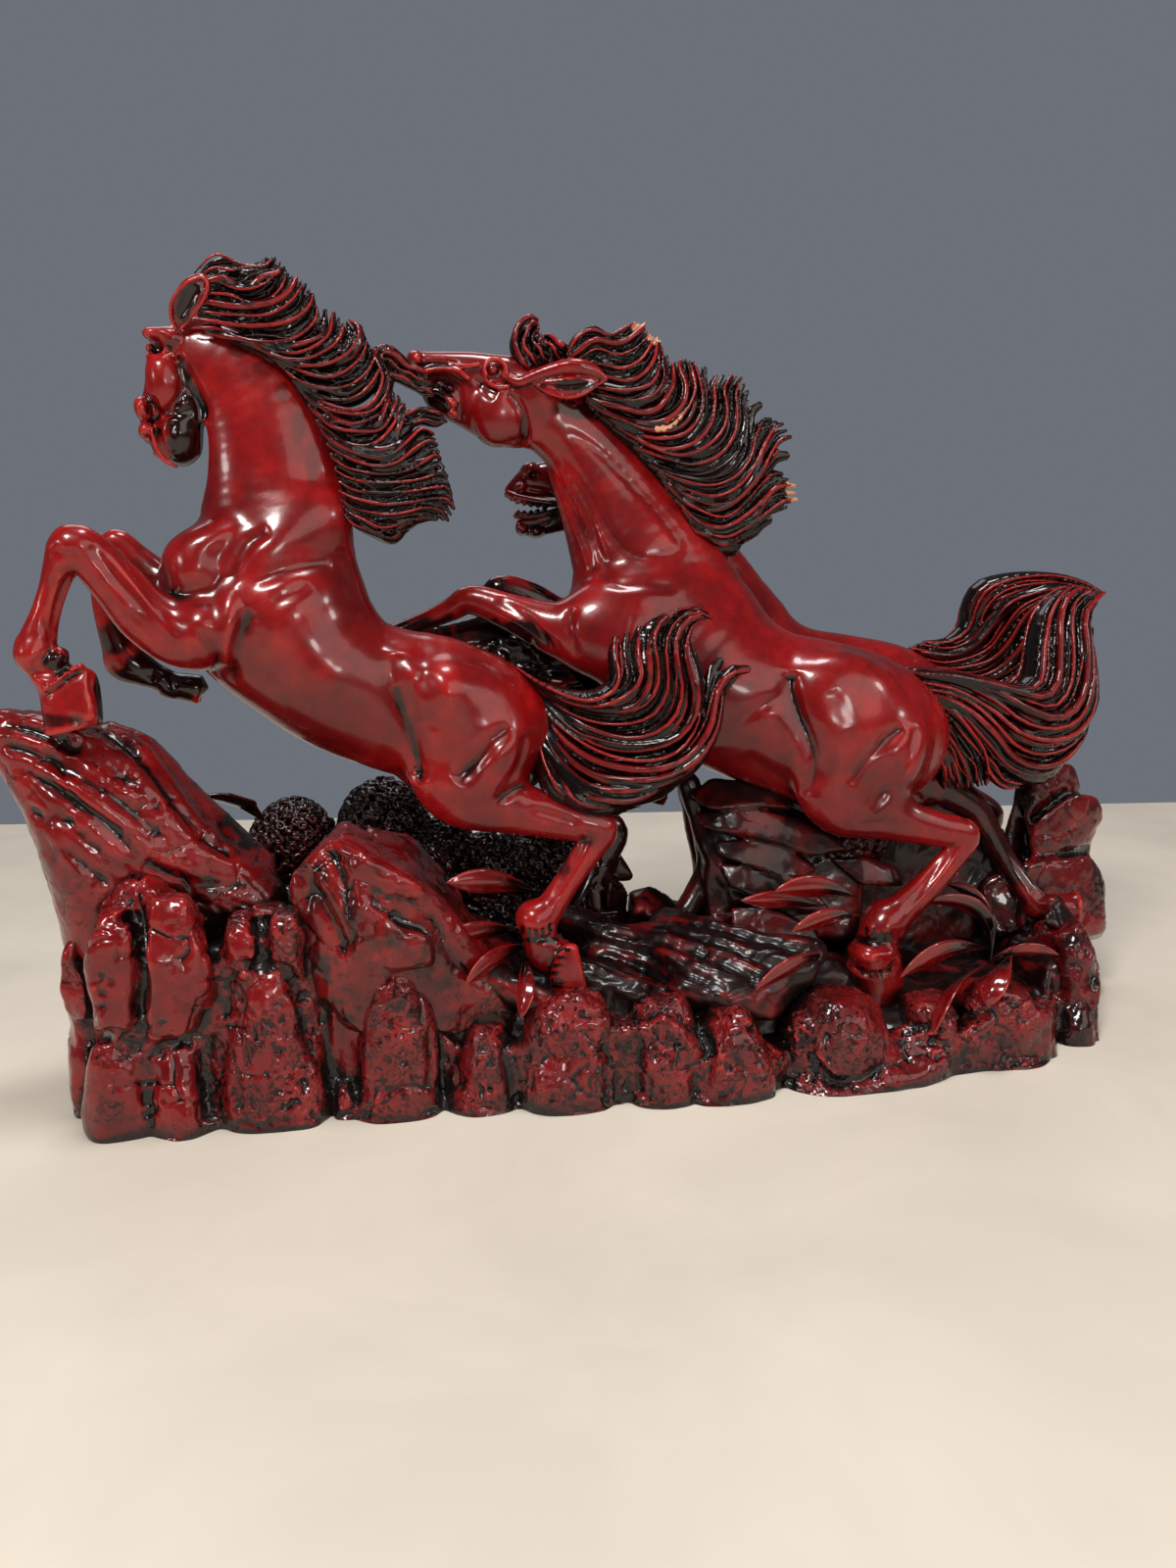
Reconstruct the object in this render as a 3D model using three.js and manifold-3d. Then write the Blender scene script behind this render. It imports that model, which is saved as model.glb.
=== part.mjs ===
// A group of three running horses on a tall rocky base, cast in resin and lacquered deep red.
// Units are millimetres, +Z is up, the horses run towards -X and the front of the piece faces -Y.
// Origin: the middle of the flat underside of the base.
// The group is cast in sections (bodies, heads, manes, tails, legs, rocks, berries and leaves),
// because the undercuts between three horses don't leave a mould in one piece.
// Neighbouring sections meet on a bond line.

import * as THREE from 'three';
import Module from 'manifold-3d';

// ---- driving dimensions -------------------------------------------------------------
const BOND_GAP = 0.34;            // glue line between neighbouring sections
const BASE_LEFT = -190;           // left end of the base
const BASE_RIGHT = 208;           // right end of the base
const BASE_MIN_TOP = 14;          // lowest thickness of the base
const BODY_SIDES = 14;            // sides of a torso or neck section
const LEG_SIDES = 8;              // sides of a leg section
const RED_LACQUER = 0x8e2222;
const DARK_LACQUER = 0x3a1a18;

// Each station of a limb is [x, y, z, radius, flatness]: the centre of a section, its half
// height across the limb in the XZ plane, and its half width in Y as a fraction of that.
const FRONT_TORSO = [[-27.6, -17, 126.3, 15, 0.8], [-34.7, -17, 126.6, 23.4, 0.8], [-46.7, -18, 129.3, 28.2, 0.8], [-58.3, -19, 136.2, 26.6, 0.82], [-71.9, -20, 140.2, 25.3, 0.84], [-86.9, -20, 146.6, 25.1, 0.84], [-101.2, -21, 159, 27.2, 0.8], [-114.1, -21, 173.4, 28.9, 0.74], [-128.5, -21, 181.7, 17.3, 0.7]];
const FRONT_NECK = [[-108.2, -21, 179.9, 26.2, 0.62], [-108, -21, 198, 24, 0.6], [-107.5, -21, 215.8, 21.5, 0.55], [-109.7, -21, 231.8, 19, 0.55], [-115.2, -21, 244.3, 16.3, 0.55], [-123.5, -21, 252.4, 13.6, 0.58], [-130.1, -21, 256, 10.3, 0.6]];
const FRONT_HEAD = [[-130.3, -21, 261.2, 7.7, 0.7], [-136.4, -20, 256.8, 9.3, 0.72], [-139.3, -18, 248.4, 9.1, 0.72], [-141.3, -16, 240.3, 9.2, 0.7], [-142.3, -14, 232.6, 8.9, 0.7], [-142, -13, 227, 6.3, 0.7]];
const FRONT_EARS = [[[-133.5, -27, 262.2, 1.6, 0.6], [-131.7, -28, 267.4, 2.8, 0.38], [-128.6, -28, 272.5, 3.5, 0.36], [-125.3, -27, 277.8, 1.6, 0.5]], [[-131.9, -14, 265.4, 1.6, 0.6], [-130.4, -13, 271.2, 2.9, 0.38], [-127.1, -13, 276.8, 3.3, 0.36], [-123.8, -14, 281.2, 1.6, 0.5]]];
const FRONT_MANE = [[-125.1, -22, 271.1, 8.3, 0.5], [-114.9, -22, 271.3, 11.6, 0.5], [-102.6, -22, 267.1, 14.9, 0.45], [-91.5, -22, 256.1, 16.3, 0.42], [-82.7, -22, 242.7, 17.8, 0.4], [-72.7, -22, 228.4, 19.9, 0.4], [-66.8, -22, 212.2, 17.4, 0.4], [-69, -22, 200.7, 7.4, 0.4]];
const FRONT_TAIL = [[-26.4, -18, 146.3, 4.6, 0.9], [-17, -26, 131.6, 14, 0.5], [-4, -32, 120.3, 17.4, 0.42], [12.6, -34, 122.1, 18.8, 0.4], [27.6, -34, 135.5, 18.1, 0.4], [33.2, -33, 152.6, 15.9, 0.4], [39.5, -32, 163.4, 7.6, 0.45]];
const FRONT_LF = [[-125.6, -34, 167.5, 11, 0.7], [-137.3, -36, 165.4, 11.3, 0.7], [-148.7, -38, 171.7, 9.6, 0.75], [-156.8, -39, 182, 8.2, 0.8], [-163.3, -40, 190.4, 7.5, 0.85], [-169, -41, 194.1, 7.1, 0.9], [-173.1, -41, 188.1, 5.3, 0.9], [-176.1, -41, 180.8, 4.4, 0.9], [-179.2, -41, 172.9, 4.5, 0.9], [-182, -41, 165.5, 5.6, 0.9], [-183, -41, 161.5, 6.3, 0.9], [-180.3, -41, 155.1, 5, 0.9], [-177.1, -41, 150.9, 6.9, 0.9], [-174.9, -41, 141.3, 8.9, 0.9]];
const FRONT_RF = [[-136, -6, 166.7, 10.4, 0.7], [-148.5, -5, 179.9, 7.9, 0.75], [-157.7, -4, 190.3, 5.5, 0.8], [-164.4, -4, 196.7, 4.4, 0.9], [-168.6, -4, 189.4, 4.1, 0.9], [-170.6, -4, 177.7, 3.4, 0.9], [-169, -4, 165.7, 4.1, 0.9], [-166.1, -3, 156.3, 5.2, 0.9], [-160.4, -3, 152, 5.2, 0.9], [-154, -3, 148.3, 3.8, 0.9], [-149.5, -3, 146, 4.9, 0.9], [-142.8, -3, 144.8, 5.3, 0.9]];
const FRONT_LH = [[-48.6, -33, 132.6, 20.4, 0.5], [-51.9, -34, 116.7, 15, 0.55], [-47.8, -34, 107.1, 11.7, 0.6], [-29, -33, 101.5, 9.4, 0.65], [-12.4, -33, 96.1, 7, 0.7], [-0.4, -33, 92.6, 6.3, 0.8], [-4.8, -33, 85, 5.3, 0.85], [-12.3, -34, 74.8, 4.7, 0.9], [-19, -35, 65.6, 5.3, 0.9], [-23.5, -36, 59.6, 6.7, 0.9], [-21.6, -37, 52.9, 5.3, 0.9], [-16.8, -37, 47.8, 6, 0.9], [-13.6, -38, 37.2, 8.1, 0.9]];
const FRONT_RH = [[-44, -3, 125.1, 19.7, 0.45], [-44.7, -2, 105.7, 14, 0.5], [-32, -2, 96.8, 10.4, 0.6], [-11.5, -2, 92, 7.9, 0.7], [8.2, -2, 85.7, 6.4, 0.8], [6.5, -2, 75.7, 5.3, 0.85], [1.7, -2, 65, 4.8, 0.9], [-3.3, -3, 54.5, 5.3, 0.9], [-5.9, -4, 48.7, 6.5, 0.9], [-3.1, -5, 41.7, 5.3, 0.9], [0.7, -5, 36.3, 6.5, 0.9], [5, -6, 26.3, 8.4, 0.9]];
const MIDDLE_TORSO = [[127.2, -3, 117.1, 15.5, 0.8], [119.1, -3, 117.4, 24.7, 0.8], [104.2, -3, 119.6, 32.2, 0.8], [87.3, -2, 124.7, 32.1, 0.82], [70.1, 0, 130.4, 30.4, 0.84], [55.3, 3, 138.3, 31.2, 0.84], [40.5, 6, 149.8, 31.9, 0.8], [25.5, 8, 162.2, 27.9, 0.72], [14.3, 9, 169.1, 17.3, 0.7]];
const MIDDLE_NECK = [[37.1, 8, 161.9, 30.3, 0.6], [26.7, 9, 182.6, 27, 0.56], [17.6, 10, 200.4, 21.6, 0.52], [8.5, 10, 217.4, 17, 0.5], [0.5, 10, 231, 13.5, 0.52], [-10.3, 10, 240.9, 12.4, 0.55]];
const MIDDLE_HEAD = [[-8, 10, 244, 9.4, 0.62], [-17.5, 10, 245.1, 13.8, 0.62], [-31.1, 10, 247.1, 15.5, 0.6], [-42.5, 10, 250.2, 12.9, 0.6], [-50.9, 10, 253.9, 9.6, 0.62], [-56.4, 10, 256.6, 6.4, 0.65]];
const MIDDLE_EARS = [[[-22.1, 4, 252.4, 2.1, 0.7], [-13.8, 1.5, 252.0, 3.5, 0.42], [-2.4, 1, 251.3, 4.6, 0.36], [8.5, 2, 252.9, 1.4, 0.6]], [[-21.0, 16, 254.3, 2.2, 0.7], [-11.9, 18.5, 254.7, 3.7, 0.42], [0.0, 19, 254.2, 4.8, 0.36], [11.1, 18, 255.5, 1.5, 0.6]]];
const MIDDLE_MANE = [[-10.1, 8, 258.6, 8.6, 0.5], [4.3, 7, 257.5, 11.9, 0.5], [20.8, 7, 256.5, 16.7, 0.45], [35.5, 7, 248.9, 19, 0.42], [46.7, 7, 236.6, 22.1, 0.4], [55.4, 7, 222.3, 22.3, 0.4], [60.8, 7, 207.7, 17.2, 0.4], [58.4, 8, 196.8, 6.8, 0.4]];
const MIDDLE_TAIL = [[129.1, -4, 135.4, 6.9, 0.8], [145.2, -5, 125.3, 13.9, 0.5], [166.5, -4, 118.9, 17.2, 0.42], [186.2, -1, 125.7, 18.1, 0.4], [195.9, 3, 145.6, 15, 0.42], [203, 8, 161, 10.4, 0.5], [212.4, 11, 170.6, 4, 0.7]];
const MIDDLE_LF = [[14.5, -10, 156, 15.9, 0.6], [0.4, -7, 159.8, 12.3, 0.65], [-13.6, -3, 163.6, 9.5, 0.7], [-27.6, 2, 169.2, 6.9, 0.75], [-41.1, 6, 174.1, 5.5, 0.85], [-48.4, 8, 170.9, 4.4, 0.9], [-57.3, 9, 167.1, 3.7, 0.9], [-68.5, 10, 162.6, 3.7, 0.9], [-75.9, 10, 159.1, 5.1, 0.9], [-80.5, 10, 154.5, 4.4, 0.9], [-82.9, 10, 150.2, 5.5, 0.9], [-86.1, 10, 143.6, 7, 0.9]];
const MIDDLE_RF = [[14.4, 22, 156.1, 14.8, 0.6], [-3.1, 22, 162.3, 9.2, 0.7], [-18.3, 22, 173.3, 6.9, 0.75], [-30.4, 22, 177.3, 5.3, 0.85], [-33.7, 22, 168.8, 4.2, 0.9], [-31, 22, 157.3, 3.8, 0.9], [-26.7, 22, 146.9, 5.4, 0.9], [-19.9, 22, 141.7, 4.3, 0.9], [-14.5, 22, 139.6, 5.4, 0.9], [-7.6, 22, 137, 6.2, 0.9]];
const MIDDLE_LH = [[95.4, -20, 123.2, 23.6, 0.5], [91.1, -22, 106.1, 17, 0.55], [94.8, -23, 94.9, 11.8, 0.6], [112.8, -23, 89.5, 8.9, 0.65], [131.5, -23, 84, 6.8, 0.7], [143.1, -23, 81.1, 6, 0.8], [138.7, -23, 72.8, 5.3, 0.85], [127.8, -24, 61.6, 5.7, 0.9], [116.9, -25, 52.7, 6.4, 0.9], [110.4, -26, 46.4, 8.3, 0.9], [107, -26, 39.6, 8.3, 0.9], [105.6, -27, 32.5, 10.6, 0.9], [105.8, -27, 24.6, 11, 0.9]];
const MIDDLE_RH = [[118.3, 10, 115.8, 22.2, 0.5], [129.5, 11, 99.8, 15.2, 0.55], [146.6, 11, 95, 9.7, 0.6], [162.3, 10, 85.4, 6.1, 0.8], [169.1, 9, 75.7, 4.9, 0.85], [177.4, 7, 61.1, 4.5, 0.9], [184.6, 3, 49.1, 4.9, 0.9], [189, 1, 43.1, 6.1, 0.9], [194.6, 0, 42.6, 5.3, 0.9], [200.1, -1, 42.6, 7.3, 0.9]];
const BACK_TORSO = [[161, 41, 114.4, 15.4, 0.7], [151.1, 41, 114.7, 24.7, 0.7], [134.1, 41, 117.1, 33.9, 0.68], [115.4, 42, 124.4, 31.1, 0.7], [96, 43, 130.8, 28.5, 0.7], [77.8, 43, 138.9, 28.2, 0.7], [61, 44, 150.9, 29.7, 0.68], [47.4, 45, 160.2, 23.8, 0.64], [34.9, 45, 165.3, 14.7, 0.64]];
const BACK_NECK = [[64.3, 45, 155.7, 27.2, 0.56], [52.9, 45, 177.1, 22.9, 0.5], [42, 44, 194, 19, 0.5], [32.9, 43, 205.9, 16, 0.5], [24.7, 42, 212.9, 13.1, 0.52]];
const BACK_HEAD = [[26.7, 42, 216, 10.3, 0.62], [15.7, 41, 217.2, 13.4, 0.62], [3.6, 40, 216, 13.8, 0.6], [-7.7, 39, 213.4, 12.1, 0.6], [-15.7, 38, 211.9, 10.1, 0.62], [-20.4, 38, 211.2, 5.4, 0.65]];
const BACK_EARS = [[[19.0, 36, 224.0, 2.3, 0.7], [23.4, 34, 226.8, 3.5, 0.45], [28.9, 33.5, 229.7, 3.5, 0.42], [36.2, 34.5, 231.7, 1.6, 0.6]], [[20.8, 47, 225.0, 2.4, 0.7], [26.1, 49, 228.2, 3.6, 0.45], [32.0, 49.5, 231.3, 3.6, 0.42], [39.1, 48.5, 233.2, 1.6, 0.6]]];
const BACK_MANE = [[24.9, 42, 230.6, 5.5, 0.5], [33.7, 42, 226, 10.3, 0.5], [43.3, 42, 215.9, 13.6, 0.45], [51.5, 42, 204.1, 15.3, 0.42], [58.1, 42, 191.3, 15.4, 0.42], [65.6, 42, 179.2, 10.6, 0.42], [69.8, 42, 171.1, 4.9, 0.42]];
const BACK_TAIL = [[160.2, 41, 136.6, 6.8, 0.8], [171.5, 40, 145.6, 11, 0.6], [183.4, 38, 157.1, 13.5, 0.5], [197.7, 36, 164.3, 11.8, 0.5], [211.5, 33, 168.2, 8.4, 0.5], [221.6, 30, 171.4, 4.6, 0.6], [226.3, 28, 171.3, 2.5, 0.7]];
const BACK_LF = [[41.1, 30, 149.8, 15.2, 0.55], [25.6, 30, 141.6, 11.1, 0.65], [10, 29, 133.4, 7.9, 0.75], [-2.1, 29, 127.4, 5.9, 0.85], [0.9, 29, 117.7, 4.8, 0.9], [7.1, 29, 107, 4.4, 0.9], [13.5, 29, 98.6, 5.6, 0.9], [20.8, 29, 96.6, 4.4, 0.9], [26.5, 29, 95.6, 5.7, 0.9], [33.1, 29, 94.4, 6.5, 0.9]];
const BACK_RF = [[47.7, 56, 148.1, 16, 0.55], [30.8, 57, 148.5, 10.9, 0.65], [13.1, 58, 148.9, 7.9, 0.75], [-2.1, 58, 149.3, 6, 0.85], [-10.7, 58, 140.4, 5, 0.9], [-19.3, 58, 131.5, 4.6, 0.9], [-26.2, 58, 124.2, 5.8, 0.9], [-29.8, 58, 116.8, 5, 0.9], [-32.4, 58, 112.7, 6.3, 0.9], [-35.9, 58, 106.9, 7.5, 0.9]];
const BACK_LH = [[130.5, 30, 117.7, 23.2, 0.45], [137.6, 30, 98.5, 15.9, 0.55], [152.5, 30, 86.4, 10.1, 0.65], [166.2, 30, 78, 6.8, 0.8], [169.5, 30, 71.7, 5.5, 0.85], [166.7, 30, 62.7, 4.7, 0.9], [164.3, 30, 55.2, 4.7, 0.9], [162.7, 30, 49.1, 6, 0.9], [159.3, 30, 43.2, 5.1, 0.9], [156.8, 30, 39.3, 6.9, 0.9], [153.4, 30, 33.3, 9, 0.9]];
const BACK_RH = [[142.7, 54, 112.1, 23.5, 0.45], [155.2, 55, 91.5, 15.9, 0.55], [175.2, 55, 79.4, 10.2, 0.65], [192.6, 55, 70.9, 7.2, 0.8], [189, 55, 64.6, 5.8, 0.85], [181.8, 55, 56, 4.9, 0.9], [174.5, 55, 48.3, 5.4, 0.9], [169.9, 55, 43.1, 6.7, 0.9], [172, 55, 36.4, 5.4, 0.9], [175.1, 55, 32.3, 7.2, 0.9], [177.2, 55, 25.7, 9.5, 0.9]];
// Base outline: the front and back edges of the underside at stations along X.
const FRONT_EDGE = [[-190, -14], [-186, -30], [-178, -42], [-170, -50], [-142, -58], [-110, -59], [-99, -53], [-78, -60], [-61, -55], [-30, -65], [2, -66], [22, -70], [46, -71], [62, -64], [82, -71], [124, -66], [133, -63], [165, -60], [178, -47], [196, -44], [206, -20], [208, -4]];
const BACK_EDGE = [[-190, 6], [-180, 34], [-165, 48], [-130, 58], [-60, 62], [20, 64], [100, 63], [160, 64], [192, 56], [204, 36], [208, 10]];

// Boulders and ledges of the base: [x, y, half length, half depth, height].
const BOULDERS = [
  [-184, -14, 8, 14, 58], [-155, -37, 21, 18, 82], [-117, -42, 17, 18, 72], [-118, -50, 15, 9, 56],
  [-76, -44, 16, 16, 55], [-45, -46, 12, 16, 29], [-14, -48, 18, 18, 37], [17, -52, 14, 18, 36],
  [44, -53, 16, 18, 31], [83, -50, 20, 20, 31], [98, -52, 36, 15, 17], [122, -42, 12, 14, 26],
  [150, -42, 20, 18, 27], [152, -50, 20, 12, 14], [192, -18, 16, 28, 38],
  [-160, 26, 26, 26, 64], [-112, 40, 30, 22, 58], [-58, 38, 28, 24, 68], [-8, 46, 28, 20, 38],
  [50, 46, 30, 20, 40], [104, 50, 26, 14, 24], [148, 50, 30, 16, 22], [184, 44, 24, 18, 24],
  [-140, -6, 54, 50, 66], [-66, -8, 44, 46, 58], [-6, -4, 52, 50, 42], [70, 4, 60, 48, 36], [130, 0, 70, 56, 22],
];

// Tall rocks, as levels from the bottom up: [z, x left, x right, y front, y back].
const LEFT_CRAG = [[52, -170, -104, -46, 8], [75, -180, -108, -48, 8], [90, -187, -114, -50, 6], [104, -190, -132, -50, 0], [116, -195, -145, -50, -6], [128, -200, -155, -50, -12], [137, -204, -166, -49, -20], [143, -203, -184, -46, -28]];
const CENTRE_ROCK = [[28, -98, -32, -52, 8], [46, -108, -38, -53, 6], [60, -112, -48, -52, 4], [71, -113, -58, -50, 0], [84, -112, -70, -48, -6], [92, -106, -80, -42, -12], [99, -97, -86, -34, -18]];
const SADDLE_ROCK = [[26, 38, 104, -20, 40], [44, 39, 104, -20, 38], [62, 43, 100, -20, 34], [80, 40, 94, -16, 28], [95, 37, 80, -10, 22], [103, 40, 64, -4, 16]];
const LEG_WEB = [[24, 92, 178, 14, 28], [48, 93, 180, 14, 28], [66, 94, 176, 15, 27], [84, 96, 168, 16, 26], [91, 98, 150, 17, 25]];
const FORELEG_WEB = [[134, -28, 0, 15, 25], [146, -48, 4, 15, 25], [157, -60, 6, 15, 26], [164, -50, -4, 16, 26]];
const REAR_ROCK = [[14, 170, 209, 8, 42], [38, 168, 214, 6, 44], [55, 172, 215, 6, 42], [66, 178, 213, 8, 40], [83, 176, 225, 4, 38], [92, 180, 221, 8, 36], [101, 192, 209, 14, 30]];

// Berry clusters: [x, y, z, half length, half depth, half height].
const LEFT_BERRIES = [-111, 20, 84, 17, 13, 20];
const CENTRE_BERRIES = [-76, 14, 86, 19, 13, 22];
const REAR_BERRIES = [-26, 22, 60, 28, 13, 25];

// Leaf sprays: a short stalk at [x, y, z bottom, z top], then one blade per row:
// [tip x, tip y, tip z, half width].
const LEFT_SPRAY = { stalk: [-27, -20, 40, 62], blades: [[-55, -44, 76, 4], [-60, -50, 53, 4.5], [-46, -56, 44, 4.5], [-30, -57, 32, 4]] };
const UPPER_SPRAY = { stalk: [93, -33, 28, 54], blades: [[68, -46, 68, 4.5], [55, -44, 60, 4], [74, -49, 50, 4.5], [62, -60, 36, 4.5]] };
const LOWER_SPRAY = { stalk: [146, -32, 16, 42], blades: [[112, -46, 38, 4.5], [120, -62, 18, 4.5], [140, -58, 26, 5], [176, -38, 38, 4.5], [124, -18, 62, 4]] };

// ---- solids --------------------------------------------------------------------------
const wasm = await Module();
wasm.setup();

function solidOf(verts, tris) {
  return new wasm.Manifold(new wasm.Mesh({ numProp: 3, vertProperties: new Float32Array(verts.flat()), triVerts: new Uint32Array(tris.flat()) }));
}

// Joins a stack of rings, all with the same number of points, into one closed solid.
function skin(rings, startCap, endCap) {
  const verts = rings.flat().map((p) => [p.x, p.y, p.z]);
  const tris = [];
  const n = rings[0].length;
  for (let i = 0; i + 1 < rings.length; i++) {
    for (let j = 0; j < n; j++) {
      const a = i * n + j, b = i * n + (j + 1) % n, c = a + n, d = b + n;
      tris.push([a, b, d], [a, d, c]);
    }
  }
  const s = verts.push([startCap.x, startCap.y, startCap.z]) - 1;
  const e = verts.push([endCap.x, endCap.y, endCap.z]) - 1;
  const last = (rings.length - 1) * n;
  for (let j = 0; j < n; j++) {
    tris.push([s, (j + 1) % n, j], [e, last + j, last + (j + 1) % n]);
  }
  let volume = 0;
  for (const [a, b, c] of tris) {
    const A = new THREE.Vector3(...verts[a]), B = new THREE.Vector3(...verts[b]), C = new THREE.Vector3(...verts[c]);
    volume += A.dot(B.clone().cross(C));
  }
  return solidOf(verts, volume > 0 ? tris : tris.map(([a, b, c]) => [a, c, b]));
}

const Y_AXIS = new THREE.Vector3(0, 1, 0);

// One smooth run of stations as a loft with rounded ends.
function run(stations, sides, grow) {
  const pts = stations.map((s) => new THREE.Vector3(s[0], s[1], s[2]));
  const ring = (centre, tangent, r, flat, scale) => {
    const across = tangent.clone().cross(Y_AXIS).normalize();
    const side = across.clone().cross(tangent).normalize();
    const out = [];
    for (let j = 0; j < sides; j++) {
      const a = (j + 0.5) / sides * Math.PI * 2;
      out.push(centre.clone().addScaledVector(across, Math.cos(a) * (r + grow) * scale).addScaledVector(side, Math.sin(a) * (r * flat + grow) * scale));
    }
    return out;
  };
  const rings = [];
  const n = pts.length;
  const tan = (i) => {
    const t = new THREE.Vector3();
    if (i > 0) t.add(pts[i].clone().sub(pts[i - 1]).normalize());
    if (i < n - 1) t.add(pts[i + 1].clone().sub(pts[i]).normalize());
    return t.normalize();
  };
  const t0 = tan(0), t1 = tan(n - 1), r0 = stations[0][3], r1 = stations[n - 1][3];
  rings.push(ring(pts[0].clone().addScaledVector(t0, -(r0 + grow) * 0.55), t0, r0, stations[0][4], 0.72));
  for (let i = 0; i < n; i++) rings.push(ring(pts[i], tan(i), stations[i][3], stations[i][4], 1));
  rings.push(ring(pts[n - 1].clone().addScaledVector(t1, (r1 + grow) * 0.55), t1, r1, stations[n - 1][4], 0.72));
  return skin(rings, pts[0].clone().addScaledVector(t0, -(r0 + grow) * 0.85), pts[n - 1].clone().addScaledVector(t1, (r1 + grow) * 0.85));
}

// A limb: a new run starts wherever the stations turn sharply, and the runs are joined.
function limb(stations, sides, grow) {
  let solid = null, start = 0;
  const dir = (i) => new THREE.Vector3(stations[i + 1][0] - stations[i][0], stations[i + 1][1] - stations[i][1], stations[i + 1][2] - stations[i][2]).normalize();
  for (let i = 1; i < stations.length; i++) {
    const sharp = i < stations.length - 1 && dir(i - 1).angleTo(dir(i)) > 0.75;
    if (sharp || i === stations.length - 1) {
      const piece = run(stations.slice(start, i + 1), sides, grow);
      solid = solid ? solid.add(piece) : piece;
      start = i;
    }
  }
  return solid;
}

function at(table, x) {
  for (let i = 0; i + 1 < table.length; i++) {
    if (x <= table[i + 1][0]) {
      const t = (x - table[i][0]) / (table[i + 1][0] - table[i][0]);
      return table[i][1] + Math.max(0, t) * (table[i + 1][1] - table[i][1]);
    }
  }
  return table[table.length - 1][1];
}

function baseTop(x, y) {
  let z = BASE_MIN_TOP;
  for (const [cx, cy, rx, ry, h] of BOULDERS) {
    const t = 1 - Math.pow(Math.abs(x - cx) / rx, 3) - Math.pow(Math.abs(y - cy) / ry, 3);
    if (t > 0) z = Math.max(z, h * Math.pow(t, 0.3));
  }
  return z;
}

// The base: a grid of columns between the front and back edges, with a flat underside.
function rockBase(grow) {
  const nx = 40, ny = 11;
  const top = [], verts = [], tris = [];
  for (let i = 0; i <= nx; i++) {
    const x = BASE_LEFT + (BASE_RIGHT - BASE_LEFT) * i / nx;
    const y0 = at(FRONT_EDGE, x), y1 = at(BACK_EDGE, x);
    for (let j = 0; j <= ny; j++) {
      const y = y0 + (y1 - y0) * j / ny;
      const inset = Math.min(2, (y1 - y0) / ny / 2);
      const edge = j === 0 ? y + inset : j === ny ? y - inset : y;
      top.push(verts.push([x, edge, baseTop(x, edge) + grow]) - 1);
    }
  }
  const bottom = [];
  for (let i = 0; i <= nx; i++) {
    const x = BASE_LEFT + (BASE_RIGHT - BASE_LEFT) * i / nx;
    bottom.push([verts.push([x, at(FRONT_EDGE, x), 0]) - 1, verts.push([x, at(BACK_EDGE, x), 0]) - 1]);
  }
  const T = (i, j) => top[i * (ny + 1) + j];
  for (let i = 0; i < nx; i++) {
    for (let j = 0; j < ny; j++) tris.push([T(i, j), T(i + 1, j), T(i + 1, j + 1)], [T(i, j), T(i + 1, j + 1), T(i, j + 1)]);
    tris.push([bottom[i][0], bottom[i + 1][0], T(i + 1, 0)], [bottom[i][0], T(i + 1, 0), T(i, 0)]);
    tris.push([bottom[i][1], T(i, ny), T(i + 1, ny)], [bottom[i][1], T(i + 1, ny), bottom[i + 1][1]]);
    tris.push([bottom[i][0], bottom[i][1], bottom[i + 1][1]], [bottom[i][0], bottom[i + 1][1], bottom[i + 1][0]]);
  }
  for (const [i, flip] of [[0, true], [nx, false]]) {
    const fan = [bottom[i][0], bottom[i][1]];
    for (let j = ny; j >= 0; j--) fan.push(T(i, j));
    for (let k = 1; k + 1 < fan.length; k++) tris.push(flip ? [fan[0], fan[k + 1], fan[k]] : [fan[0], fan[k], fan[k + 1]]);
  }
  return solidOf(verts, tris);
}

// A tall rock with eight uneven sides, from its levels.
function crag(levels, grow, phase) {
  const rings = levels.map(([z, x0, x1, y0, y1], k) => {
    const out = [];
    for (let j = 0; j < 8; j++) {
      const a = (j + 0.5) / 8 * Math.PI * 2;
      const wobble = 1 + 0.06 * Math.sin(3.1 * j + 2.3 * k + phase);
      const cx = (x0 + x1) / 2, cy = (y0 + y1) / 2;
      const ex = Math.sign(Math.cos(a)) * Math.pow(Math.abs(Math.cos(a)), 0.8), ey = Math.sign(Math.sin(a)) * Math.pow(Math.abs(Math.sin(a)), 0.8);
      out.push(new THREE.Vector3(cx + ex * ((x1 - x0) / 2 * wobble + grow), cy + ey * ((y1 - y0) / 2 * wobble + grow), z));
    }
    return out;
  });
  const lo = levels[0], hi = levels[levels.length - 1];
  const mid = (l, dz) => new THREE.Vector3((l[1] + l[2]) / 2, (l[3] + l[4]) / 2, l[0] + dz);
  rings[0].forEach((p) => { p.z -= grow; });
  return skin(rings, mid(lo, -2 - grow), mid(hi, 1.5 + grow));
}

// A bramble cluster: a faceted knob with a bumpy outline.
function berries([x, y, z, rx, ry, rz], grow) {
  const g = new THREE.IcosahedronGeometry(1, 2);
  const p = g.getAttribute('position');
  const index = new Map(), verts = [], tris = [];
  const id = (i) => {
    const v = [p.getX(i), p.getY(i), p.getZ(i)];
    const key = v.map((c) => c.toFixed(4)).join();
    if (!index.has(key)) {
      const bump = 1 + 0.05 * Math.sin(9 * v[0]) * Math.cos(8 * v[2]);
      index.set(key, verts.push([x + v[0] * (rx * bump + grow), y + v[1] * (ry * bump + grow), z + v[2] * (rz * bump + grow)]) - 1);
    }
    return index.get(key);
  };
  for (let i = 0; i < p.count; i += 3) tris.push([id(i), id(i + 1), id(i + 2)]);
  return solidOf(verts, tris);
}

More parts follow.
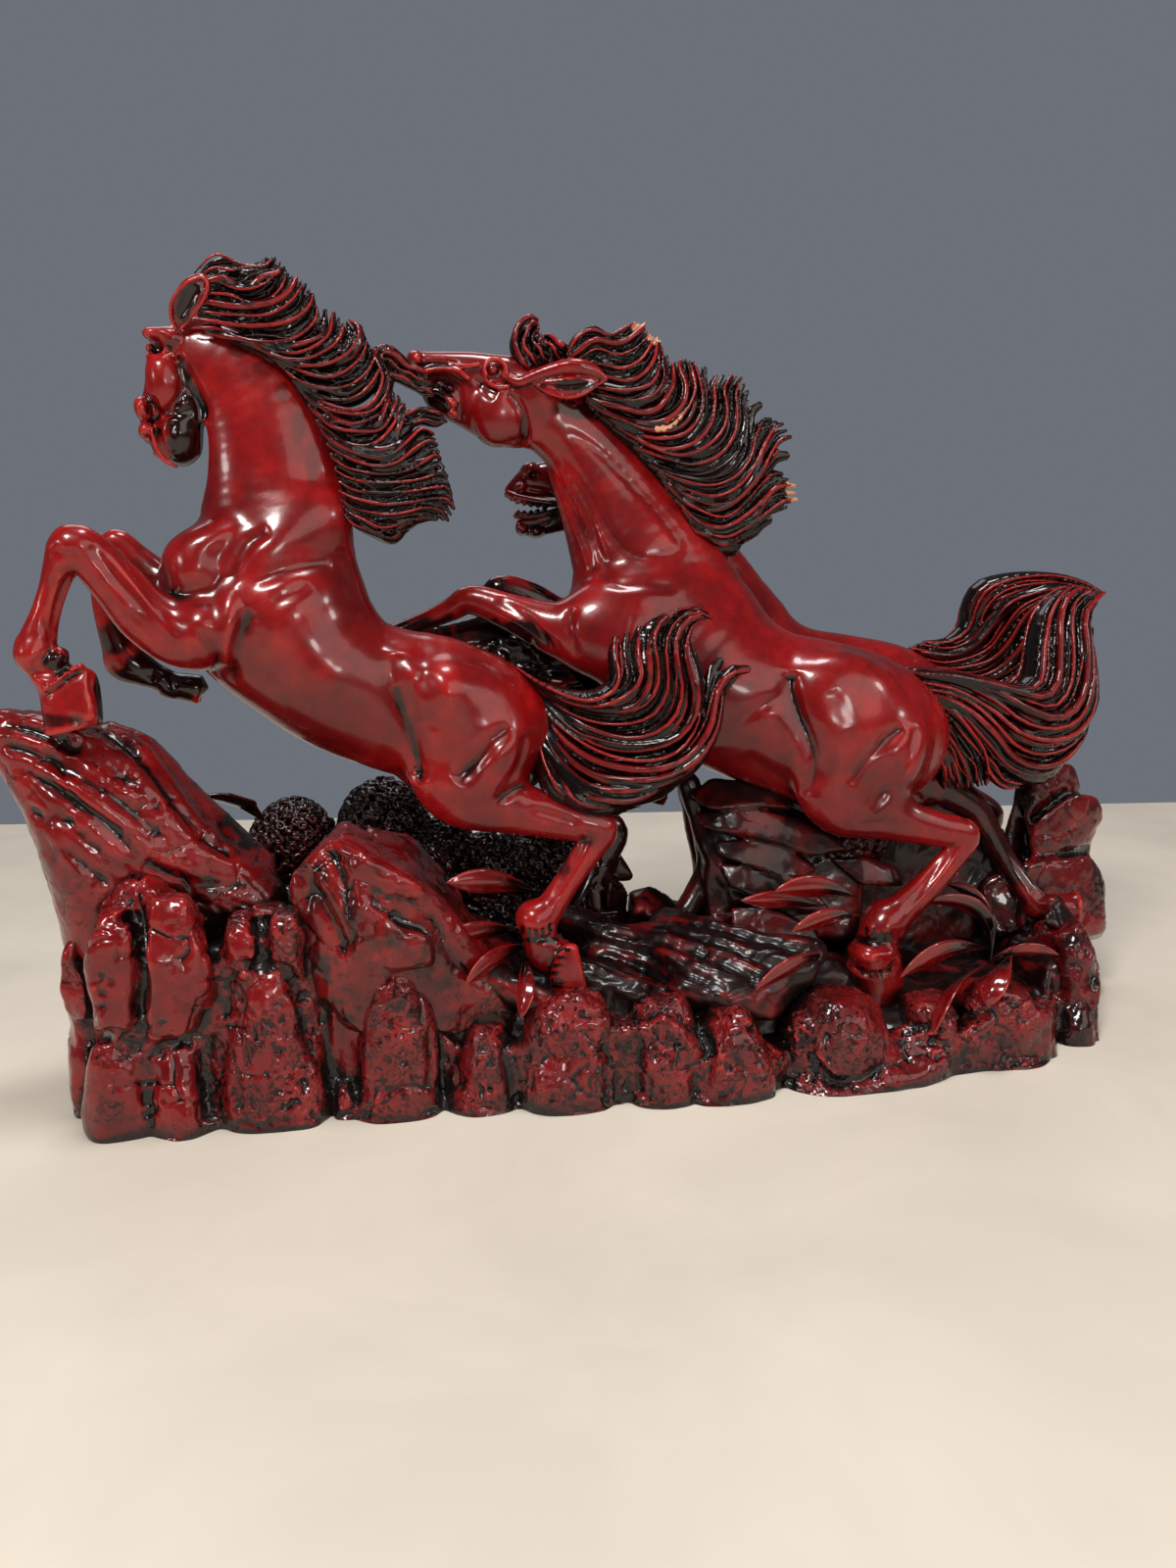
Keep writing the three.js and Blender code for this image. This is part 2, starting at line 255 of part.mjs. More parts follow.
// A spray of blades on a stalk.
function spray({ stalk, blades }, grow) {
  const [sx, sy, z0, z1] = stalk;
  const ringAt = (z, r) => Array.from({ length: 6 }, (_, j) => new THREE.Vector3(sx + Math.cos(j * Math.PI / 3) * (r + grow), sy + Math.sin(j * Math.PI / 3) * (r + grow), z));
  let solid = skin([ringAt(z0, 6), ringAt((z0 + z1) / 2, 5.5), ringAt(z1, 3.5)], new THREE.Vector3(sx, sy, z0 - 0.5), new THREE.Vector3(sx, sy, z1 + 1));
  for (const [tx, ty, tz, w] of blades) {
    const from = new THREE.Vector3(sx, sy, (z0 + z1) / 2 + 4), tip = new THREE.Vector3(tx, ty, tz);
    const t = tip.clone().sub(from).normalize();
    const flat = new THREE.Vector3(0, 0, 1).cross(t).normalize();
    const thick = t.clone().cross(flat).normalize();
    const rings = [[0.0, 0.35, 1.2], [0.35, 0.95, 1.3], [0.62, 1.0, 1.2], [0.85, 0.55, 0.8]].map(([f, k, h]) => {
      const c = from.clone().lerp(tip, f).addScaledVector(new THREE.Vector3(0, 0, 1), 5 * Math.sin(Math.PI * f));
      return [[1, 0], [0.3, 1], [-0.3, 1], [-1, 0], [-0.3, -1], [0.3, -1]].map(([a, b]) => c.clone().addScaledVector(flat, a * (w * k + grow)).addScaledVector(thick, b * (h + grow)));
    });
    solid = solid.add(skin(rings, from.clone().addScaledVector(t, -1), tip.clone().addScaledVector(t, grow)));
  }
  return solid;
}

// ---- the pieces, in the order in which they keep their shape -----------------------------
const pieces = [];
const piece = (name, make, colour, roughness) => pieces.push({ name, make, colour, roughness });
const horse = (id, c) => {
  piece(`${id}_head`, (g) => c.ears.reduce((s, e) => s.add(run(e, 8, g)), limb(c.head, 10, g)), RED_LACQUER, 0.28);
  piece(`${id}_body`, (g) => run(c.torso, BODY_SIDES, g).add(run(c.neck, 12, g)), RED_LACQUER, 0.25);
  piece(`${id}_left_foreleg`, (g) => limb(c.lf, LEG_SIDES, g), RED_LACQUER, 0.28);
  piece(`${id}_right_foreleg`, (g) => (c.web ? limb(c.rf, LEG_SIDES, g).add(crag(c.web, g, 0.9)) : limb(c.rf, LEG_SIDES, g)), RED_LACQUER, 0.28);
  piece(`${id}_left_hind_leg`, (g) => limb(c.lh, LEG_SIDES, g), RED_LACQUER, 0.28);
  piece(`${id}_right_hind_leg`, (g) => limb(c.rh, LEG_SIDES, g), RED_LACQUER, 0.28);
  piece(`${id}_mane`, (g) => run(c.mane, 10, g), DARK_LACQUER, 0.4);
  piece(`${id}_tail`, (g) => run(c.tail, 10, g), DARK_LACQUER, 0.4);
};
horse('front_horse', { head: FRONT_HEAD, ears: FRONT_EARS, torso: FRONT_TORSO, neck: FRONT_NECK, mane: FRONT_MANE, tail: FRONT_TAIL, lf: FRONT_LF, rf: FRONT_RF, lh: FRONT_LH, rh: FRONT_RH });
// The middle horse's far foreleg is joined to a lump of the casting that fills the bend of the knee.
horse('middle_horse', { head: MIDDLE_HEAD, ears: MIDDLE_EARS, torso: MIDDLE_TORSO, neck: MIDDLE_NECK, mane: MIDDLE_MANE, tail: MIDDLE_TAIL, lf: MIDDLE_LF, rf: MIDDLE_RF, lh: MIDDLE_LH, rh: MIDDLE_RH, web: FORELEG_WEB });
horse('back_horse', { head: BACK_HEAD, ears: BACK_EARS, torso: BACK_TORSO, neck: BACK_NECK, mane: BACK_MANE, tail: BACK_TAIL, lf: BACK_LF, rf: BACK_RF, lh: BACK_LH, rh: BACK_RH });
piece('rock_base', (g) => rockBase(g), RED_LACQUER, 0.4);
piece('left_crag', (g) => crag(LEFT_CRAG, g, 0.4), RED_LACQUER, 0.35);
piece('centre_rock', (g) => crag(CENTRE_ROCK, g, 1.7), RED_LACQUER, 0.35);
// The saddle rock carries a thin web of rock behind the middle horse's hind legs.
piece('saddle_rock', (g) => crag(SADDLE_ROCK, g, 2.9).add(crag(LEG_WEB, g, 1.2)), DARK_LACQUER, 0.4);
piece('rear_rock', (g) => crag(REAR_ROCK, g, 4.1), RED_LACQUER, 0.4);
piece('left_berry_cluster', (g) => berries(LEFT_BERRIES, g), DARK_LACQUER, 0.45);
piece('centre_berry_cluster', (g) => berries(CENTRE_BERRIES, g), DARK_LACQUER, 0.45);
piece('rear_berry_cluster', (g) => berries(REAR_BERRIES, g), DARK_LACQUER, 0.45);
piece('left_leaf_spray', (g) => spray(LEFT_SPRAY, g), RED_LACQUER, 0.3);
piece('upper_leaf_spray', (g) => spray(UPPER_SPRAY, g), RED_LACQUER, 0.3);
piece('lower_leaf_spray', (g) => spray(LOWER_SPRAY, g), RED_LACQUER, 0.3);

// Keeps the largest body of a cut solid, so that no loose sliver stays with a section.
function largest(solid) {
  const m = solid.getMesh();
  const P = m.vertProperties, T = m.triVerts, np = m.numProp;
  const parent = new Uint32Array(P.length / np).map((_, i) => i);
  const find = (i) => { while (parent[i] !== i) { parent[i] = parent[parent[i]]; i = parent[i]; } return i; };
  const seen = new Map();
  for (let i = 0; i < parent.length; i++) {
    const key = `${P[i * np]},${P[i * np + 1]},${P[i * np + 2]}`;
    if (seen.has(key)) parent[find(i)] = find(seen.get(key)); else seen.set(key, i);
  }
  for (let t = 0; t < T.length; t += 3) {
    parent[find(T[t])] = find(T[t + 1]);
    parent[find(T[t + 1])] = find(T[t + 2]);
  }
  const volume = new Map();
  const V = (i) => new THREE.Vector3(P[i * np], P[i * np + 1], P[i * np + 2]);
  for (let t = 0; t < T.length; t += 3) {
    const r = find(T[t]);
    volume.set(r, (volume.get(r) || 0) + V(T[t]).dot(V(T[t + 1]).cross(V(T[t + 2]))));
  }
  let best = -1, most = -Infinity;
  for (const [r, v] of volume) if (v > most) { most = v; best = r; }
  const out = [];
  for (let t = 0; t < T.length; t += 3) if (find(T[t]) === best) for (let k = 0; k < 3; k++) { const v = V(T[t + k]); out.push(v.x, v.y, v.z); }
  return out;
}

const group = new THREE.Group();
const kept = [];
for (const p of pieces) {
  let solid = p.make(0);
  const b = solid.boundingBox();
  for (const q of kept) {
    const c = q.box;
    if (b.min[0] > c.max[0] || b.max[0] < c.min[0] || b.min[1] > c.max[1] || b.max[1] < c.min[1] || b.min[2] > c.max[2] || b.max[2] < c.min[2]) continue;
    solid = solid.subtract(q.grown);
  }
  const grown = p.make(BOND_GAP);
  kept.push({ grown, box: grown.boundingBox() });
  const geometry = new THREE.BufferGeometry();
  geometry.setAttribute('position', new THREE.Float32BufferAttribute(largest(solid), 3));
  geometry.computeVertexNormals();
  const material = new THREE.MeshStandardMaterial({ color: p.colour, roughness: p.roughness, metalness: 0 });
  const mesh = new THREE.Mesh(geometry, material);
  mesh.name = p.name;
  group.add(mesh);
}

export default group;
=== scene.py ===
# A group of three running horses on a rocky base: cast resin, deep red gloss lacquer over a
# blackened wash. Lengths in the modelling code are millimetres in the part's frame; meshes are
# scaled to metres when they are made.
import math
import bpy
import bmesh
import numpy as np
import openvdb
from mathutils import Vector, Matrix, kdtree


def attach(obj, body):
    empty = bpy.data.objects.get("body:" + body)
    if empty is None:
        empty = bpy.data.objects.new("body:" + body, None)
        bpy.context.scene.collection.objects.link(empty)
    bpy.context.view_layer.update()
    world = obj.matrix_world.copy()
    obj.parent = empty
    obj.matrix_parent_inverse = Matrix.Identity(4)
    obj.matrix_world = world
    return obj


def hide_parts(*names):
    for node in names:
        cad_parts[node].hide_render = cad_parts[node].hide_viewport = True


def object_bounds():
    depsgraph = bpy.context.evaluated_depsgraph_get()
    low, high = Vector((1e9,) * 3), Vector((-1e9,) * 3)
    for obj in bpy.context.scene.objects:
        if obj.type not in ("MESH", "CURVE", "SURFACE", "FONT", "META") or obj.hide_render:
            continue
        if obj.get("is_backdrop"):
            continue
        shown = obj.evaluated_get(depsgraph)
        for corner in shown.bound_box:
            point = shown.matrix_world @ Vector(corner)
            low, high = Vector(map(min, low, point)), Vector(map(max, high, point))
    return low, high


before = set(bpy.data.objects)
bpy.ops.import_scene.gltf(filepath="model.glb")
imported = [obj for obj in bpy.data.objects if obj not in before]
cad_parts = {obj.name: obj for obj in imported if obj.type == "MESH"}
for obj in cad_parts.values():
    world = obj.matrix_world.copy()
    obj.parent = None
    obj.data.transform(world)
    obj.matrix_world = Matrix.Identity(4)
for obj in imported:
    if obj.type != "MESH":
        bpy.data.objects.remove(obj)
CAD_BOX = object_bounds()

# ---- where the photograph's camera stands, in the part's frame ---------------------------
FOCAL_PX, CENTRE_U, CENTRE_V = 1202.0, 600.0, 800.0
CAM_HEIGHT = 182.0
_yaw, _pitch, _roll = math.radians(8.137), math.radians(10.011), math.radians(1.0855)
_f0 = np.array([0, math.cos(_pitch), -math.sin(_pitch)])
_r0 = np.array([1.0, 0, 0])
_u0 = np.cross(_r0, _f0)
_r1 = _r0 * math.cos(-_roll) + _u0 * math.sin(-_roll)
_u1 = np.cross(_r1, _f0)


def _turn(v):
    c, s = math.cos(-_yaw), math.sin(-_yaw)
    return np.array([c * v[0] - s * v[1], s * v[0] + c * v[1], v[2]])


CAM_R, CAM_U, CAM_F = _turn(_r1), _turn(_u1), _turn(_f0)
CAM_POS = _turn(np.array([0.002 * CAM_HEIGHT, -2.448 * CAM_HEIGHT, CAM_HEIGHT]))


def at(u, v, y):
    """The point of the plane Y=y that the photograph's pixel (u, v) looks at, and mm per pixel there."""
    d = CAM_F + CAM_R * ((u - CENTRE_U) / FOCAL_PX) - CAM_U * ((v - CENTRE_V) / FOCAL_PX)
    t = (y - CAM_POS[1]) / d[1]
    return CAM_POS + d * t, t / FOCAL_PX


def pts(rows):
    """Rows of (u, v, y[, more...]) to an array of points in mm."""
    return np.array([at(r[0], r[1], r[2])[0] for r in rows])


def chain(rows):
    """Rows of (u, v, y, r_px, flat) to (points, radii in mm, flatness)."""
    P, R, K = [], [], []
    for u, v, y, r, k in rows:
        p, s = at(u, v, y)
        P.append(p); R.append(r * s); K.append(k)
    return np.array(P), np.array(R), np.array(K)


# ---- a solid as a field of signed distances on a grid -------------------------------------
class Field:
    FAR = 5.0

    def __init__(self, lo, hi, h):
        self.h = float(h)
        self.lo = np.asarray(lo, float)
        self.n = np.ceil((np.asarray(hi, float) - self.lo) / h).astype(int) + 1
        self.d = np.full(self.n, self.FAR, np.float32)
        self.ax = [(self.lo[i] + h * np.arange(self.n[i])).astype(np.float32) for i in range(3)]

    def window(self, lo, hi):
        i0 = np.clip(np.floor((np.asarray(lo) - self.lo) / self.h).astype(int), 0, self.n)
        i1 = np.clip(np.ceil((np.asarray(hi) - self.lo) / self.h).astype(int) + 1, 0, self.n)
        if (i1 <= i0).any():
            return None
        sl = tuple(slice(a, b) for a, b in zip(i0, i1))
        return sl, self.ax[0][sl[0]][:, None, None], self.ax[1][sl[1]][None, :, None], self.ax[2][sl[2]][None, None, :]

    def put(self, sl, d, k=0.0, op="add"):
        a = self.d[sl]
        if op == "cut":
            d = -d
            if k > 0:
                h = np.maximum(k - np.abs(a - d), 0) / k
                a[...] = np.maximum(a, d) + h * h * k * 0.25
            else:
                np.maximum(a, d, out=a)
        else:
            if k > 0:
                h = np.maximum(k - np.abs(a - d), 0) / k
                a[...] = np.minimum(a, d) - h * h * k * 0.25
            else:
                np.minimum(a, d, out=a)

    def tube(self, P, R, K=None, k=0.0, op="add", axis=(0, 1, 0), margin=2.0):
        """A round cone along each pair of points, flattened by K along axis."""
        P = np.asarray(P, float); R = np.asarray(R, float)
        K = np.ones(len(P)) if K is None else np.asarray(K, float)
        if K.ndim == 0:
            K = np.full(len(P), float(K))
        ax = np.asarray(axis, float)
        if ax.ndim == 1:
            ax = np.tile(ax, (len(P), 1))
        m = margin + k + self.h
        lo = (P - R[:, None]).min(0) - m
        hi = (P + R[:, None]).max(0) + m
        w = self.window(lo, hi)
        if w is None:
            return
        sl = w[0]
        tmp = np.full([s.stop - s.start for s in sl], 1e3, np.float32)
        off = np.array([s.start for s in sl])
        for i in range(len(P) - 1):
            a, b, ra, rb = P[i], P[i + 1], R[i], R[i + 1]
            slo = np.minimum(a - ra, b - rb) - m
            shi = np.maximum(a + ra, b + rb) + m
            ww = self.window(slo, shi)
            if ww is None:
                continue
            s2, X, Y, Z = ww
            ab = (b - a).astype(np.float32)
            L2 = float(ab @ ab) + 1e-9
            x = X - np.float32(a[0]); y = Y - np.float32(a[1]); z = Z - np.float32(a[2])
            t = np.clip((x * ab[0] + y * ab[1] + z * ab[2]) / L2, 0, 1)
            x = x - t * ab[0]; y = y - t * ab[1]; z = z - t * ab[2]
            q = x * x + y * y + z * z
            ka, kb = K[i], K[i + 1]
            if ka != 1 or kb != 1:
                f = (ax[i] + ax[i + 1]) * 0.5
                f = f / (np.linalg.norm(f) + 1e-9)
                s = x * np.float32(f[0]) + y * np.float32(f[1]) + z * np.float32(f[2])
                kk = ka + t * (kb - ka)
                q = q + s * s * (1 / (kk * kk) - 1)
            d = np.sqrt(q) - (ra + t * (rb - ra))
            loc = tuple(slice(s.start - o, s.stop - o) for s, o in zip(s2, off))
            np.minimum(tmp[loc], d, out=tmp[loc])
        self.put(sl, tmp, k, op)

    def ball(self, c, r, k=0.0, op="add", rot=None):
        """An ellipsoid with radii r (along the rows of rot, or X, Y, Z)."""
        c = np.asarray(c, float)
        r = np.full(3, float(r)) if np.ndim(r) == 0 else np.asarray(r, float)
        ext = r if rot is None else np.abs(np.asarray(rot).T) @ r
        m = 2.0 + k + self.h
        w = self.window(c - ext - m, c + ext + m)
        if w is None:
            return
        sl, X, Y, Z = w
        x, y, z = X - np.float32(c[0]), Y - np.float32(c[1]), Z - np.float32(c[2])
        if rot is not None:
            M = np.asarray(rot, np.float32)
            x, y, z = (M[0, 0] * x + M[0, 1] * y + M[0, 2] * z, M[1, 0] * x + M[1, 1] * y + M[1, 2] * z, M[2, 0] * x + M[2, 1] * y + M[2, 2] * z)
        k0 = np.sqrt((x / r[0]) ** 2 + (y / r[1]) ** 2 + (z / r[2]) ** 2)
        k1 = np.sqrt((x / r[0] ** 2) ** 2 + (y / r[1] ** 2) ** 2 + (z / r[2] ** 2) ** 2) + 1e-6
        self.put(sl, (k0 * (k0 - 1) / k1).astype(np.float32), k, op)

    def planes(self, c, rows, k=0.0, op="add", reach=60.0, round_=0.0):
        """A faceted rock: the space behind planes, each (direction, distance from c)."""
        c = np.asarray(c, float)
        N = np.array([np.asarray(n, float) / np.linalg.norm(n) for n, _ in rows])
        D = np.array([q for _, q in rows])
        w = self.window(c - reach, c + reach)
        if w is None:
            return
        sl, X, Y, Z = w
        x, y, z = X - np.float32(c[0]), Y - np.float32(c[1]), Z - np.float32(c[2])
        d = None
        for n, q in zip(N, D):
            e = (x * n[0] + y * n[1] + z * n[2] - q).astype(np.float32)
            if d is None:
                d = e
            elif round_ > 0:
                h = np.maximum(round_ - np.abs(d - e), 0) / round_
                d = np.maximum(d, e) + h * h * round_ * 0.25
            else:
                d = np.maximum(d, e)
        self.put(sl, d, k, op)

    def groove(self, P, width, depth, taper=True, only=None):
        """Presses a soft groove along a line (a negative depth raises a ridge)."""
        P = np.asarray(P, float)
        m = width * 2.6
        w = self.window(P.min(0) - m, P.max(0) + m)
        if w is None:
            return
        sl, X, Y, Z = w
        best = np.full([s.stop - s.start for s in sl], 1e6, np.float32)
        along = np.zeros_like(best)
        seg = np.linalg.norm(np.diff(P, axis=0), axis=1)
        total = seg.sum(); run = 0.0
        for i in range(len(P) - 1):
            a = P[i]; ab = P[i + 1] - a
            x, y, z = X - np.float32(a[0]), Y - np.float32(a[1]), Z - np.float32(a[2])
            t = np.clip((x * ab[0] + y * ab[1] + z * ab[2]) / (ab @ ab + 1e-9), 0, 1)
            q = (x - t * ab[0]) ** 2 + (y - t * ab[1]) ** 2 + (z - t * ab[2]) ** 2
            hit = q < best
            best = np.where(hit, q, best)
            along = np.where(hit, (run + t * seg[i]) / total, along)
            run += seg[i]
        g = np.exp(-best / (width * width))
        if taper:
            g = g * np.clip(np.minimum(along, 1 - along) * 5, 0.0, 1.0) ** 0.5
        self.d[sl] += (depth * g).astype(np.float32)

    def mesh(self, smooth=1, adaptivity=0.0):
        d = np.clip(self.d, -self.FAR, self.FAR)
        d[0], d[-1] = self.FAR, self.FAR
        d[:, 0], d[:, -1] = self.FAR, self.FAR
        d[:, :, 0], d[:, :, -1] = self.FAR, self.FAR
        CROWD.add(self)
        g = openvdb.FloatGrid()
        g.background = self.FAR
        g.copyFromArray(np.ascontiguousarray(d))
        p, tri, quad = g.convertToPolygons(isovalue=0.0, adaptivity=adaptivity)
        v = p.astype(np.float64) * self.h + self.lo
        faces = Faces(np.asarray(quad, np.int64), np.asarray(tri, np.int64))
        v, faces = largest_shell(v, faces)
        if smooth:
            v = relax(v, faces, smooth)
        return v, faces


class Faces:
    def __init__(self, quads, tris=None):
        self.q = np.asarray(quads, np.int64).reshape(-1, 4)
        self.t = np.zeros((0, 3), np.int64) if tris is None else np.asarray(tris, np.int64).reshape(-1, 3)

    def edges(self):
        q, t = self.q, self.t
        e = np.concatenate([q[:, [0, 1]], q[:, [1, 2]], q[:, [2, 3]], q[:, [3, 0]], t[:, [0, 1]], t[:, [1, 2]], t[:, [2, 0]]])
        e.sort(axis=1)
        return np.unique(e, axis=0)

    def take(self, keep_q, keep_t):
        return Faces(self.q[keep_q], self.t[keep_t])


def compact(v, faces, *attrs):
    used = np.zeros(len(v), bool)
    used[faces.q.ravel()] = True
    used[faces.t.ravel()] = True
    new = np.cumsum(used) - 1
    return (v[used], Faces(new[faces.q], new[faces.t])) + tuple(a[used] for a in attrs)


def components(n, edges):
    lab = np.arange(n)
    a, b = edges[:, 0], edges[:, 1]
    while True:
        m = np.minimum(lab[a], lab[b])
        new = lab.copy()
        np.minimum.at(new, a, m)
        np.minimum.at(new, b, m)
        new = new[new]
        if (new == lab).all():
            return lab
        lab = new


def largest_shell(v, faces, least=0.02):
    """Drops small loose bits and inner bubbles; keeps every outer shell above a share of the largest."""
    lab = components(len(v), faces.edges())
    ids, inv = np.unique(lab, return_inverse=True)
    if len(ids) == 1:
        return v, faces
    vol = np.zeros(len(ids))
    for tri, fl in ((faces.q[:, [0, 1, 2]], faces.q[:, 0]), (faces.q[:, [0, 2, 3]], faces.q[:, 0]), (faces.t, faces.t[:, 0] if len(faces.t) else np.zeros(0, int))):
        if len(tri):
            a, b, c = v[tri[:, 0]], v[tri[:, 1]], v[tri[:, 2]]
            np.add.at(vol, inv[fl], np.einsum("ij,ij->i", a, np.cross(b, c)) / 6)
    keep = vol > vol.max() * least
    v2, f2 = compact(v, faces.take(keep[inv[faces.q[:, 0]]], keep[inv[faces.t[:, 0]]] if len(faces.t) else np.zeros(0, bool)))
    return v2, f2


def neighbour_mean(v, e, deg=None):
    n = len(v)
    out = np.empty_like(v)
    if deg is None:
        deg = np.bincount(e.ravel(), minlength=n).clip(1)
    for i in range(v.shape[1]):
        out[:, i] = (np.bincount(e[:, 0], v[e[:, 1], i], n) + np.bincount(e[:, 1], v[e[:, 0], i], n)) / deg
    return out


def relax(v, faces, rounds, lam=0.5, mu=-0.53):
    """Taubin smoothing, which takes the grid's steps out and keeps the size."""
    e = faces.edges()
    deg = np.bincount(e.ravel(), minlength=len(v)).clip(1)
    for _ in range(rounds):
        v = v + lam * (neighbour_mean(v, e, deg) - v)
        v = v + mu * (neighbour_mean(v, e, deg) - v)
    return v


def normals(v, faces):
    n = np.zeros_like(v)
    q, t = faces.q, faces.t
    if len(q):
        fn = np.cross(v[q[:, 2]] - v[q[:, 0]], v[q[:, 3]] - v[q[:, 1]])
        for i in range(4):
            for c in range(3):
                n[:, c] += np.bincount(q[:, i], fn[:, c], len(v))
    if len(t):
        fn = np.cross(v[t[:, 1]] - v[t[:, 0]], v[t[:, 2]] - v[t[:, 0]])
        for i in range(3):
            for c in range(3):
                n[:, c] += np.bincount(t[:, i], fn[:, c], len(v))
    return n / (np.linalg.norm(n, axis=1, keepdims=True) + 1e-12)


def hollow_of(v, faces, rounds, size):
    """How deep each point lies in a hollow: +1 in a groove, -1 on a ridge, measured against the smoothed shape."""
    e = faces.edges()
    deg = np.bincount(e.ravel(), minlength=len(v)).clip(1)
    n = normals(v, faces)
    s = v.copy()
    for _ in range(rounds):
        s = s + 0.6 * (neighbour_mean(s, e, deg) - s)
    c = np.einsum("ij,ij->i", s - v, n) / size
    for _ in range(1):
        c = 0.5 * c + 0.5 * neighbour_mean(c[:, None], e, deg)[:, 0]
    return np.clip(c, -1, 1)


# smooth value noise on a lattice, from a fixed seed
def noise3(p, scale, seed, octaves=3, gain=0.5):
    out = np.zeros(len(p))
    amp, tot = 1.0, 0.0
    for o in range(octaves):
        q = p / scale * (2 ** o) + 17.3 * o
        i = np.floor(q).astype(np.int64)
        f = q - i
        f = f * f * (3 - 2 * f)
        val = 0
        for dx in (0, 1):
            for dy in (0, 1):
                for dz in (0, 1):
                    h = ((i[:, 0] + dx) * 73856093) ^ ((i[:, 1] + dy) * 19349663) ^ ((i[:, 2] + dz) * 83492791) ^ (seed * 2654435761 + o * 97)
                    h = (h ^ (h >> 13)) * 1274126177
                    r = ((h ^ (h >> 16)) & 0xFFFF) / 65535.0 * 2 - 1
                    val = val + r * (f[:, 0] if dx else 1 - f[:, 0]) * (f[:, 1] if dy else 1 - f[:, 1]) * (f[:, 2] if dz else 1 - f[:, 2])
        out += amp * val
        tot += amp
        amp *= gain
    return out / tot


def cells3(p, scale, seed):
    """Distance to the nearest and second nearest scattered point."""
    q = p / scale
    i = np.floor(q).astype(np.int64)
    d1 = np.full(len(p), 9.0); d2 = np.full(len(p), 9.0)
    for dx in (-1, 0, 1):
        for dy in (-1, 0, 1):
            for dz in (-1, 0, 1):
                c = i + np.array([dx, dy, dz])
                o = []
                for s in (1, 2, 3):
                    h = (c[:, 0] * 73856093) ^ (c[:, 1] * 19349663) ^ (c[:, 2] * 83492791) ^ (seed * 7919 + s * 104729)
                    h = (h ^ (h >> 13)) * 1274126177
                    o.append(((h ^ (h >> 16)) & 0xFFFF) / 65535.0)
                d = np.linalg.norm(c + np.stack(o, 1) - q, axis=1)
                nearer = d < d1
                d2 = np.where(nearer, d1, np.minimum(d2, d))
                d1 = np.where(nearer, d, d1)
    return d1, d2


def smooth_line(P, step):
    """A Catmull-Rom curve through rows of numbers, sampled about every step mm (columns 0-2 are the place)."""
    P = np.asarray(P, float)
    if len(P) == 2:
        Q = P
    out = []
    n = len(P)
    for i in range(n - 1):
        p0 = P[i - 1] if i else 2 * P[0] - P[1]
        p1, p2 = P[i], P[i + 1]
        p3 = P[i + 2] if i + 2 < n else 2 * P[-1] - P[-2]
        m = max(1, int(math.ceil(np.linalg.norm(p2[:3] - p1[:3]) / step)))
        for t in np.arange(m) / m:
            out.append(0.5 * (2 * p1 + (p2 - p0) * t + (2 * p0 - 5 * p1 + 4 * p2 - p3) * t ** 2 + (3 * p1 - p0 - 3 * p2 + p3) * t ** 3))
    out.append(P[-1])
    return np.array(out)


def smooth_chain(rows, step=4.0, raw=None):
    P, R, K = chain(rows) if raw is None else raw
    Q = smooth_line(np.column_stack([P, R, K]), step)
    return Q[:, :3], np.maximum(Q[:, 3], 0.3), np.clip(Q[:, 4], 0.15, 1.5)


# ---- meshes in the scene -------------------------------------------------------------------
SHADED = []
SOLIDS = []


def make_object(name, v, faces, material, attrs=None, vertex_normals=None):
    SHADED.append((None, np.asarray(v), normals(np.asarray(v), faces) if vertex_normals is None else np.asarray(vertex_normals)))
    me = bpy.data.meshes.new(name)
    nq, nt = len(faces.q), len(faces.t)
    me.vertices.add(len(v))
    me.vertices.foreach_set("co", (np.asarray(v) * 0.001).astype(np.float32).ravel())
    loops = np.concatenate([faces.q.ravel(), faces.t.ravel()]).astype(np.int32)
    me.loops.add(len(loops))
    me.loops.foreach_set("vertex_index", loops)
    me.polygons.add(nq + nt)
    starts = np.concatenate([np.arange(nq) * 4, nq * 4 + np.arange(nt) * 3]).astype(np.int32)
    me.polygons.foreach_set("loop_start", starts)
    me.polygons.foreach_set("use_smooth", np.ones(nq + nt, bool))
    me.update(calc_edges=True)
    me.validate()
    for key, val in (attrs or {}).items():
        a = me.attributes.new(key, "FLOAT", "POINT")
        a.data.foreach_set("value", np.asarray(val, np.float32))
    if vertex_normals is not None and len(me.vertices) == len(vertex_normals):
        me.normals_split_custom_set_from_vertices([tuple(n) for n in np.asarray(vertex_normals)])
    me.materials.append(material)
    o = bpy.data.objects.new(name, me)
    bpy.context.scene.collection.objects.link(o)
    SHADED[-1] = (o,) + SHADED[-1][1:]
    return o


def boundary_caps(faces, n):
    """Closes every open rim of a cut mesh with a fan; returns new faces and the rims."""
    q, t = faces.q, faces.t
    he = np.concatenate([q[:, [0, 1]], q[:, [1, 2]], q[:, [2, 3]], q[:, [3, 0]], t[:, [0, 1]], t[:, [1, 2]], t[:, [2, 0]]])
    key = he[:, 0] * n + he[:, 1]
    rev = he[:, 1] * n + he[:, 0]
    open_ = he[~np.isin(key, rev)]
    nxt = {}
    for a, b in open_:
        nxt.setdefault(int(a), []).append(int(b))
    rims = []
    while nxt:
        a0 = next(iter(nxt))
        loop = [a0]
        a = a0
        while True:
            lst = nxt.get(a)
            if not lst:
                break
            b = lst.pop()
            if not lst:
                del nxt[a]
            if b == a0:
                break
            loop.append(b)
            a = b
        if len(loop) >= 3:
            rims.append(loop)
    return rims


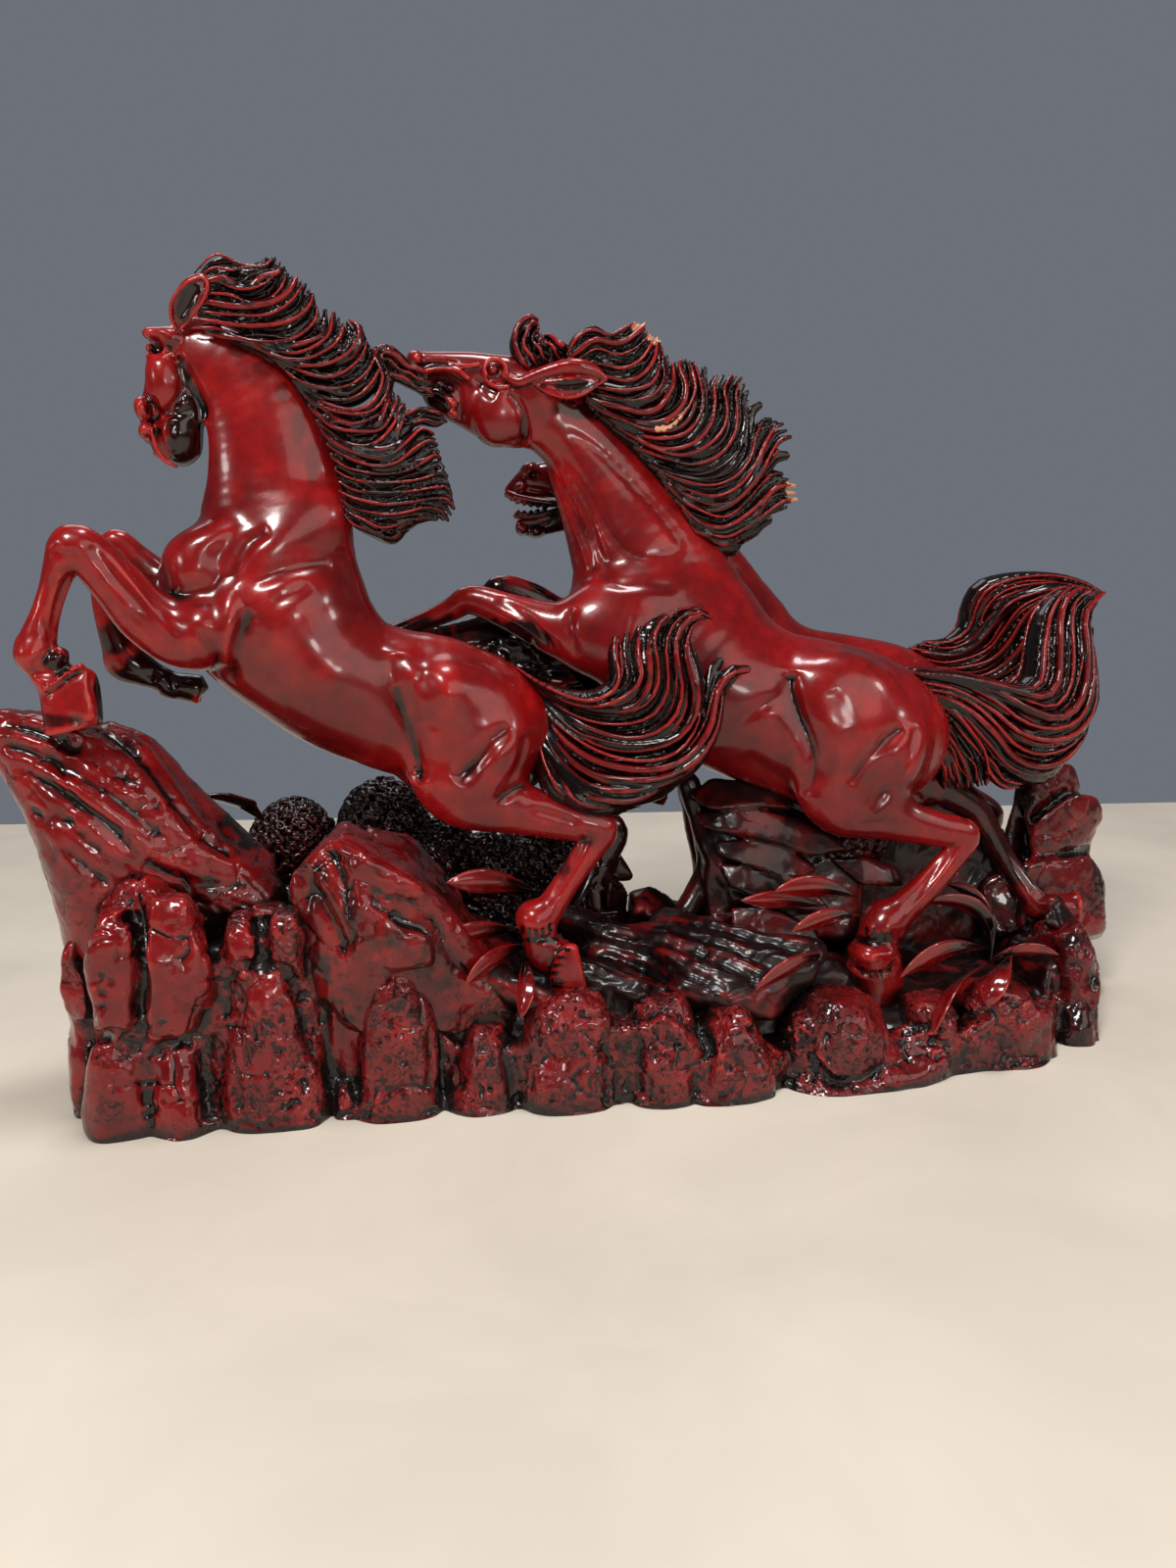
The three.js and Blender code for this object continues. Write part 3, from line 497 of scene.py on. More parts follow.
def closed_part(v, faces, attrs, nrm):
    """Closes a part cut out of a larger closed mesh."""
    v, faces, nrm, *vals = compact(v, faces, nrm, *attrs.values())
    attrs = dict(zip(attrs.keys(), vals))
    rims = boundary_caps(faces, len(v))
    extra_v, extra_t = [], []
    for loop in rims:
        c = v[loop].mean(0)
        ci = len(v) + len(extra_v)
        extra_v.append(c)
        for i in range(len(loop)):
            extra_t.append([loop[(i + 1) % len(loop)], loop[i], ci])
    if extra_v:
        v = np.vstack([v, extra_v])
        nrm = np.vstack([nrm, np.tile([0, 0, 1.0], (len(extra_v), 1))])
        faces = Faces(faces.q, np.vstack([faces.t, extra_t]) if len(faces.t) else np.array(extra_t))
        attrs = {k: np.concatenate([a, np.zeros(len(extra_v))]) for k, a in attrs.items()}
    return v, faces, attrs, nrm


# ---- how enclosed each place is ------------------------------------------------------------------
class Crowd:
    """The share of nearby space that is solid, on a coarse grid over the whole group: high in the undercuts, under
    bellies and between parts. It paints shade there, mixed with the black wash that sits in those recesses."""

    H = 2.4

    def __init__(self):
        self.lo = np.array([-222.0, -92.0, -18.0])
        self.n = np.array([200, 78, 136])
        self.g = np.zeros(self.n, np.float32)

    def add(self, F):
        step = max(1, int(round(1.2 / F.h)))
        d = F.d[::step, ::step, ::step]
        idx = np.argwhere(d < 0)
        w = (F.h * step / self.H) ** 3
        p = F.lo + idx * (F.h * step)
        i = np.floor((p - self.lo) / self.H).astype(int)
        ok = ((i >= 0) & (i < self.n)).all(1)
        i = i[ok]
        flat = np.ravel_multi_index(i.T, self.n)
        add = np.bincount(flat, minlength=self.g.size).reshape(self.n) * w
        self.g = np.maximum(self.g, np.minimum(add, 1).astype(np.float32))

    def blur(self, sigma):
        g = self.g.copy()
        zz = self.lo[2] + self.H * (np.arange(self.n[2]) + 0.5)
        g[:, :, zz < 0] = 1.0
        s = sigma / self.H
        k = np.exp(-0.5 * (np.arange(-int(3 * s) - 1, int(3 * s) + 2) / s) ** 2)
        k /= k.sum()
        r = len(k) // 2
        for ax in range(3):
            pad = [(0, 0)] * 3
            pad[ax] = (r, r)
            G = np.pad(g, pad, mode="edge")
            out = np.zeros_like(g)
            for j, wt in enumerate(k):
                sl = [slice(None)] * 3
                sl[ax] = slice(j, j + g.shape[ax])
                out += G[tuple(sl)] * wt
            g = out
        return g

    def sample(self, g, p):
        q = (p - self.lo) / self.H - 0.5
        i = np.floor(q).astype(int)
        f = q - i
        i = np.clip(i, 0, self.n - 2)
        out = 0
        for dx in (0, 1):
            for dy in (0, 1):
                for dz in (0, 1):
                    out = out + g[i[:, 0] + dx, i[:, 1] + dy, i[:, 2] + dz] * (f[:, 0] if dx else 1 - f[:, 0]) * (f[:, 1] if dy else 1 - f[:, 1]) * (f[:, 2] if dz else 1 - f[:, 2])
        return out


CROWD = Crowd()
# ---- the horses' skeletons: (u, v, y mm, radius px, flatness) --------------------------------
LIMBS = {
    'h1_torso': [(528,748,-17,42,.8), (508,748,-17,66,.8), (474,742,-18,80,.8), (440,724,-19,76,.82), (400,714,-20,73,.84), (355,697,-20,73,.84), (310,662,-21,80,.8), (268,620,-21,86,.74), (222,596,-21,52,.7)],
    'h1_neck': [(285,600,-21,78,.62), (282,545,-21,72,.6), (280,490,-21,65,.55), (270,440,-21,58,.55), (250,400,-21,50,.55), (222,374,-21,42,.58), (200,362,-21,32,.6)],
    'h1_head': [(198,345,-21,24,.7), (180,360,-20,29,.72), (174,388,-18,28,.72), (171,415,-16,28,.7), (171,440,-14,27,.7), (174,458,-13,19,.7)],
    'h1_mane': [(212,312,-22,26,.5), (245,312,-22,36,.5), (285,326,-22,46,.45), (322,362,-22,50,.42), (352,405,-22,54,.4), (385,450,-22,60,.4), (405,500,-22,52,.4), (400,535,-22,22,.4)],
    'h1_tail': [(530,692,-18,13,.9), (560,735,-26,40,.5), (600,768,-32,50,.42), (648,762,-34,54,.4), (690,722,-34,52,.4), (705,672,-33,46,.4), (722,640,-32,22,.45)],
    'h1_lf': [(228,640,-34,34,.7), (190,648,-36,35,.7), (150,629,-38,30,.75), (120,597,-39,26,.8), (95,570,-40,24,.85), (74,558,-41,23,.9), (62,578,-41,17,.9), (54,602,-41,14,.9), (46,628,-41,14.5,.9), (39,652,-41,18,.9), (37,665,-41,20,.9), (48,685,-41,16,.9), (60,698,-41,22,.9), (70,728,-41,28,.9)],
    'h1_rf': [(210,640,-6,30,.7), (170,602,-5,23,.75), (140,572,-4,16,.8), (118,553,-4,13,.9), (108,575,-4,14,.9), (108,610,-4,14,.9), (116,645,-4,15,.9), (126,668,-3,17,.9), (142,682,-3,17,.9), (162,692,-3,13,.9), (176,700,-3,14,.9), (196,703,-3,15,.9)],
    'h1_lh': [(470,738,-33,60,.5), (462,785,-34,44,.55), (475,812,-34,34,.6), (530,825,-33,27,.65), (578,838,-33,20,.7), (612,846,-33,18,.8), (600,868,-33,15,.85), (580,898,-34,13.5,.9), (562,925,-35,15,.9), (550,943,-36,19,.9), (556,962,-37,15,.9), (570,975,-37,17,.9), (580,1004,-38,23,.9)],
    'h1_rh': [(480,748,-3,54,.45), (480,800,-2,38,.5), (515,822,-2,28,.6), (570,832,-2,21,.7), (622,846,-2,17,.8), (618,872,-2,14,.85), (606,900,-2,12.5,.9), (594,928,-3,14,.9), (588,944,-4,17,.9), (596,962,-5,14,.9), (606,975,-5,17,.9), (618,1000,-6,22,.9)],
    'h2_torso': [(925,752,-3,40,.8), (905,752,-3,64,.8), (868,748,-3,84,.8), (825,736,-2,84,.82), (780,722,0,80,.84), (740,702,3,82,.84), (700,672,6,84,.8), (660,640,8,74,.72), (630,622,9,46,.7)],
    'h2_neck': [(690,640,8,80,.6), (662,585,9,72,.56), (637,537,10,58,.52), (612,490,10,46,.5), (590,452,10,37,.52), (560,424,10,34,.55)],
    'h2_head': [(566,415,10,26,.62), (540,412,10,38,.62), (502,406,10,43,.6), (470,397,10,36,.6), (446,386,10,27,.62), (430,378,10,18,.65)],
    'h2_mane': [(560,372,8,24,.5), (600,375,7,33,.5), (645,378,7,46,.45), (685,400,7,52,.42), (715,435,7,60,.4), (738,475,7,60,.4), (752,515,7,46,.4), (745,545,8,18,.4)],
    'h2_tail': [(932,705,-4,18,.8), (975,722,-5,34,.6), (1010,745,-5,42,.5), (1052,758,-3,36,.5), (1085,738,0,30,.5), (1102,690,4,22,.6), (1112,645,8,16,.7), (1124,612,12,7,.8)],
    'h2_lf': [(640,660,-10,44,.6), (600,650,-7,34,.65), (560,640,-3,26,.7), (520,625,2,19,.75), (482,612,6,15,.85), (462,621,8,12,.9), (438,632,9,10,.9), (408,645,10,10,.9), (388,655,10,14,.9), (376,668,10,12,.9), (370,680,10,15,.9), (362,698,10,19,.9)],
    'h2_rf': [(625,655,22,38,.6), (580,640,22,24,.7), (540,612,22,18,.75), (508,602,22,14,.85), (500,625,22,11,.9), (508,655,22,10,.9), (520,682,22,14,.9), (538,695,22,11,.9), (552,700,22,14,.9), (570,706,22,16,.9)],
    'h2_lh': [(862,745,-20,64,.5), (852,792,-22,46,.55), (862,822,-23,32,.6), (908,834,-23,24,.65), (955,846,-23,18,.7), (984,852,-23,16,.8), (972,874,-23,14,.85), (945,905,-24,15,.9), (918,930,-25,17,.9), (902,948,-26,22,.9), (893,966,-26,22,.9), (890,985,-27,28,.9), (890,1005,-27,29,.9)],
    'h2_rh': [(890,752,10,56,.5), (915,790,11,38,.55), (955,800,11,24,.6), (992,822,10,15,.8), (1008,845,9,12,.85), (1028,880,7,11,.9), (1048,910,3,12,.9), (1060,925,1,15,.9), (1074,926,0,13,.9), (1088,926,-1,18,.9)],
    'h3_torso': [(958,742,41,36,.7), (936,742,41,58,.7), (898,738,41,80,.68), (855,722,42,74,.7), (810,708,43,68,.7), (768,690,43,68,.7), (728,662,44,72,.68), (695,640,45,58,.64), (665,628,45,36,.64)],
    'h3_neck': [(735,650,45,66,.56), (708,598,45,56,.5), (682,556,44,47,.5), (660,526,43,40,.5), (640,508,42,33,.52)],
    'h3_head': [(645,500,42,26,.62), (618,497,41,34,.62), (588,500,40,35,.6), (560,507,39,31,.6), (540,511,38,26,.62), (528,513,38,14,.65)],
    'h3_mane': [(640,462,42,14,.5), (662,474,42,26,.5), (686,500,42,34,.45), (706,530,42,38,.42), (722,562,42,38,.42), (740,592,42,26,.42), (750,612,42,12,.42)],
    'h3_tail': [(958,690,41,16,.8), (985,668,40,26,.6), (1015,640,38,32,.5), (1050,622,36,28,.5), (1085,612,33,20,.5), (1112,604,30,11,.6), (1125,604,28,6,.7)],
    'h3_lf': [(688,668,30,38,.55), (650,690,30,28,.65), (612,712,29,20,.75), (582,728,29,15,.85), (590,752,29,12,.9), (606,778,29,11,.9), (622,798,29,14,.9), (640,802,29,11,.9), (654,804,29,14,.9), (670,806,29,16,.9)],
    'h3_rf': [(690,668,56,38,.55), (650,668,57,26,.65), (608,668,58,19,.75), (572,668,58,14.5,.85), (552,690,58,12,.9), (532,712,58,11,.9), (516,730,58,14,.9), (508,748,58,12,.9), (502,758,58,15,.9), (494,772,58,18,.9)],
    'h3_lh': [(900,740,30,56,.45), (915,785,30,38,.55), (948,812,30,24,.65), (978,830,30,16,.8), (985,850,30,13,.85), (978,880,30,11,.9), (972,905,30,11,.9), (968,925,30,14,.9), (960,945,30,12,.9), (954,958,30,16,.9), (946,978,30,21,.9)],
    'h3_rh': [(905,745,54,54,.45), (930,790,55,36,.55), (972,815,55,23,.65), (1008,832,55,16,.8), (1000,852,55,13,.85), (984,880,55,11,.9), (968,905,55,12,.9), (958,922,55,15,.9), (962,942,55,12,.9), (968,954,55,16,.9), (972,974,55,21,.9)],
}
for _k, _v0 in (('h3_lh', 830), ('h3_rh', 832)):
    LIMBS[_k] = [(u, (_v0 + (v - _v0) * .7 if v > _v0 else v), y, r, f) for (u, v, y, r, f) in LIMBS[_k]]

# ---- horses ---------------------------------------------------------------------------------
def unit(v):
    v = np.asarray(v, float)
    return v / (np.linalg.norm(v) + 1e-12)


def hoof(F, top, bottom, r0, r1, flat, k):
    """A hoof: a cone that widens to a flat sole."""
    top, bottom = np.asarray(top, float), np.asarray(bottom, float)
    d = unit(bottom - top)
    L = np.linalg.norm(bottom - top)
    m = r1 * 1.6 + 3
    w = F.window(np.minimum(top, bottom) - m, np.maximum(top, bottom) + m)
    if w is None:
        return
    sl, X, Y, Z = w
    x, y, z = X - np.float32(top[0]), Y - np.float32(top[1]), Z - np.float32(top[2])
    t = x * d[0] + y * d[1] + z * d[2]
    q = x * x + y * y / flat ** 2 + z * z
    tt = d[1] * (t)
    rad = np.sqrt(np.maximum((x - t * d[0]) ** 2 + ((y - tt) / flat) ** 2 + (z - t * d[2]) ** 2, 0))
    f = np.clip(t / L, 0, 1)
    r = r0 + (r1 - r0) * f
    side = (rad - r) * (L / math.hypot(L, r1 - r0))
    dd = np.maximum(np.maximum(side, t - L), -t - r0 * 0.4)
    a = np.maximum(side, t - L)
    h = np.maximum(1.2 - np.abs(side - (t - L)), 0) / 1.2
    dd = np.maximum(np.maximum(side, t - L) + h * h * 0.3, -t - r0 * 0.5)
    F.put(sl, dd.astype(np.float32), k)


def blob(F, u, v, y, ru, rv, ry, ang=0.0, k=5.0, op="add"):
    """An ellipsoid over a pixel: half sizes ru along ang (degrees, clockwise in the picture), rv across, ry in mm along Y."""
    p, s = at(u, v, y)
    a = math.radians(ang)
    A = np.array([math.cos(a), 0, -math.sin(a)]); B = np.array([math.sin(a), 0, math.cos(a)])
    F.ball(p, (ru * s, ry, rv * s), k, op, rot=np.array([A, [0, 1, 0], B]))


def surface_line(F, rows, width, depth, side=-1):
    """A groove (or, with a negative depth, a ridge) pressed into the side of a body along pixels (u, v).
    Each point is found by walking in from side*Y until the field is solid."""
    P = []
    for u, v, y in rows:
        P.append(land(F, u, v, y, side))
    P = [p for p in P if p is not None]
    if len(P) > 1:
        F.groove(smooth_line(np.array(P), 1.5), width, depth)


def land(F, u, v, y, side=-1, reach=45.0):
    """Where the line of sight through (u, v) meets the solid near depth y, coming from side."""
    ys = np.arange(y + side * reach, y - side * reach, -side * F.h * 0.7)
    pp = np.array([at(u, v, yy)[0] for yy in ys])
    i = np.round((pp - F.lo) / F.h).astype(int)
    ok = ((i >= 0) & (i < F.n)).all(1)
    i = np.clip(i, 0, F.n - 1)
    d = np.where(ok, F.d[i[:, 0], i[:, 1], i[:, 2]], 9)
    hit = np.nonzero(d < 0)[0]
    if len(hit) == 0:
        return None
    return pp[hit[0]]



def crease(F, rows, width, depth, side=-1):
    """A groove whose every few pixels are landed on the surface, so it keeps to it over bulges."""
    S = smooth_line(np.array(rows, float), 3.0)
    P = [land(F, u, v, y, side) for u, v, y in S]
    P = np.array([p for p in P if p is not None])
    if len(P) < 4:
        return
    y = P[:, 1].copy()
    for _ in range(3):
        y[1:-1] = (y[:-2] + y[1:-1] * 2 + y[2:]) / 4
    P[:, 1] = y
    F.groove(P, width, depth)


H_BODY = 0.85


def leg(F, key, k):
    rows = LIMBS[key]
    P, R, K = chain(rows)
    top, bottom = P[-2], P[-1]
    hoof_len = 0.62 * R[-1] + np.linalg.norm(bottom - top)
    d = unit(bottom - top)
    Q = smooth_line(np.column_stack([P[:-1], R[:-1], K[:-1]]), 2.5)
    Q[:, 3] = np.maximum(Q[:, 3], 1.0)
    F.tube(Q[:, :3], Q[:, 3], np.clip(Q[:, 4], .3, 1), k)
    t0 = top - d * R[-2] * 0.25
    b0 = bottom + d * R[-1] * 0.62
    hoof(F, t0, b0, R[-2] * 0.86, R[-1] * 1.02, 0.9, 0.8)
    return P, R


def build_horse(h, extras, box=None, grid=None):
    P, R, K = chain([r for key in ("torso", "neck", "head", "lf", "rf", "lh", "rh") for r in LIMBS[h + "_" + key]])
    lo = (P - R[:, None]).min(0) - 16
    hi = (P + R[:, None]).max(0) + 16
    if box is not None:
        lo, hi = np.maximum(lo, box[0]), np.minimum(hi, box[1])
    F = Field(lo, hi, grid or H_BODY)
    Q, RR, KK = smooth_chain(LIMBS[h + "_torso"], 5.0)
    F.tube(Q, RR, KK, 0.0)
    Q, RR, KK = smooth_chain(LIMBS[h + "_neck"], 5.0)
    F.tube(Q, RR, KK, 11.0)
    for key in ("lf", "rf", "lh", "rh"):
        leg(F, h + "_" + key, 5.0)
    FEET_OF[h](F)
    HEAD_OF[h](F)
    extras(F)
    return F


class Face:
    """Features of a head given in the picture (u, v px) and as a depth to the near side of its
    middle plane (dy mm), made on both sides of that plane."""

    def __init__(self, F, y0, sides=(-1, 1)):
        self.F, self.y0, self.sides = F, y0, sides

    def each(self, dy, sides=None):
        for s in (self.sides if sides is None else sides):
            yield s, self.y0 + s * dy

    def place(self, u, v, dy, s):
        p, m = at(u, v, self.y0 - abs(dy) if s < 0 or len(self.sides) > 1 else self.y0 + dy)
        p = np.array(p); p[1] = self.y0 + s * dy
        return p, m

    def ball(self, u, v, dy, ru, rv, ry, ang=0.0, k=1.0, op="add", sides=None):
        a = math.radians(ang)
        A = np.array([math.cos(a), 0, -math.sin(a)]); B = np.array([math.sin(a), 0, math.cos(a)])
        for s in ((1,) if dy == 0 else (self.sides if sides is None else sides)):
            p, m = self.place(u, v, dy, s)
            self.F.ball(p, (ru * m, ry, rv * m), k, op, rot=np.array([A, [0, 1, 0], B]))

    def tube(self, rows, k=0.6, op="add", K=1.0, sides=None, step=1.6):
        flat_ = all(r[2] == 0 for r in rows)
        for s in ((1,) if flat_ else (self.sides if sides is None else sides)):
            P, R = [], []
            for r in rows:
                p, m = self.place(r[0], r[1], r[2], s)
                P.append(p); R.append(r[3] * m)
            Q = smooth_line(np.column_stack([P, R]), step)
            self.F.tube(Q[:, :3], np.maximum(Q[:, 3], 0.25), np.full(len(Q), K), k, op)

    def line(self, rows, width, depth, dy=6.0, sides=None):
        for s in (self.sides if sides is None else sides):
            surface_line(self.F, [(u, v, self.y0 + s * dy) for u, v in rows], width, depth, s)

    def ring(self, u, v, dy, ru, rv, r, a0=0, a1=360, k=0.4, n=14, sides=None):
        rows = []
        for a in np.linspace(a0, a1, n):
            rows.append((u + ru * math.cos(math.radians(a)), v + rv * math.sin(math.radians(a)), dy, r))
        self.tube(rows, k, sides=sides, step=0.9)


def head_h1(F):
    """The front horse's head: tucked down, seen from a little behind its cheek."""
    f = Face(F, -20.0)
    # skull, face and the big round jaw
    f.tube([(198, 350, 0, 17), (182, 358, 0, 17), (168, 376, 0, 17), (163, 398, 0, 15), (158, 418, 0, 14), (158, 440, 0, 13), (166, 456, 0, 12)], 4.0, K=0.85)
    f.ball(184, 444, 0, 22, 31, 9.0, 0, 3.0)
    f.ball(188, 418, 0, 19, 18, 8.5, 0, 4.0)
    f.ball(192, 386, 0, 14, 26, 8.0, 0, 4.0)
    # cheek plate
    f.ball(168, 389, 5.4, 18.5, 33, 6.0, -4, 0.9)
    f.ball(174, 396, 4.6, 12, 22, 5.6, 14, 1.2)
    f.line([(182, 361), (187, 374), (187.5, 389), (184, 403), (177, 414), (168, 422), (159, 415), (153, 403)], 1.2, 2.2)
    f.tube([(209.5, 436, 0, 3.0), (211, 446, 0, 4.6), (211, 462, 0, 5.0), (210, 478, 0, 4.8), (208.5, 495, 0, 4.2), (206, 512, 0, 2.0)], 0.5, "cut", K=9.0)
    # throat
    f.line([(185, 370), (192, 386), (199, 400), (206, 414), (209, 430), (209, 452), (206, 470)], 2.2, 2.6)
    # brow, temple, eye
    f.ball(175, 346, 5.0, 14, 11, 4.0, 20, 2.0)
    f.ball(157, 341, 5.0, 11.5, 6.5, 4.2, 4, 0.6)
    f.ball(166, 341, 5.0, 9, 6, 3.6, 0, 1.5)
    f.ball(159, 355, 8.5, 8, 5.5, 3.2, -20, 0.5, "cut")
    f.ball(153.5, 355.5, 5.8, 4.6, 5.0, 2.6, 0, 0.3)
    f.line([(149, 364), (157, 365), (167, 361), (176, 358)], 1.0, 1.0)
    f.tube([(150, 363, 7.2, 2), (158, 366.5, 8.2, 2.4), (168, 364, 9.0, 2.2), (177, 360, 9, 1.6)], 0.8)
    # nostril
    f.ball(146.5, 418, 3.0, 8.5, 13, 5.2, -14, 0.8)
    f.ball(151.5, 418, 8.2, 3.6, 7.5, 2.8, -10, 0.5, "cut")
    f.line([(156, 404), (160, 414), (160, 426), (154, 431)], 1.0, 1.3)
    f.line([(139, 427), (147, 431), (156, 430)], 1.1, 1.8)
    # lips and chin
    f.ball(150.5, 440, 2.8, 8.5, 9.5, 5.0, 10, 0.6)
    f.ball(153, 450, 6.6, 2.6, 3.6, 2.0, 0, 0.3, "cut")
    f.line([(143, 447), (150, 452), (156, 462)], 1.0, 1.3)
    f.tube([(154, 437, 6.6, 2.2), (157, 449, 6.9, 2.2), (161, 460, 7.2, 2.3), (168, 470, 7.2, 2.4), (180, 476, 6.5, 1.8)], 0.6)
    f.line([(161, 436), (163, 448), (167, 459), (174, 468)], 1.3, 1.8)
    f.line([(176, 430), (174, 446), (177, 462)], 1.5, 1.0)
    f.line([(170, 424), (184, 421), (198, 416)], 1.6, 1.2)
    # ear: a hollow leaf that stands in front of the forelock
    f.tube([(181, 334, 7.5, 4.5), (185, 322, 9.0, 9), (190, 310, 11.0, 13), (196, 298, 12.5, 13.5), (202, 289, 12.5, 9), (206, 284, 12.0, 5)], 0.8, K=0.45)
    f.tube([(181, 326, 10.8, 3.5), (186, 316, 12.8, 7), (192, 305, 14.6, 8.5), (198, 296, 15.4, 7.5), (203, 290, 15.2, 4)], 0.4, "cut", K=0.7)
    f.tube([(179, 335, 9.0, 2), (174, 322, 10.4, 2), (175, 309, 12.2, 2.1), (181, 298, 13.6, 2.2), (190, 289, 14.4, 2.2), (200, 284, 14.4, 2.2), (208, 284, 14.2, 2.2), (212, 292, 14.0, 2.2), (208, 304, 13.4, 2.1),
            (201, 316, 12.2, 2), (192, 327, 10.4, 2), (184, 336, 9.0, 2)], 0.3)


def head_h2(F):
    """The middle horse's head, stretched out level, with its mouth shut on a lock of hair."""
    f = Face(F, 10.0)
    # face and jaw
    f.tube([(520, 384, 0, 20), (500, 382, 0, 20), (480, 379, 0, 19), (460, 377, 0, 17.5), (440, 375, 0, 15.5), (427, 371, 0, 12)], 5.0, K=0.78)
    f.tube([(540, 415, 0, 28), (520, 424, 0, 31), (502, 420, 0, 29), (482, 412, 0, 26), (464, 407, 0, 22), (450, 404, 0, 17), (443, 402, 0, 12)], 5.0, K=0.60)
    f.ball(548, 400, 0, 26, 24, 8.5, 0, 6.0)
    f.ball(509, 421, 4.2, 28, 32, 4.6, 6, 1.6)
    # nose end, nostril
    f.ball(423, 366, 0, 7.5, 8.2, 5.0, 0, 1.0)
    f.ball(425, 367, 2.6, 6, 7, 3.4, 0, 0.8)
    f.ball(424.5, 377, 5.4, 4.0, 2.8, 2.2, 0, 0.3, "cut")
    f.line([(423, 377), (431, 373.5), (442, 370.5), (455, 370), (468, 371.5)], 0.9, 1.6)
    f.tube([(426, 383, 4.6, 2.4), (440, 377.5, 5.4, 3.0), (455, 376.5, 6.2, 3.0), (468, 379, 7.0, 3.0), (477, 386, 7.4, 2.6)], 0.7)
    # mouth: a dark slot that turns down at the corner, lips above and below
    f.line([(430, 387), (442, 384.5), (455, 386), (465, 391), (469, 400), (470, 414), (471, 430)], 1.2, 2.6)
    f.ball(453, 394, 7.2, 12, 4.4, 2.4, 14, 0.4, "cut")
    f.ball(449, 393, 4.4, 6, 4.2, 2.4, 10, 0.4)
    f.ball(459, 397, 4.6, 5, 4.2, 2.6, 10, 0.4)
    f.ball(461, 412, 5.4, 6.5, 5.5, 2.2, 60, 0.5)
    f.ball(462, 422, 5.2, 6, 4.5, 2.0, 30, 0.5)
    f.tube([(436, 403, 3.6, 2.6), (443, 398.5, 4.6, 3.0), (452, 402, 5.4, 3.0), (459, 409, 6.0, 2.2)], 0.6)
    f.line([(438, 409), (448, 411), (456, 418)], 1.0, 1.2)
    # eye in its ring
    f.ball(504, 377, 8.6, 9.5, 8.5, 2.6, 0, 0.5, "cut")
    f.ball(502.5, 377.5, 5.0, 6.0, 6.0, 2.5, 0, 0.2)
    f.ring(505, 377, 7.4, 11, 10.5, 2.6, 150, 395)
    f.tube([(494, 386, 7.0, 1.8), (500, 392, 7.4, 2.6), (508, 396, 7.6, 3.0), (518, 394.5, 7.6, 2.4)], 0.5)
    f.line([(492, 388), (498, 396), (508, 401)], 0.9, 1.1)
    f.line([(486, 384), (491, 394), (498, 402), (505, 407)], 1.2, 0.9)
    f.tube([(488, 372, 6.6, 2.2), (474, 374, 6.4, 2.6), (458, 371, 5.6, 2.2)], 1.2)
    # the edge of the cheek
    f.line([(519, 401), (526, 409), (532, 420), (536, 434), (535, 448), (527, 456)], 1.6, 2.6)
    # ear: a long leaf laid back over the mane, hollow below
    f.tube([(518, 384, 7.0, 5), (530, 389.5, 8.2, 5.5), (545, 384, 9.4, 6), (562, 378, 10.6, 7), (580, 374, 11.8, 8), (596, 375, 12.6, 8), (608, 380, 12.8, 6), (619, 387, 12.6, 1.8)], 0.6, K=0.72)
    f.tube([(546, 391, 8.8, 4.5), (560, 394, 10.0, 8), (577, 394, 11.2, 10), (593, 391.5, 12.0, 8.5), (607, 388, 12.4, 4.6)], 0.4, K=0.5)
    f.tube([(554, 391, 11.6, 2.6), (566, 392.5, 12.9, 4.6), (579, 392.5, 13.9, 5.6), (593, 391, 14.3, 4.8), (606, 388.5, 14.0, 2.2)], 0.3, "cut", K=0.85)
    f.tube([(548, 394, 9.8, 1.8), (562, 401.5, 11.0, 2.1), (579, 405.5, 12.0, 2.2), (595, 402, 12.8, 2.1), (609, 393, 13.0, 1.8), (618, 387.5, 12.8, 1.2)], 0.3)
    f.line([(570, 374), (584, 370), (596, 372)], 1.4, -0.4)


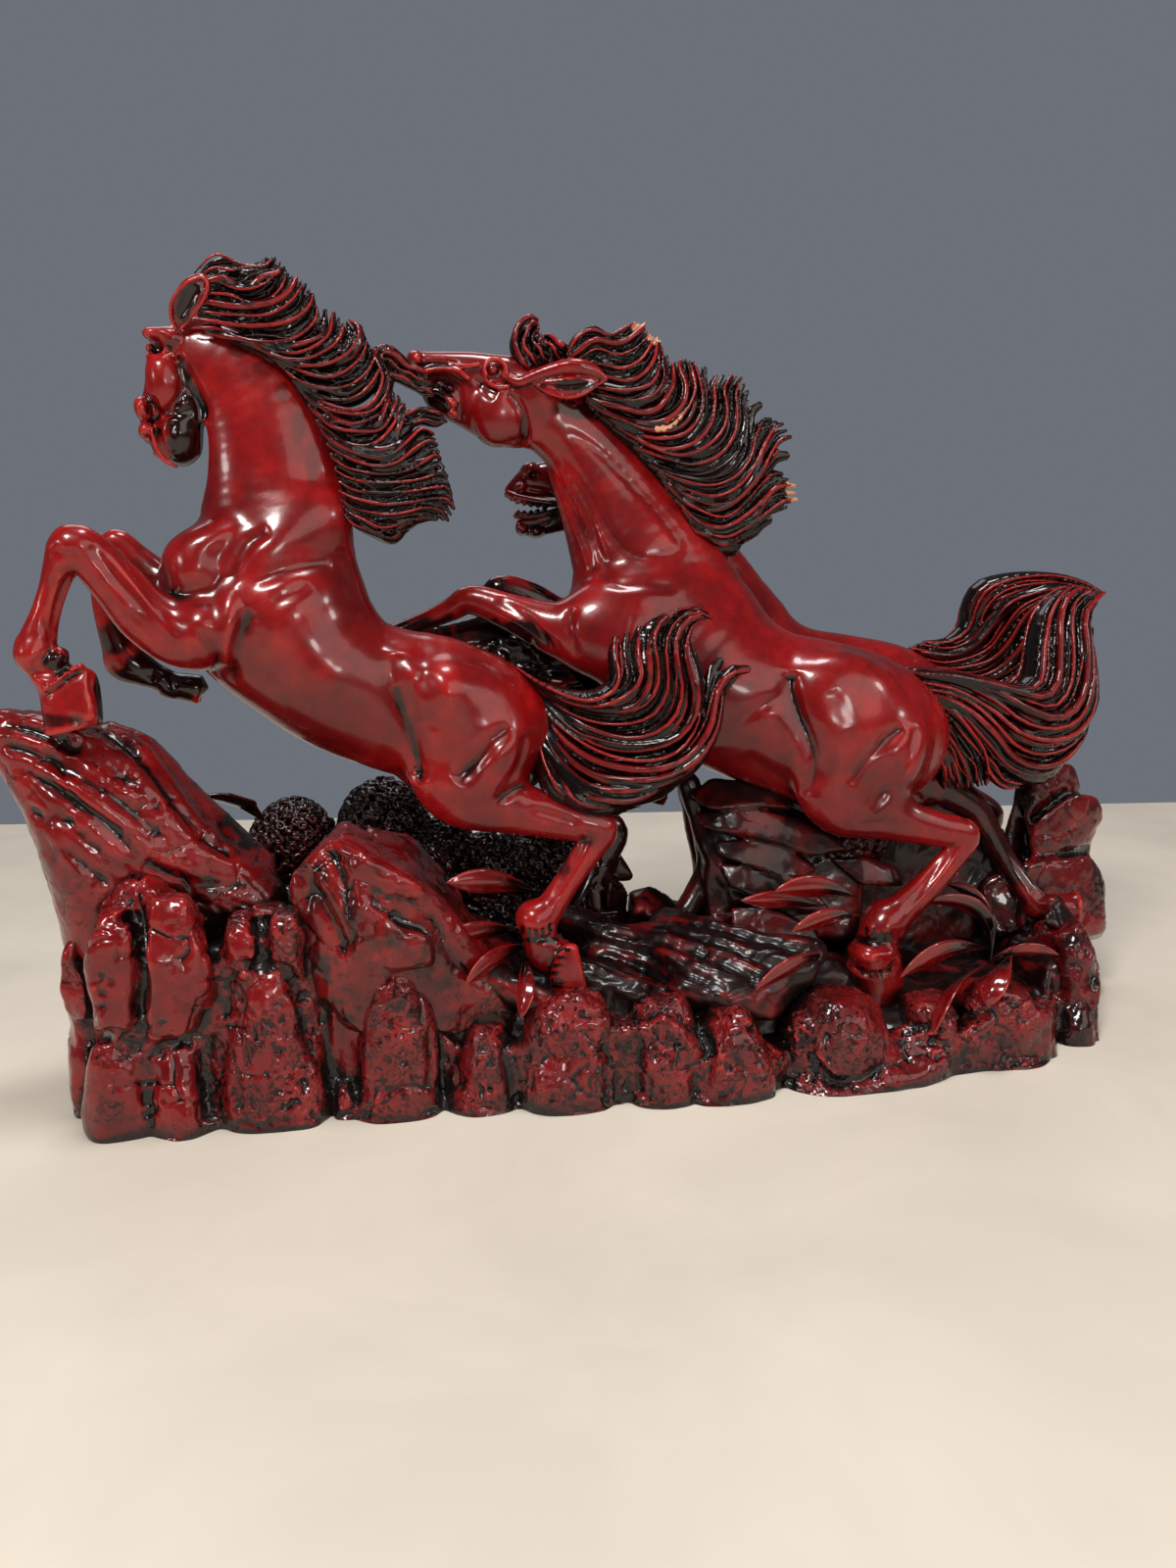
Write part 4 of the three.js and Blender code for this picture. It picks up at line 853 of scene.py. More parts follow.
def head_h3(F):
    """The back horse's head; its open mouth shows in front of the middle horse's neck."""
    f = Face(F, 39.5)
    f.tube([(640, 480, 0, 23), (622, 480, 0, 22), (600, 482, 0, 20), (580, 485, 0, 18.5), (560, 489, 0, 18), (545, 491, 0, 17), (531, 497, 0, 11.5), (522, 501, 0, 7)], 4.0, K=0.72)
    f.tube([(645, 505, 0, 28), (625, 512, 0, 30), (606, 515, 0, 26), (588, 521, 0, 19), (572, 527, 0, 15), (558, 532, 0, 13), (545, 536, 0, 11.5), (535, 537, 0, 9)], 4.0, K=0.58)
    f.ball(613, 510, 4.0, 27, 29, 4.4, 6, 1.6)
    # mouth, open
    f.tube([(590, 509, 0, 2), (575, 512, 0, 3), (560, 515, 0, 4.5), (545, 518, 0, 5.5), (530, 520, 0, 7), (518, 519, 0, 9)], 0.8, "cut", K=8.0)
    f.tube([(519, 503.5, 3.0, 3.6), (530, 507.5, 4.4, 3.6), (545, 510.5, 5.2, 3.6), (560, 512.5, 5.8, 3.2), (574, 514, 6.0, 2.2)], 0.5)
    f.tube([(528, 526, 3.2, 3.0), (538, 527, 4.2, 3.2), (550, 525.5, 4.8, 3.2), (564, 522, 5.4, 2.6)], 0.5)
    for u, v, r in ((524, 508, 2.6), (530, 511, 2.8), (537, 512.5, 2.6), (544, 514, 2.8), (551, 515, 2.5), (558, 516, 2.6)):
        f.ball(u, v, 4.2, r, r, 1.5, 0, 0.2)
    for u, v, r in ((529, 523, 2.4), (535, 523.5, 2.6), (542, 523, 2.4), (549, 522, 2.6), (556, 521, 2.4)):
        f.ball(u, v, 3.4, r, r * 1.2, 1.4, 0, 0.2)
    f.ball(533, 541, 0, 6.5, 5.5, 4.2, 10, 0.8)
    f.ball(547, 543, 0, 9, 6, 4.6, -6, 0.8)
    f.line([(528, 533), (538, 535.5), (550, 534), (562, 529)], 0.9, 1.2)
    # nostril
    f.ball(541, 481, 3.2, 9.5, 9.5, 4.2, 0, 0.8)
    f.ball(544.5, 485.5, 6.8, 5.4, 5.0, 3.0, -20, 0.4, "cut")
    f.ball(531, 497, 2.6, 8, 5, 3.4, -28, 0.8)
    f.line([(536, 497), (545, 499), (556, 501), (568, 507)], 1.0, 1.3)
    # eye, cheek edge
    f.ball(600, 478, 8.6, 9, 8, 2.6, 0, 0.5, "cut")
    f.ball(598.5, 478.5, 5.4, 5.6, 5.6, 2.4, 0, 0.2)
    f.ring(600, 478, 7.4, 10.5, 10, 2.4, 150, 395)
    f.tube([(590, 487, 7.0, 1.8), (598, 493, 7.4, 2.6), (610, 492, 7.6, 2.2)], 0.5)
    f.line([(624, 494), (632, 508), (635, 524), (630, 538)], 1.6, 2.4)
    f.line([(568, 486), (580, 484), (590, 485)], 1.2, 1.0)
    # ear
    f.tube([(618, 466, 7.0, 5), (630, 463, 8.0, 7), (646, 458, 8.8, 9), (662, 455, 8.8, 8), (676, 456, 8.4, 2)], 0.6, K=0.6)
    f.tube([(632, 466, 11.4, 3), (646, 462, 12.0, 5.6), (660, 459, 11.8, 4.6), (670, 457.5, 10.8, 2)], 0.3, "cut", K=0.8)


HEAD_OF = {"h1": head_h1, "h2": head_h2, "h3": head_h3}


def notches(F, rows, y, step, width=0.75, depth=1.1, side=-1):
    """Short carved cuts, one at each (u, v), each running by step px."""
    for u, v in rows:
        surface_line(F, [(u, v, y), (u + step[0] * 0.5, v + step[1] * 0.5, y), (u + step[0], v + step[1], y)], width, depth, side)


def feet_h1(F):
    # near foreleg: fetlock, wedge-shaped hoof with a bumpy coronet
    blob(F, 33, 668, -41, 15, 17, 6.2, 0, 3)
    blob(F, 60, 672, -41, 9, 12, 5.0, 30, 2)
    blob(F, 50, 694, -41, 16, 9, 5.5, 30, 2.5)
    slab(F, [(42, 707, -47), (60, 692, -48), (84, 677, -47), (94, 706, -49), (98, 741, -49), (78, 733, -50), (50, 727, -49), (42, 722, -47),
             (104, 684, -40), (108, 708, -39), (109, 739, -38), (100, 744, -36), (60, 690, -35), (44, 712, -35), (50, 728, -34), (90, 740, -34)], 0.8, 2.6)
    for u, v in ((47, 704), (54, 698), (61, 693), (68, 688), (75, 683), (82, 680)):
        blob(F, u, v, -46, 3.6, 3.6, 2.6, 0, 0.6)
    surface_line(F, [(44, 711, -46), (58, 702, -47), (72, 692, -47), (86, 686, -46)], 0.8, 0.8)
    surface_line(F, [(90, 684, -46), (94, 708, -46), (98, 738, -46)], 0.9, 1.0)
    notches(F, [(32, 674), (38, 671), (44, 667), (50, 663)], -41, (5, 6))
    surface_line(F, [(66, 590, -41), (58, 615, -41), (52, 640, -41), (50, 658, -41)], 1.1, 1.5)
    surface_line(F, [(30, 684, -41), (44, 688, -41), (60, 686, -41), (70, 680, -41)], 1.2, 1.8)
    # near hind foot
    blob(F, 543, 936, -35, 17, 17, 6.6, -30, 3)
    notches(F, [(533, 944), (540, 947), (547, 948), (554, 946), (561, 942)], -35, (1, 8))
    blob(F, 551, 972, -36, 14, 24, 6.0, -18, 2.5)
    slab(F, [(567, 974, -46), (577, 961, -47), (590, 960, -46), (597, 984, -48), (602, 1016, -46), (578, 1011, -49), (558, 1003, -46), (564, 966, -32), (589, 961, -34), (600, 1012, -33), (562, 1006, -31)], 0.8, 2.2)
    notches(F, [(563, 971), (561, 979), (559, 987), (557, 995)], -43, (9, 0), 0.7, 0.9)
    surface_line(F, [(530, 955, -37), (546, 958, -37), (562, 956, -37)], 1.2, 1.4)
    # far forefoot, dark and folded back
    blob(F, 128, 676, -3, 20, 20, 5, 20, 3)
    blob(F, 165, 692, -3, 12, 9, 4, 0, 2)
    blob(F, 192, 700, -3, 20, 11, 5, 8, 2)
    surface_line(F, [(150, 684, -3), (158, 696, -3)], 1.2, 1.6)
    surface_line(F, [(174, 690, -3), (176, 704, -3)], 1.0, 1.4)


def feet_h2(F):
    blob(F, 900, 938, -24, 21, 19, 7, -35, 3)
    notches(F, [(884, 946), (891, 949), (898, 951), (905, 950), (912, 947)], -25, (0, 8))
    blob(F, 893, 985, -27, 27, 30, 9.5, 0, 2)
    blob(F, 884, 972, -28, 18, 14, 8.5, 0, 1.2)
    blob(F, 896, 1001, -27, 26, 24, 9.6, 0, 2)
    surface_line(F, [(866, 982, -28), (878, 990, -28), (892, 994, -28), (906, 990, -28), (916, 978, -28)], 0.9, 1.2)
    notches(F, [(874, 983), (882, 988), (891, 990), (900, 989), (908, 984)], -28, (2, 8))
    surface_line(F, [(874, 958, -26), (890, 962, -26), (912, 960, -26)], 1.6, 2.0)
    # far hind foot on the pyramid of rock
    notches(F, [(1052, 908), (1058, 914), (1064, 912)], 2, (5, 4))
    blob(F, 1080, 926, -1, 20, 15, 6, 10, 1.5)


FEET_OF = {"h1": feet_h1, "h2": feet_h2, "h3": lambda F: None}

def extras_h1(F):
    # chest, shoulder, upper arm, haunch and point of the hip on the near side
    blob(F, 205, 582, -27, 35, 36, 15, 0, 5)
    blob(F, 212, 556, -30, 44, 20, 10, -22, 5)
    blob(F, 268, 566, -31, 44, 24, 9, -24, 5)
    blob(F, 300, 545, -27, 52, 34, 9, -30, 8)
    blob(F, 208, 644, -37, 25, 32, 10, 14, 6)
    blob(F, 236, 640, -38, 16, 40, 8, 8, 4)
    blob(F, 296, 634, -33, 44, 52, 11, 20, 7)
    blob(F, 340, 690, -26, 60, 52, 17, 25, 10)
    blob(F, 452, 708, -35, 34, 34, 10, -20, 5)
    blob(F, 410, 690, -34, 22, 26, 8, 0, 5)
    blob(F, 505, 770, -31, 34, 52, 14, 15, 6)
    blob(F, 468, 800, -33, 44, 28, 10, 20, 5)
    blob(F, 205, 592, -16, 36, 38, 14, 0, 7)
    blob(F, 340, 690, -14, 60, 52, 17, 25, 10)
    blob(F, 480, 740, -8, 50, 52, 14, 0, 8)
    crease(F, [(256, 596, -30), (276, 588, -30), (304, 580, -30), (338, 572, -30)], 2.4, 1.1)
    crease(F, [(276, 614, -30), (288, 610, -30), (300, 604, -30), (314, 596, -30)], 2.2, 1.0)
    surface_line(F, [(236, 592, -30), (244, 572, -30), (256, 553, -30), (274, 541, -30)], 2.4, 1.6)
    crease(F, [(240, 597, -30), (230, 591, -30), (218, 590, -30)], 2.6, 0.5)
    crease(F, [(236, 697, -30), (238, 672, -30), (246, 648, -30), (258, 622, -30)], 2.6, 1.9)
    surface_line(F, [(262, 640, -30), (258, 665, -30), (268, 690, -30), (290, 705, -30)], 3.0, 0.8)
    surface_line(F, [(408, 668, -30), (404, 690, -30), (410, 716, -30), (420, 742, -30), (428, 768, -30), (427, 796, -30)], 4.2, 3.4)
    surface_line(F, [(404, 700, -30), (409, 722, -30), (418, 745, -30), (425, 770, -30), (427, 792, -30)], 1.9, 2.2)
    blob(F, 426, 788, -40, 7, 12, 4, 0, 1.5, "cut")
    surface_line(F, [(520, 742, -32), (502, 757, -32), (484, 778, -32), (466, 798, -32)], 2.6, 2.6)
    surface_line(F, [(424, 690, -30), (438, 700, -30), (444, 720, -30), (440, 745, -30)], 3.2, 1.0)
    surface_line(F, [(536, 750, -30), (532, 775, -30), (520, 800, -30), (505, 822, -30)], 2.4, 1.6)
    surface_line(F, [(508, 818, -34), (530, 804, -34), (556, 812, -34)], 2.0, 1.5)
    surface_line(F, [(350, 560, -25), (352, 590, -25), (372, 622, -25), (402, 655, -25)], 4.0, 0.9)
    # forearm and cannon tendons
    surface_line(F, [(92, 556, -40), (102, 570, -40), (118, 590, -40), (138, 612, -40), (156, 634, -40), (176, 662, -40)], 1.5, 2.0)
    surface_line(F, [(120, 562, -40), (140, 588, -40), (160, 618, -40), (180, 650, -40)], 1.6, 1.0)
    surface_line(F, [(132, 622, -40), (152, 642, -40), (176, 668, -40)], 1.6, 1.0)
    surface_line(F, [(198, 640, -38), (210, 652, -38), (222, 668, -38), (218, 690, -38)], 1.8, 1.2)
    surface_line(F, [(72, 584, -41), (64, 600, -41), (58, 622, -41), (56, 646, -41)], 1.2, 1.8)
    surface_line(F, [(56, 586, -41), (50, 606, -41), (45, 628, -41), (42, 648, -41)], 1.0, 0.8)
    surface_line(F, [(52, 560, -41), (66, 566, -41), (82, 564, -41)], 1.5, 0.8)
    surface_line(F, [(590, 846, -34), (594, 862, -34), (580, 888, -34), (566, 915, -34)], 1.3, 1.1)
    surface_line(F, [(540, 826, -33), (565, 832, -33), (592, 842, -33)], 1.5, 1.0)
    # the rough web between the far hind leg and the rock
    slab(F, [(622, 858, -2), (629, 864, 4), (649, 895, 1), (642, 900, 3), (637, 893, 5), (616, 900, -3), (606, 890, 4), (612, 872, -4)], 1.0, 0.8)
    slab(F, [(612, 878, -8), (626, 886, -6), (640, 903, -1), (643, 914, 2), (640, 938, 2), (612, 948, -2), (596, 942, 3), (598, 905, 3)], 1.2, 1.0)
    slab(F, [(622, 898, -11), (629, 904, -9), (633, 924, -6), (618, 928, -9), (612, 910, -4)], 0.8, 0.8)
    slab(F, [(600, 905, -9), (612, 900, -10), (616, 930, -10), (604, 946, -9), (594, 934, -6), (606, 925, 0)], 0.8, 0.8)
    slab(F, [(586, 930, 4), (645, 930, 4), (652, 950, 2), (644, 970, 4), (590, 970, 4), (622, 936, -8), (598, 952, -9), (636, 966, -8)], 1.5, 1.5)
    surface_line(F, [(618, 876, -4), (626, 890, -4), (634, 900, -4)], 0.9, 1.0)
    surface_line(F, [(606, 900, -8), (616, 916, -8), (630, 928, -8)], 0.9, 1.0)
    # the far side
    surface_line(F, [(236, 697, -10), (246, 648, -10), (262, 616, -10)], 2.6, 1.7, 1)
    surface_line(F, [(408, 668, -8), (410, 716, -8), (428, 768, -8), (427, 796, -8)], 4.0, 2.8, 1)
    surface_line(F, [(196, 617, -10), (238, 607, -10), (262, 599, -10)], 2.0, 1.5, 1)
    surface_line(F, [(516, 744, -8), (482, 782, -8), (466, 800, -8)], 2.6, 1.6, 1)


def extras_h2(F):
    # the lump of the casting in the bend of the far knee
    for rows in ([(402, 644, 20.5, 9, .5), (424, 648, 20.5, 15, .5), (446, 660, 20.5, 22, .5), (478, 660, 20.5, 28, .5), (515, 661, 20.5, 37, .42), (550, 672, 20.5, 37, .42), (585, 684, 20.5, 33, .45)],
                 [(500, 690, 20.5, 24, .5), (540, 704, 20.5, 26, .5), (580, 708, 20.5, 24, .5), (602, 704, 19, 20, .5), (618, 704, 18, 13, .5)]):
        Q, RR, KK = smooth_chain(rows, 4.0)
        F.tube(Q, RR, KK, 2.0)
    rnd = np.random.RandomState(17)
    for _ in range(46):
        u, v = rnd.uniform(440, 590), rnd.uniform(648, 716)
        p = land(F, u, v, 20, -1)
        if p is not None and 12 < p[1] < 20:
            F.ball(p + [0, 0.6, 0], (rnd.uniform(2.0, 5.0), 2.2, rnd.uniform(1.6, 3.4)), 0.8)
    blob(F, 604, 645, 0, 34, 42, 13, 0, 7)
    blob(F, 640, 620, -4, 60, 34, 10, -10, 7)
    blob(F, 665, 680, -4, 50, 56, 13, 0, 8)
    blob(F, 740, 715, -6, 62, 54, 15, 10, 9)
    blob(F, 855, 700, -18, 52, 34, 10, 5, 6)
    blob(F, 912, 772, -20, 30, 48, 12, 20, 6)
    blob(F, 880, 815, -20, 50, 24, 9, 10, 5)
    blob(F, 604, 645, 16, 30, 40, 13, 0, 7)
    blob(F, 740, 715, 10, 62, 54, 15, 10, 9)
    blob(F, 875, 740, 8, 54, 54, 15, 0, 8)
    # neck: windpipe cord, long muscle bands
    surface_line(F, [(537, 452, 2), (556, 470, 2), (574, 498, 2), (590, 530, 2), (602, 560, 2), (606, 585, 2)], 1.7, 1.9)
    surface_line(F, [(548, 452, 2), (568, 472, 2), (586, 500, 2), (602, 532, 2), (612, 565, 2), (622, 590, 2)], 1.5, 1.2)
    surface_line(F, [(556, 446, 2), (578, 470, 2), (600, 500, 2), (618, 536, 2), (640, 562, 2), (662, 572, 2)], 2.0, 1.1)
    surface_line(F, [(578, 440, 2), (610, 460, 2), (640, 490, 2), (668, 520, 2), (688, 545, 2), (694, 558, 2), (680, 566, 2), (660, 566, 2)], 2.0, 1.1)
    surface_line(F, [(610, 586, 2), (630, 596, 2), (660, 596, 2), (690, 600, 2)], 2.4, 0.9)
    # hip fold, flank, thigh
    surface_line(F, [(806, 686, -20), (806, 708, -20), (816, 734, -20), (828, 758, -20), (836, 784, -20), (828, 812, -20)], 4.2, 3.2)
    surface_line(F, [(808, 688, -20), (808, 706, -20), (816, 730, -20), (826, 752, -20), (832, 776, -20), (826, 806, -20)], 1.8, 2.2)
    blob(F, 824, 808, -30, 6, 9, 4, 0, 1.5, "cut")
    surface_line(F, [(725, 757, -18), (745, 744, -18), (775, 722, -18), (802, 708, -18)], 2.6, 1.1)
    surface_line(F, [(922, 742, -22), (902, 755, -22), (882, 776, -22), (866, 800, -22)], 2.6, 2.6)
    crease(F, [(846, 706, -20), (858, 722, -20), (866, 742, -20)], 3.6, 0.6)
    surface_line(F, [(934, 742, -20), (930, 765, -20), (915, 792, -20), (890, 828, -20)], 2.4, 1.5)
    surface_line(F, [(912, 800, -22), (935, 812, -22), (955, 824, -22), (985, 838, -22)], 1.8, 1.5)
    surface_line(F, [(875, 842, -22), (905, 840, -22), (940, 844, -22)], 1.5, 0.8)
    surface_line(F, [(968, 868, -23), (955, 888, -23), (938, 912, -23), (922, 932, -23)], 1.4, 1.1)
    surface_line(F, [(760, 770, -14), (790, 790, -14), (815, 808, -14)], 3.0, 0.8)
    # foreleg
    surface_line(F, [(508, 612, 0), (526, 622, 0), (546, 640, 0), (566, 662, 0)], 1.8, 1.5)
    surface_line(F, [(520, 640, 0), (540, 652, 0), (560, 672, 0)], 1.6, 0.9)
    surface_line(F, [(584, 620, 0), (582, 645, 0), (590, 670, 0)], 2.0, 1.5)
    # the far side
    surface_line(F, [(806, 686, 10), (816, 734, 10), (836, 784, 10), (828, 812, 10)], 4.0, 2.8, 1)
    surface_line(F, [(548, 452, 16), (586, 500, 16), (612, 565, 16)], 1.8, 1.6, 1)
    surface_line(F, [(578, 440, 16), (640, 490, 16), (690, 550, 16)], 2.0, 1.0, 1)
    surface_line(F, [(920, 744, 10), (880, 778, 10), (866, 798, 10)], 2.6, 1.6, 1)


def extras_h3(F):
    blob(F, 672, 645, 50, 32, 40, 12, 0, 7)
    blob(F, 700, 690, 52, 46, 44, 12, 0, 8)
    blob(F, 780, 700, 50, 60, 50, 12, 10, 9)
    blob(F, 890, 705, 54, 46, 34, 10, 5, 6)
    blob(F, 935, 770, 52, 32, 44, 12, 20, 6)
    for s, y in ((1, 52), (-1, 34)):
        surface_line(F, [(836, 680, y), (836, 706, y), (848, 740, y), (862, 772, y)], 4.0, 2.8, s)
        surface_line(F, [(735, 745, y), (765, 738, y), (800, 715, y), (832, 700, y)], 2.6, 1.1, s)
        surface_line(F, [(945, 742, y), (920, 760, y), (900, 784, y)], 2.6, 1.7, s)
        surface_line(F, [(660, 530, y), (690, 575, y), (715, 620, y)], 2.0, 1.4, s)
        surface_line(F, [(700, 690, y), (712, 660, y), (735, 632, y)], 2.6, 1.6, s)
        surface_line(F, [(650, 560, y), (664, 590, y), (680, 625, y)], 1.8, 1.4, s)


NAMES = {"h1": "front_horse", "h2": "middle_horse", "h3": "back_horse"}
EXTRAS = {"h1": extras_h1, "h2": extras_h2, "h3": extras_h3}

def part_of(h, v, reach=1.0):
    """Which casting each point of a horse belongs to: the nearest limb, with the torso and neck together."""
    best = np.full(len(v), 1e9); lab = np.zeros(len(v), int)
    parts = [("body", ("torso", "neck"), 0.0), ("head", ("head",), reach), ("left_foreleg", ("lf",), 0.0), ("right_foreleg", ("rf",), 0.0), ("left_hind_leg", ("lh",), 0.0), ("right_hind_leg", ("rh",), 0.0)]
    for j, (_, keys, bias) in enumerate(parts):
        for key in keys:
            P, R, K = chain(LIMBS[h + "_" + key])
            for i in range(len(P) - 1):
                ab = P[i + 1] - P[i]
                w = v - P[i]
                t = np.clip(w @ ab / (ab @ ab), 0, 1)
                d = np.linalg.norm(w - t[:, None] * ab, axis=1) - (R[i] + t * (R[i + 1] - R[i])) - bias
                hit = d < best
                best[hit] = d[hit]; lab[hit] = j
    return lab, [p[0] for p in parts]


def settle_labels(lab, faces, n, rounds=6, kinds=6):
    """Smooths the line between two labels and keeps each label in one patch."""
    e = faces.edges()
    for _ in range(rounds):
        score = np.zeros((n, kinds))
        for k in range(kinds):
            m = (lab == k).astype(float)
            score[:, k] = np.bincount(e[:, 0], m[e[:, 1]], n) + np.bincount(e[:, 1], m[e[:, 0]], n) + m * 1.01
        lab = score.argmax(1)
    for k in range(kinds):
        sel = lab == k
        if not sel.any():
            continue
        ek = e[sel[e[:, 0]] & sel[e[:, 1]]]
        comp = components(n, ek)
        ids, cnt = np.unique(comp[sel], return_counts=True)
        keep = ids[cnt.argmax()]
        stray = sel & (comp != keep)
        for _ in range(60):
            if not stray.any():
                break
            score = np.zeros((n, kinds))
            for j in range(kinds):
                m = ((lab == j) & ~stray).astype(float)
                score[:, j] = np.bincount(e[:, 0], m[e[:, 1]], n) + np.bincount(e[:, 1], m[e[:, 0]], n)
            can = stray & (score.sum(1) > 0)
            lab = np.where(can, score.argmax(1), lab)
            stray = stray & ~can
    return lab


def split_object(base, v, faces, lab, names, material, attrs, skip=()):
    """One closed mesh per label, all cut from one surface so that the bond lines don't show."""
    nrm = normals(v, faces)
    out = []
    ql = np.sort(lab[faces.q], axis=1)[:, 1]
    tl = np.sort(lab[faces.t], axis=1)[:, 1] if len(faces.t) else np.zeros(0, int)
    for j, name in enumerate(names):
        if name in skip:
            continue
        f = faces.take(ql == j, tl == j)
        if len(f.q) + len(f.t) == 0:
            continue
        pv, pf, pa, pn = closed_part(v, f, attrs, nrm)
        node = base + "_" + name
        o = make_object(node + "_form", pv, pf, material, pa, pn)
        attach(o, "root"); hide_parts(node)
        out.append(o)
    return out


def make_horse(h, material):
    F = build_horse(h, EXTRAS[h])
    v, faces = F.mesh(smooth=4)
    lab, names = part_of(h, v)
    if h == "h2":
        web = (v[:, 0] > -80) & (v[:, 0] < 13) & (v[:, 1] > 13.5) & (v[:, 2] < 168) & (v[:, 2] > 122) & (lab == names.index("left_foreleg"))
        lab[web] = names.index("right_foreleg")
    lab = settle_labels(lab, faces, len(v))
    fine = hollow_of(v, faces, 10, 0.5)
    broad = hollow_of(v, faces, 60, 2.0)
    attrs = {"hollow": fine, "broad": broad}
    split_object(NAMES[h], v, faces, lab, names, material, attrs, skip=("head",))
    # the head again on a finer grid, from the same shapes, reaching a little way into the neck
    P, R, K = chain(LIMBS[h + "_head"])
    box = ((P - R[:, None]).min(0) - [14, 14, 16], (P + R[:, None]).max(0) + [34, 14, 34])
    F = build_horse(h, EXTRAS[h], box, 0.5)
    v, faces = F.mesh(smooth=3)
    lab, names = part_of(h, v, 2.4)
    lab = settle_labels(np.where(lab == names.index("head"), 0, 1), faces, len(v), kinds=2)
    attrs = {"hollow": hollow_of(v, faces, 14, 0.5), "broad": hollow_of(v, faces, 90, 2.0)}
    split_object(NAMES[h], v, faces, lab, ["head"], material, attrs)

# ---- manes and tails -----------------------------------------------------------------------------
def resample(G, n):
    """A smooth curve through a guide's points, cut into n points at even lengths."""
    G = np.asarray(G, float)
    C = smooth_line(np.column_stack([G[:, :2], G[:, 2:] if G.shape[1] > 2 else np.zeros(len(G))]), 3.0)
    s = np.concatenate([[0], np.cumsum(np.linalg.norm(np.diff(C[:, :2], axis=0), axis=1))])
    t = np.linspace(0, s[-1], n)
    return np.column_stack([np.interp(t, s, C[:, k]) for k in range(C.shape[1])])


def lane(i, j, seed):
    """A repeatable number in 0..1 for strand j of gap i."""
    x = math.sin((i * 12.9898 + j * 78.233 + seed * 37.719) * 1.37) * 43758.5453
    return x - math.floor(x)


H_HAIR = 0.52


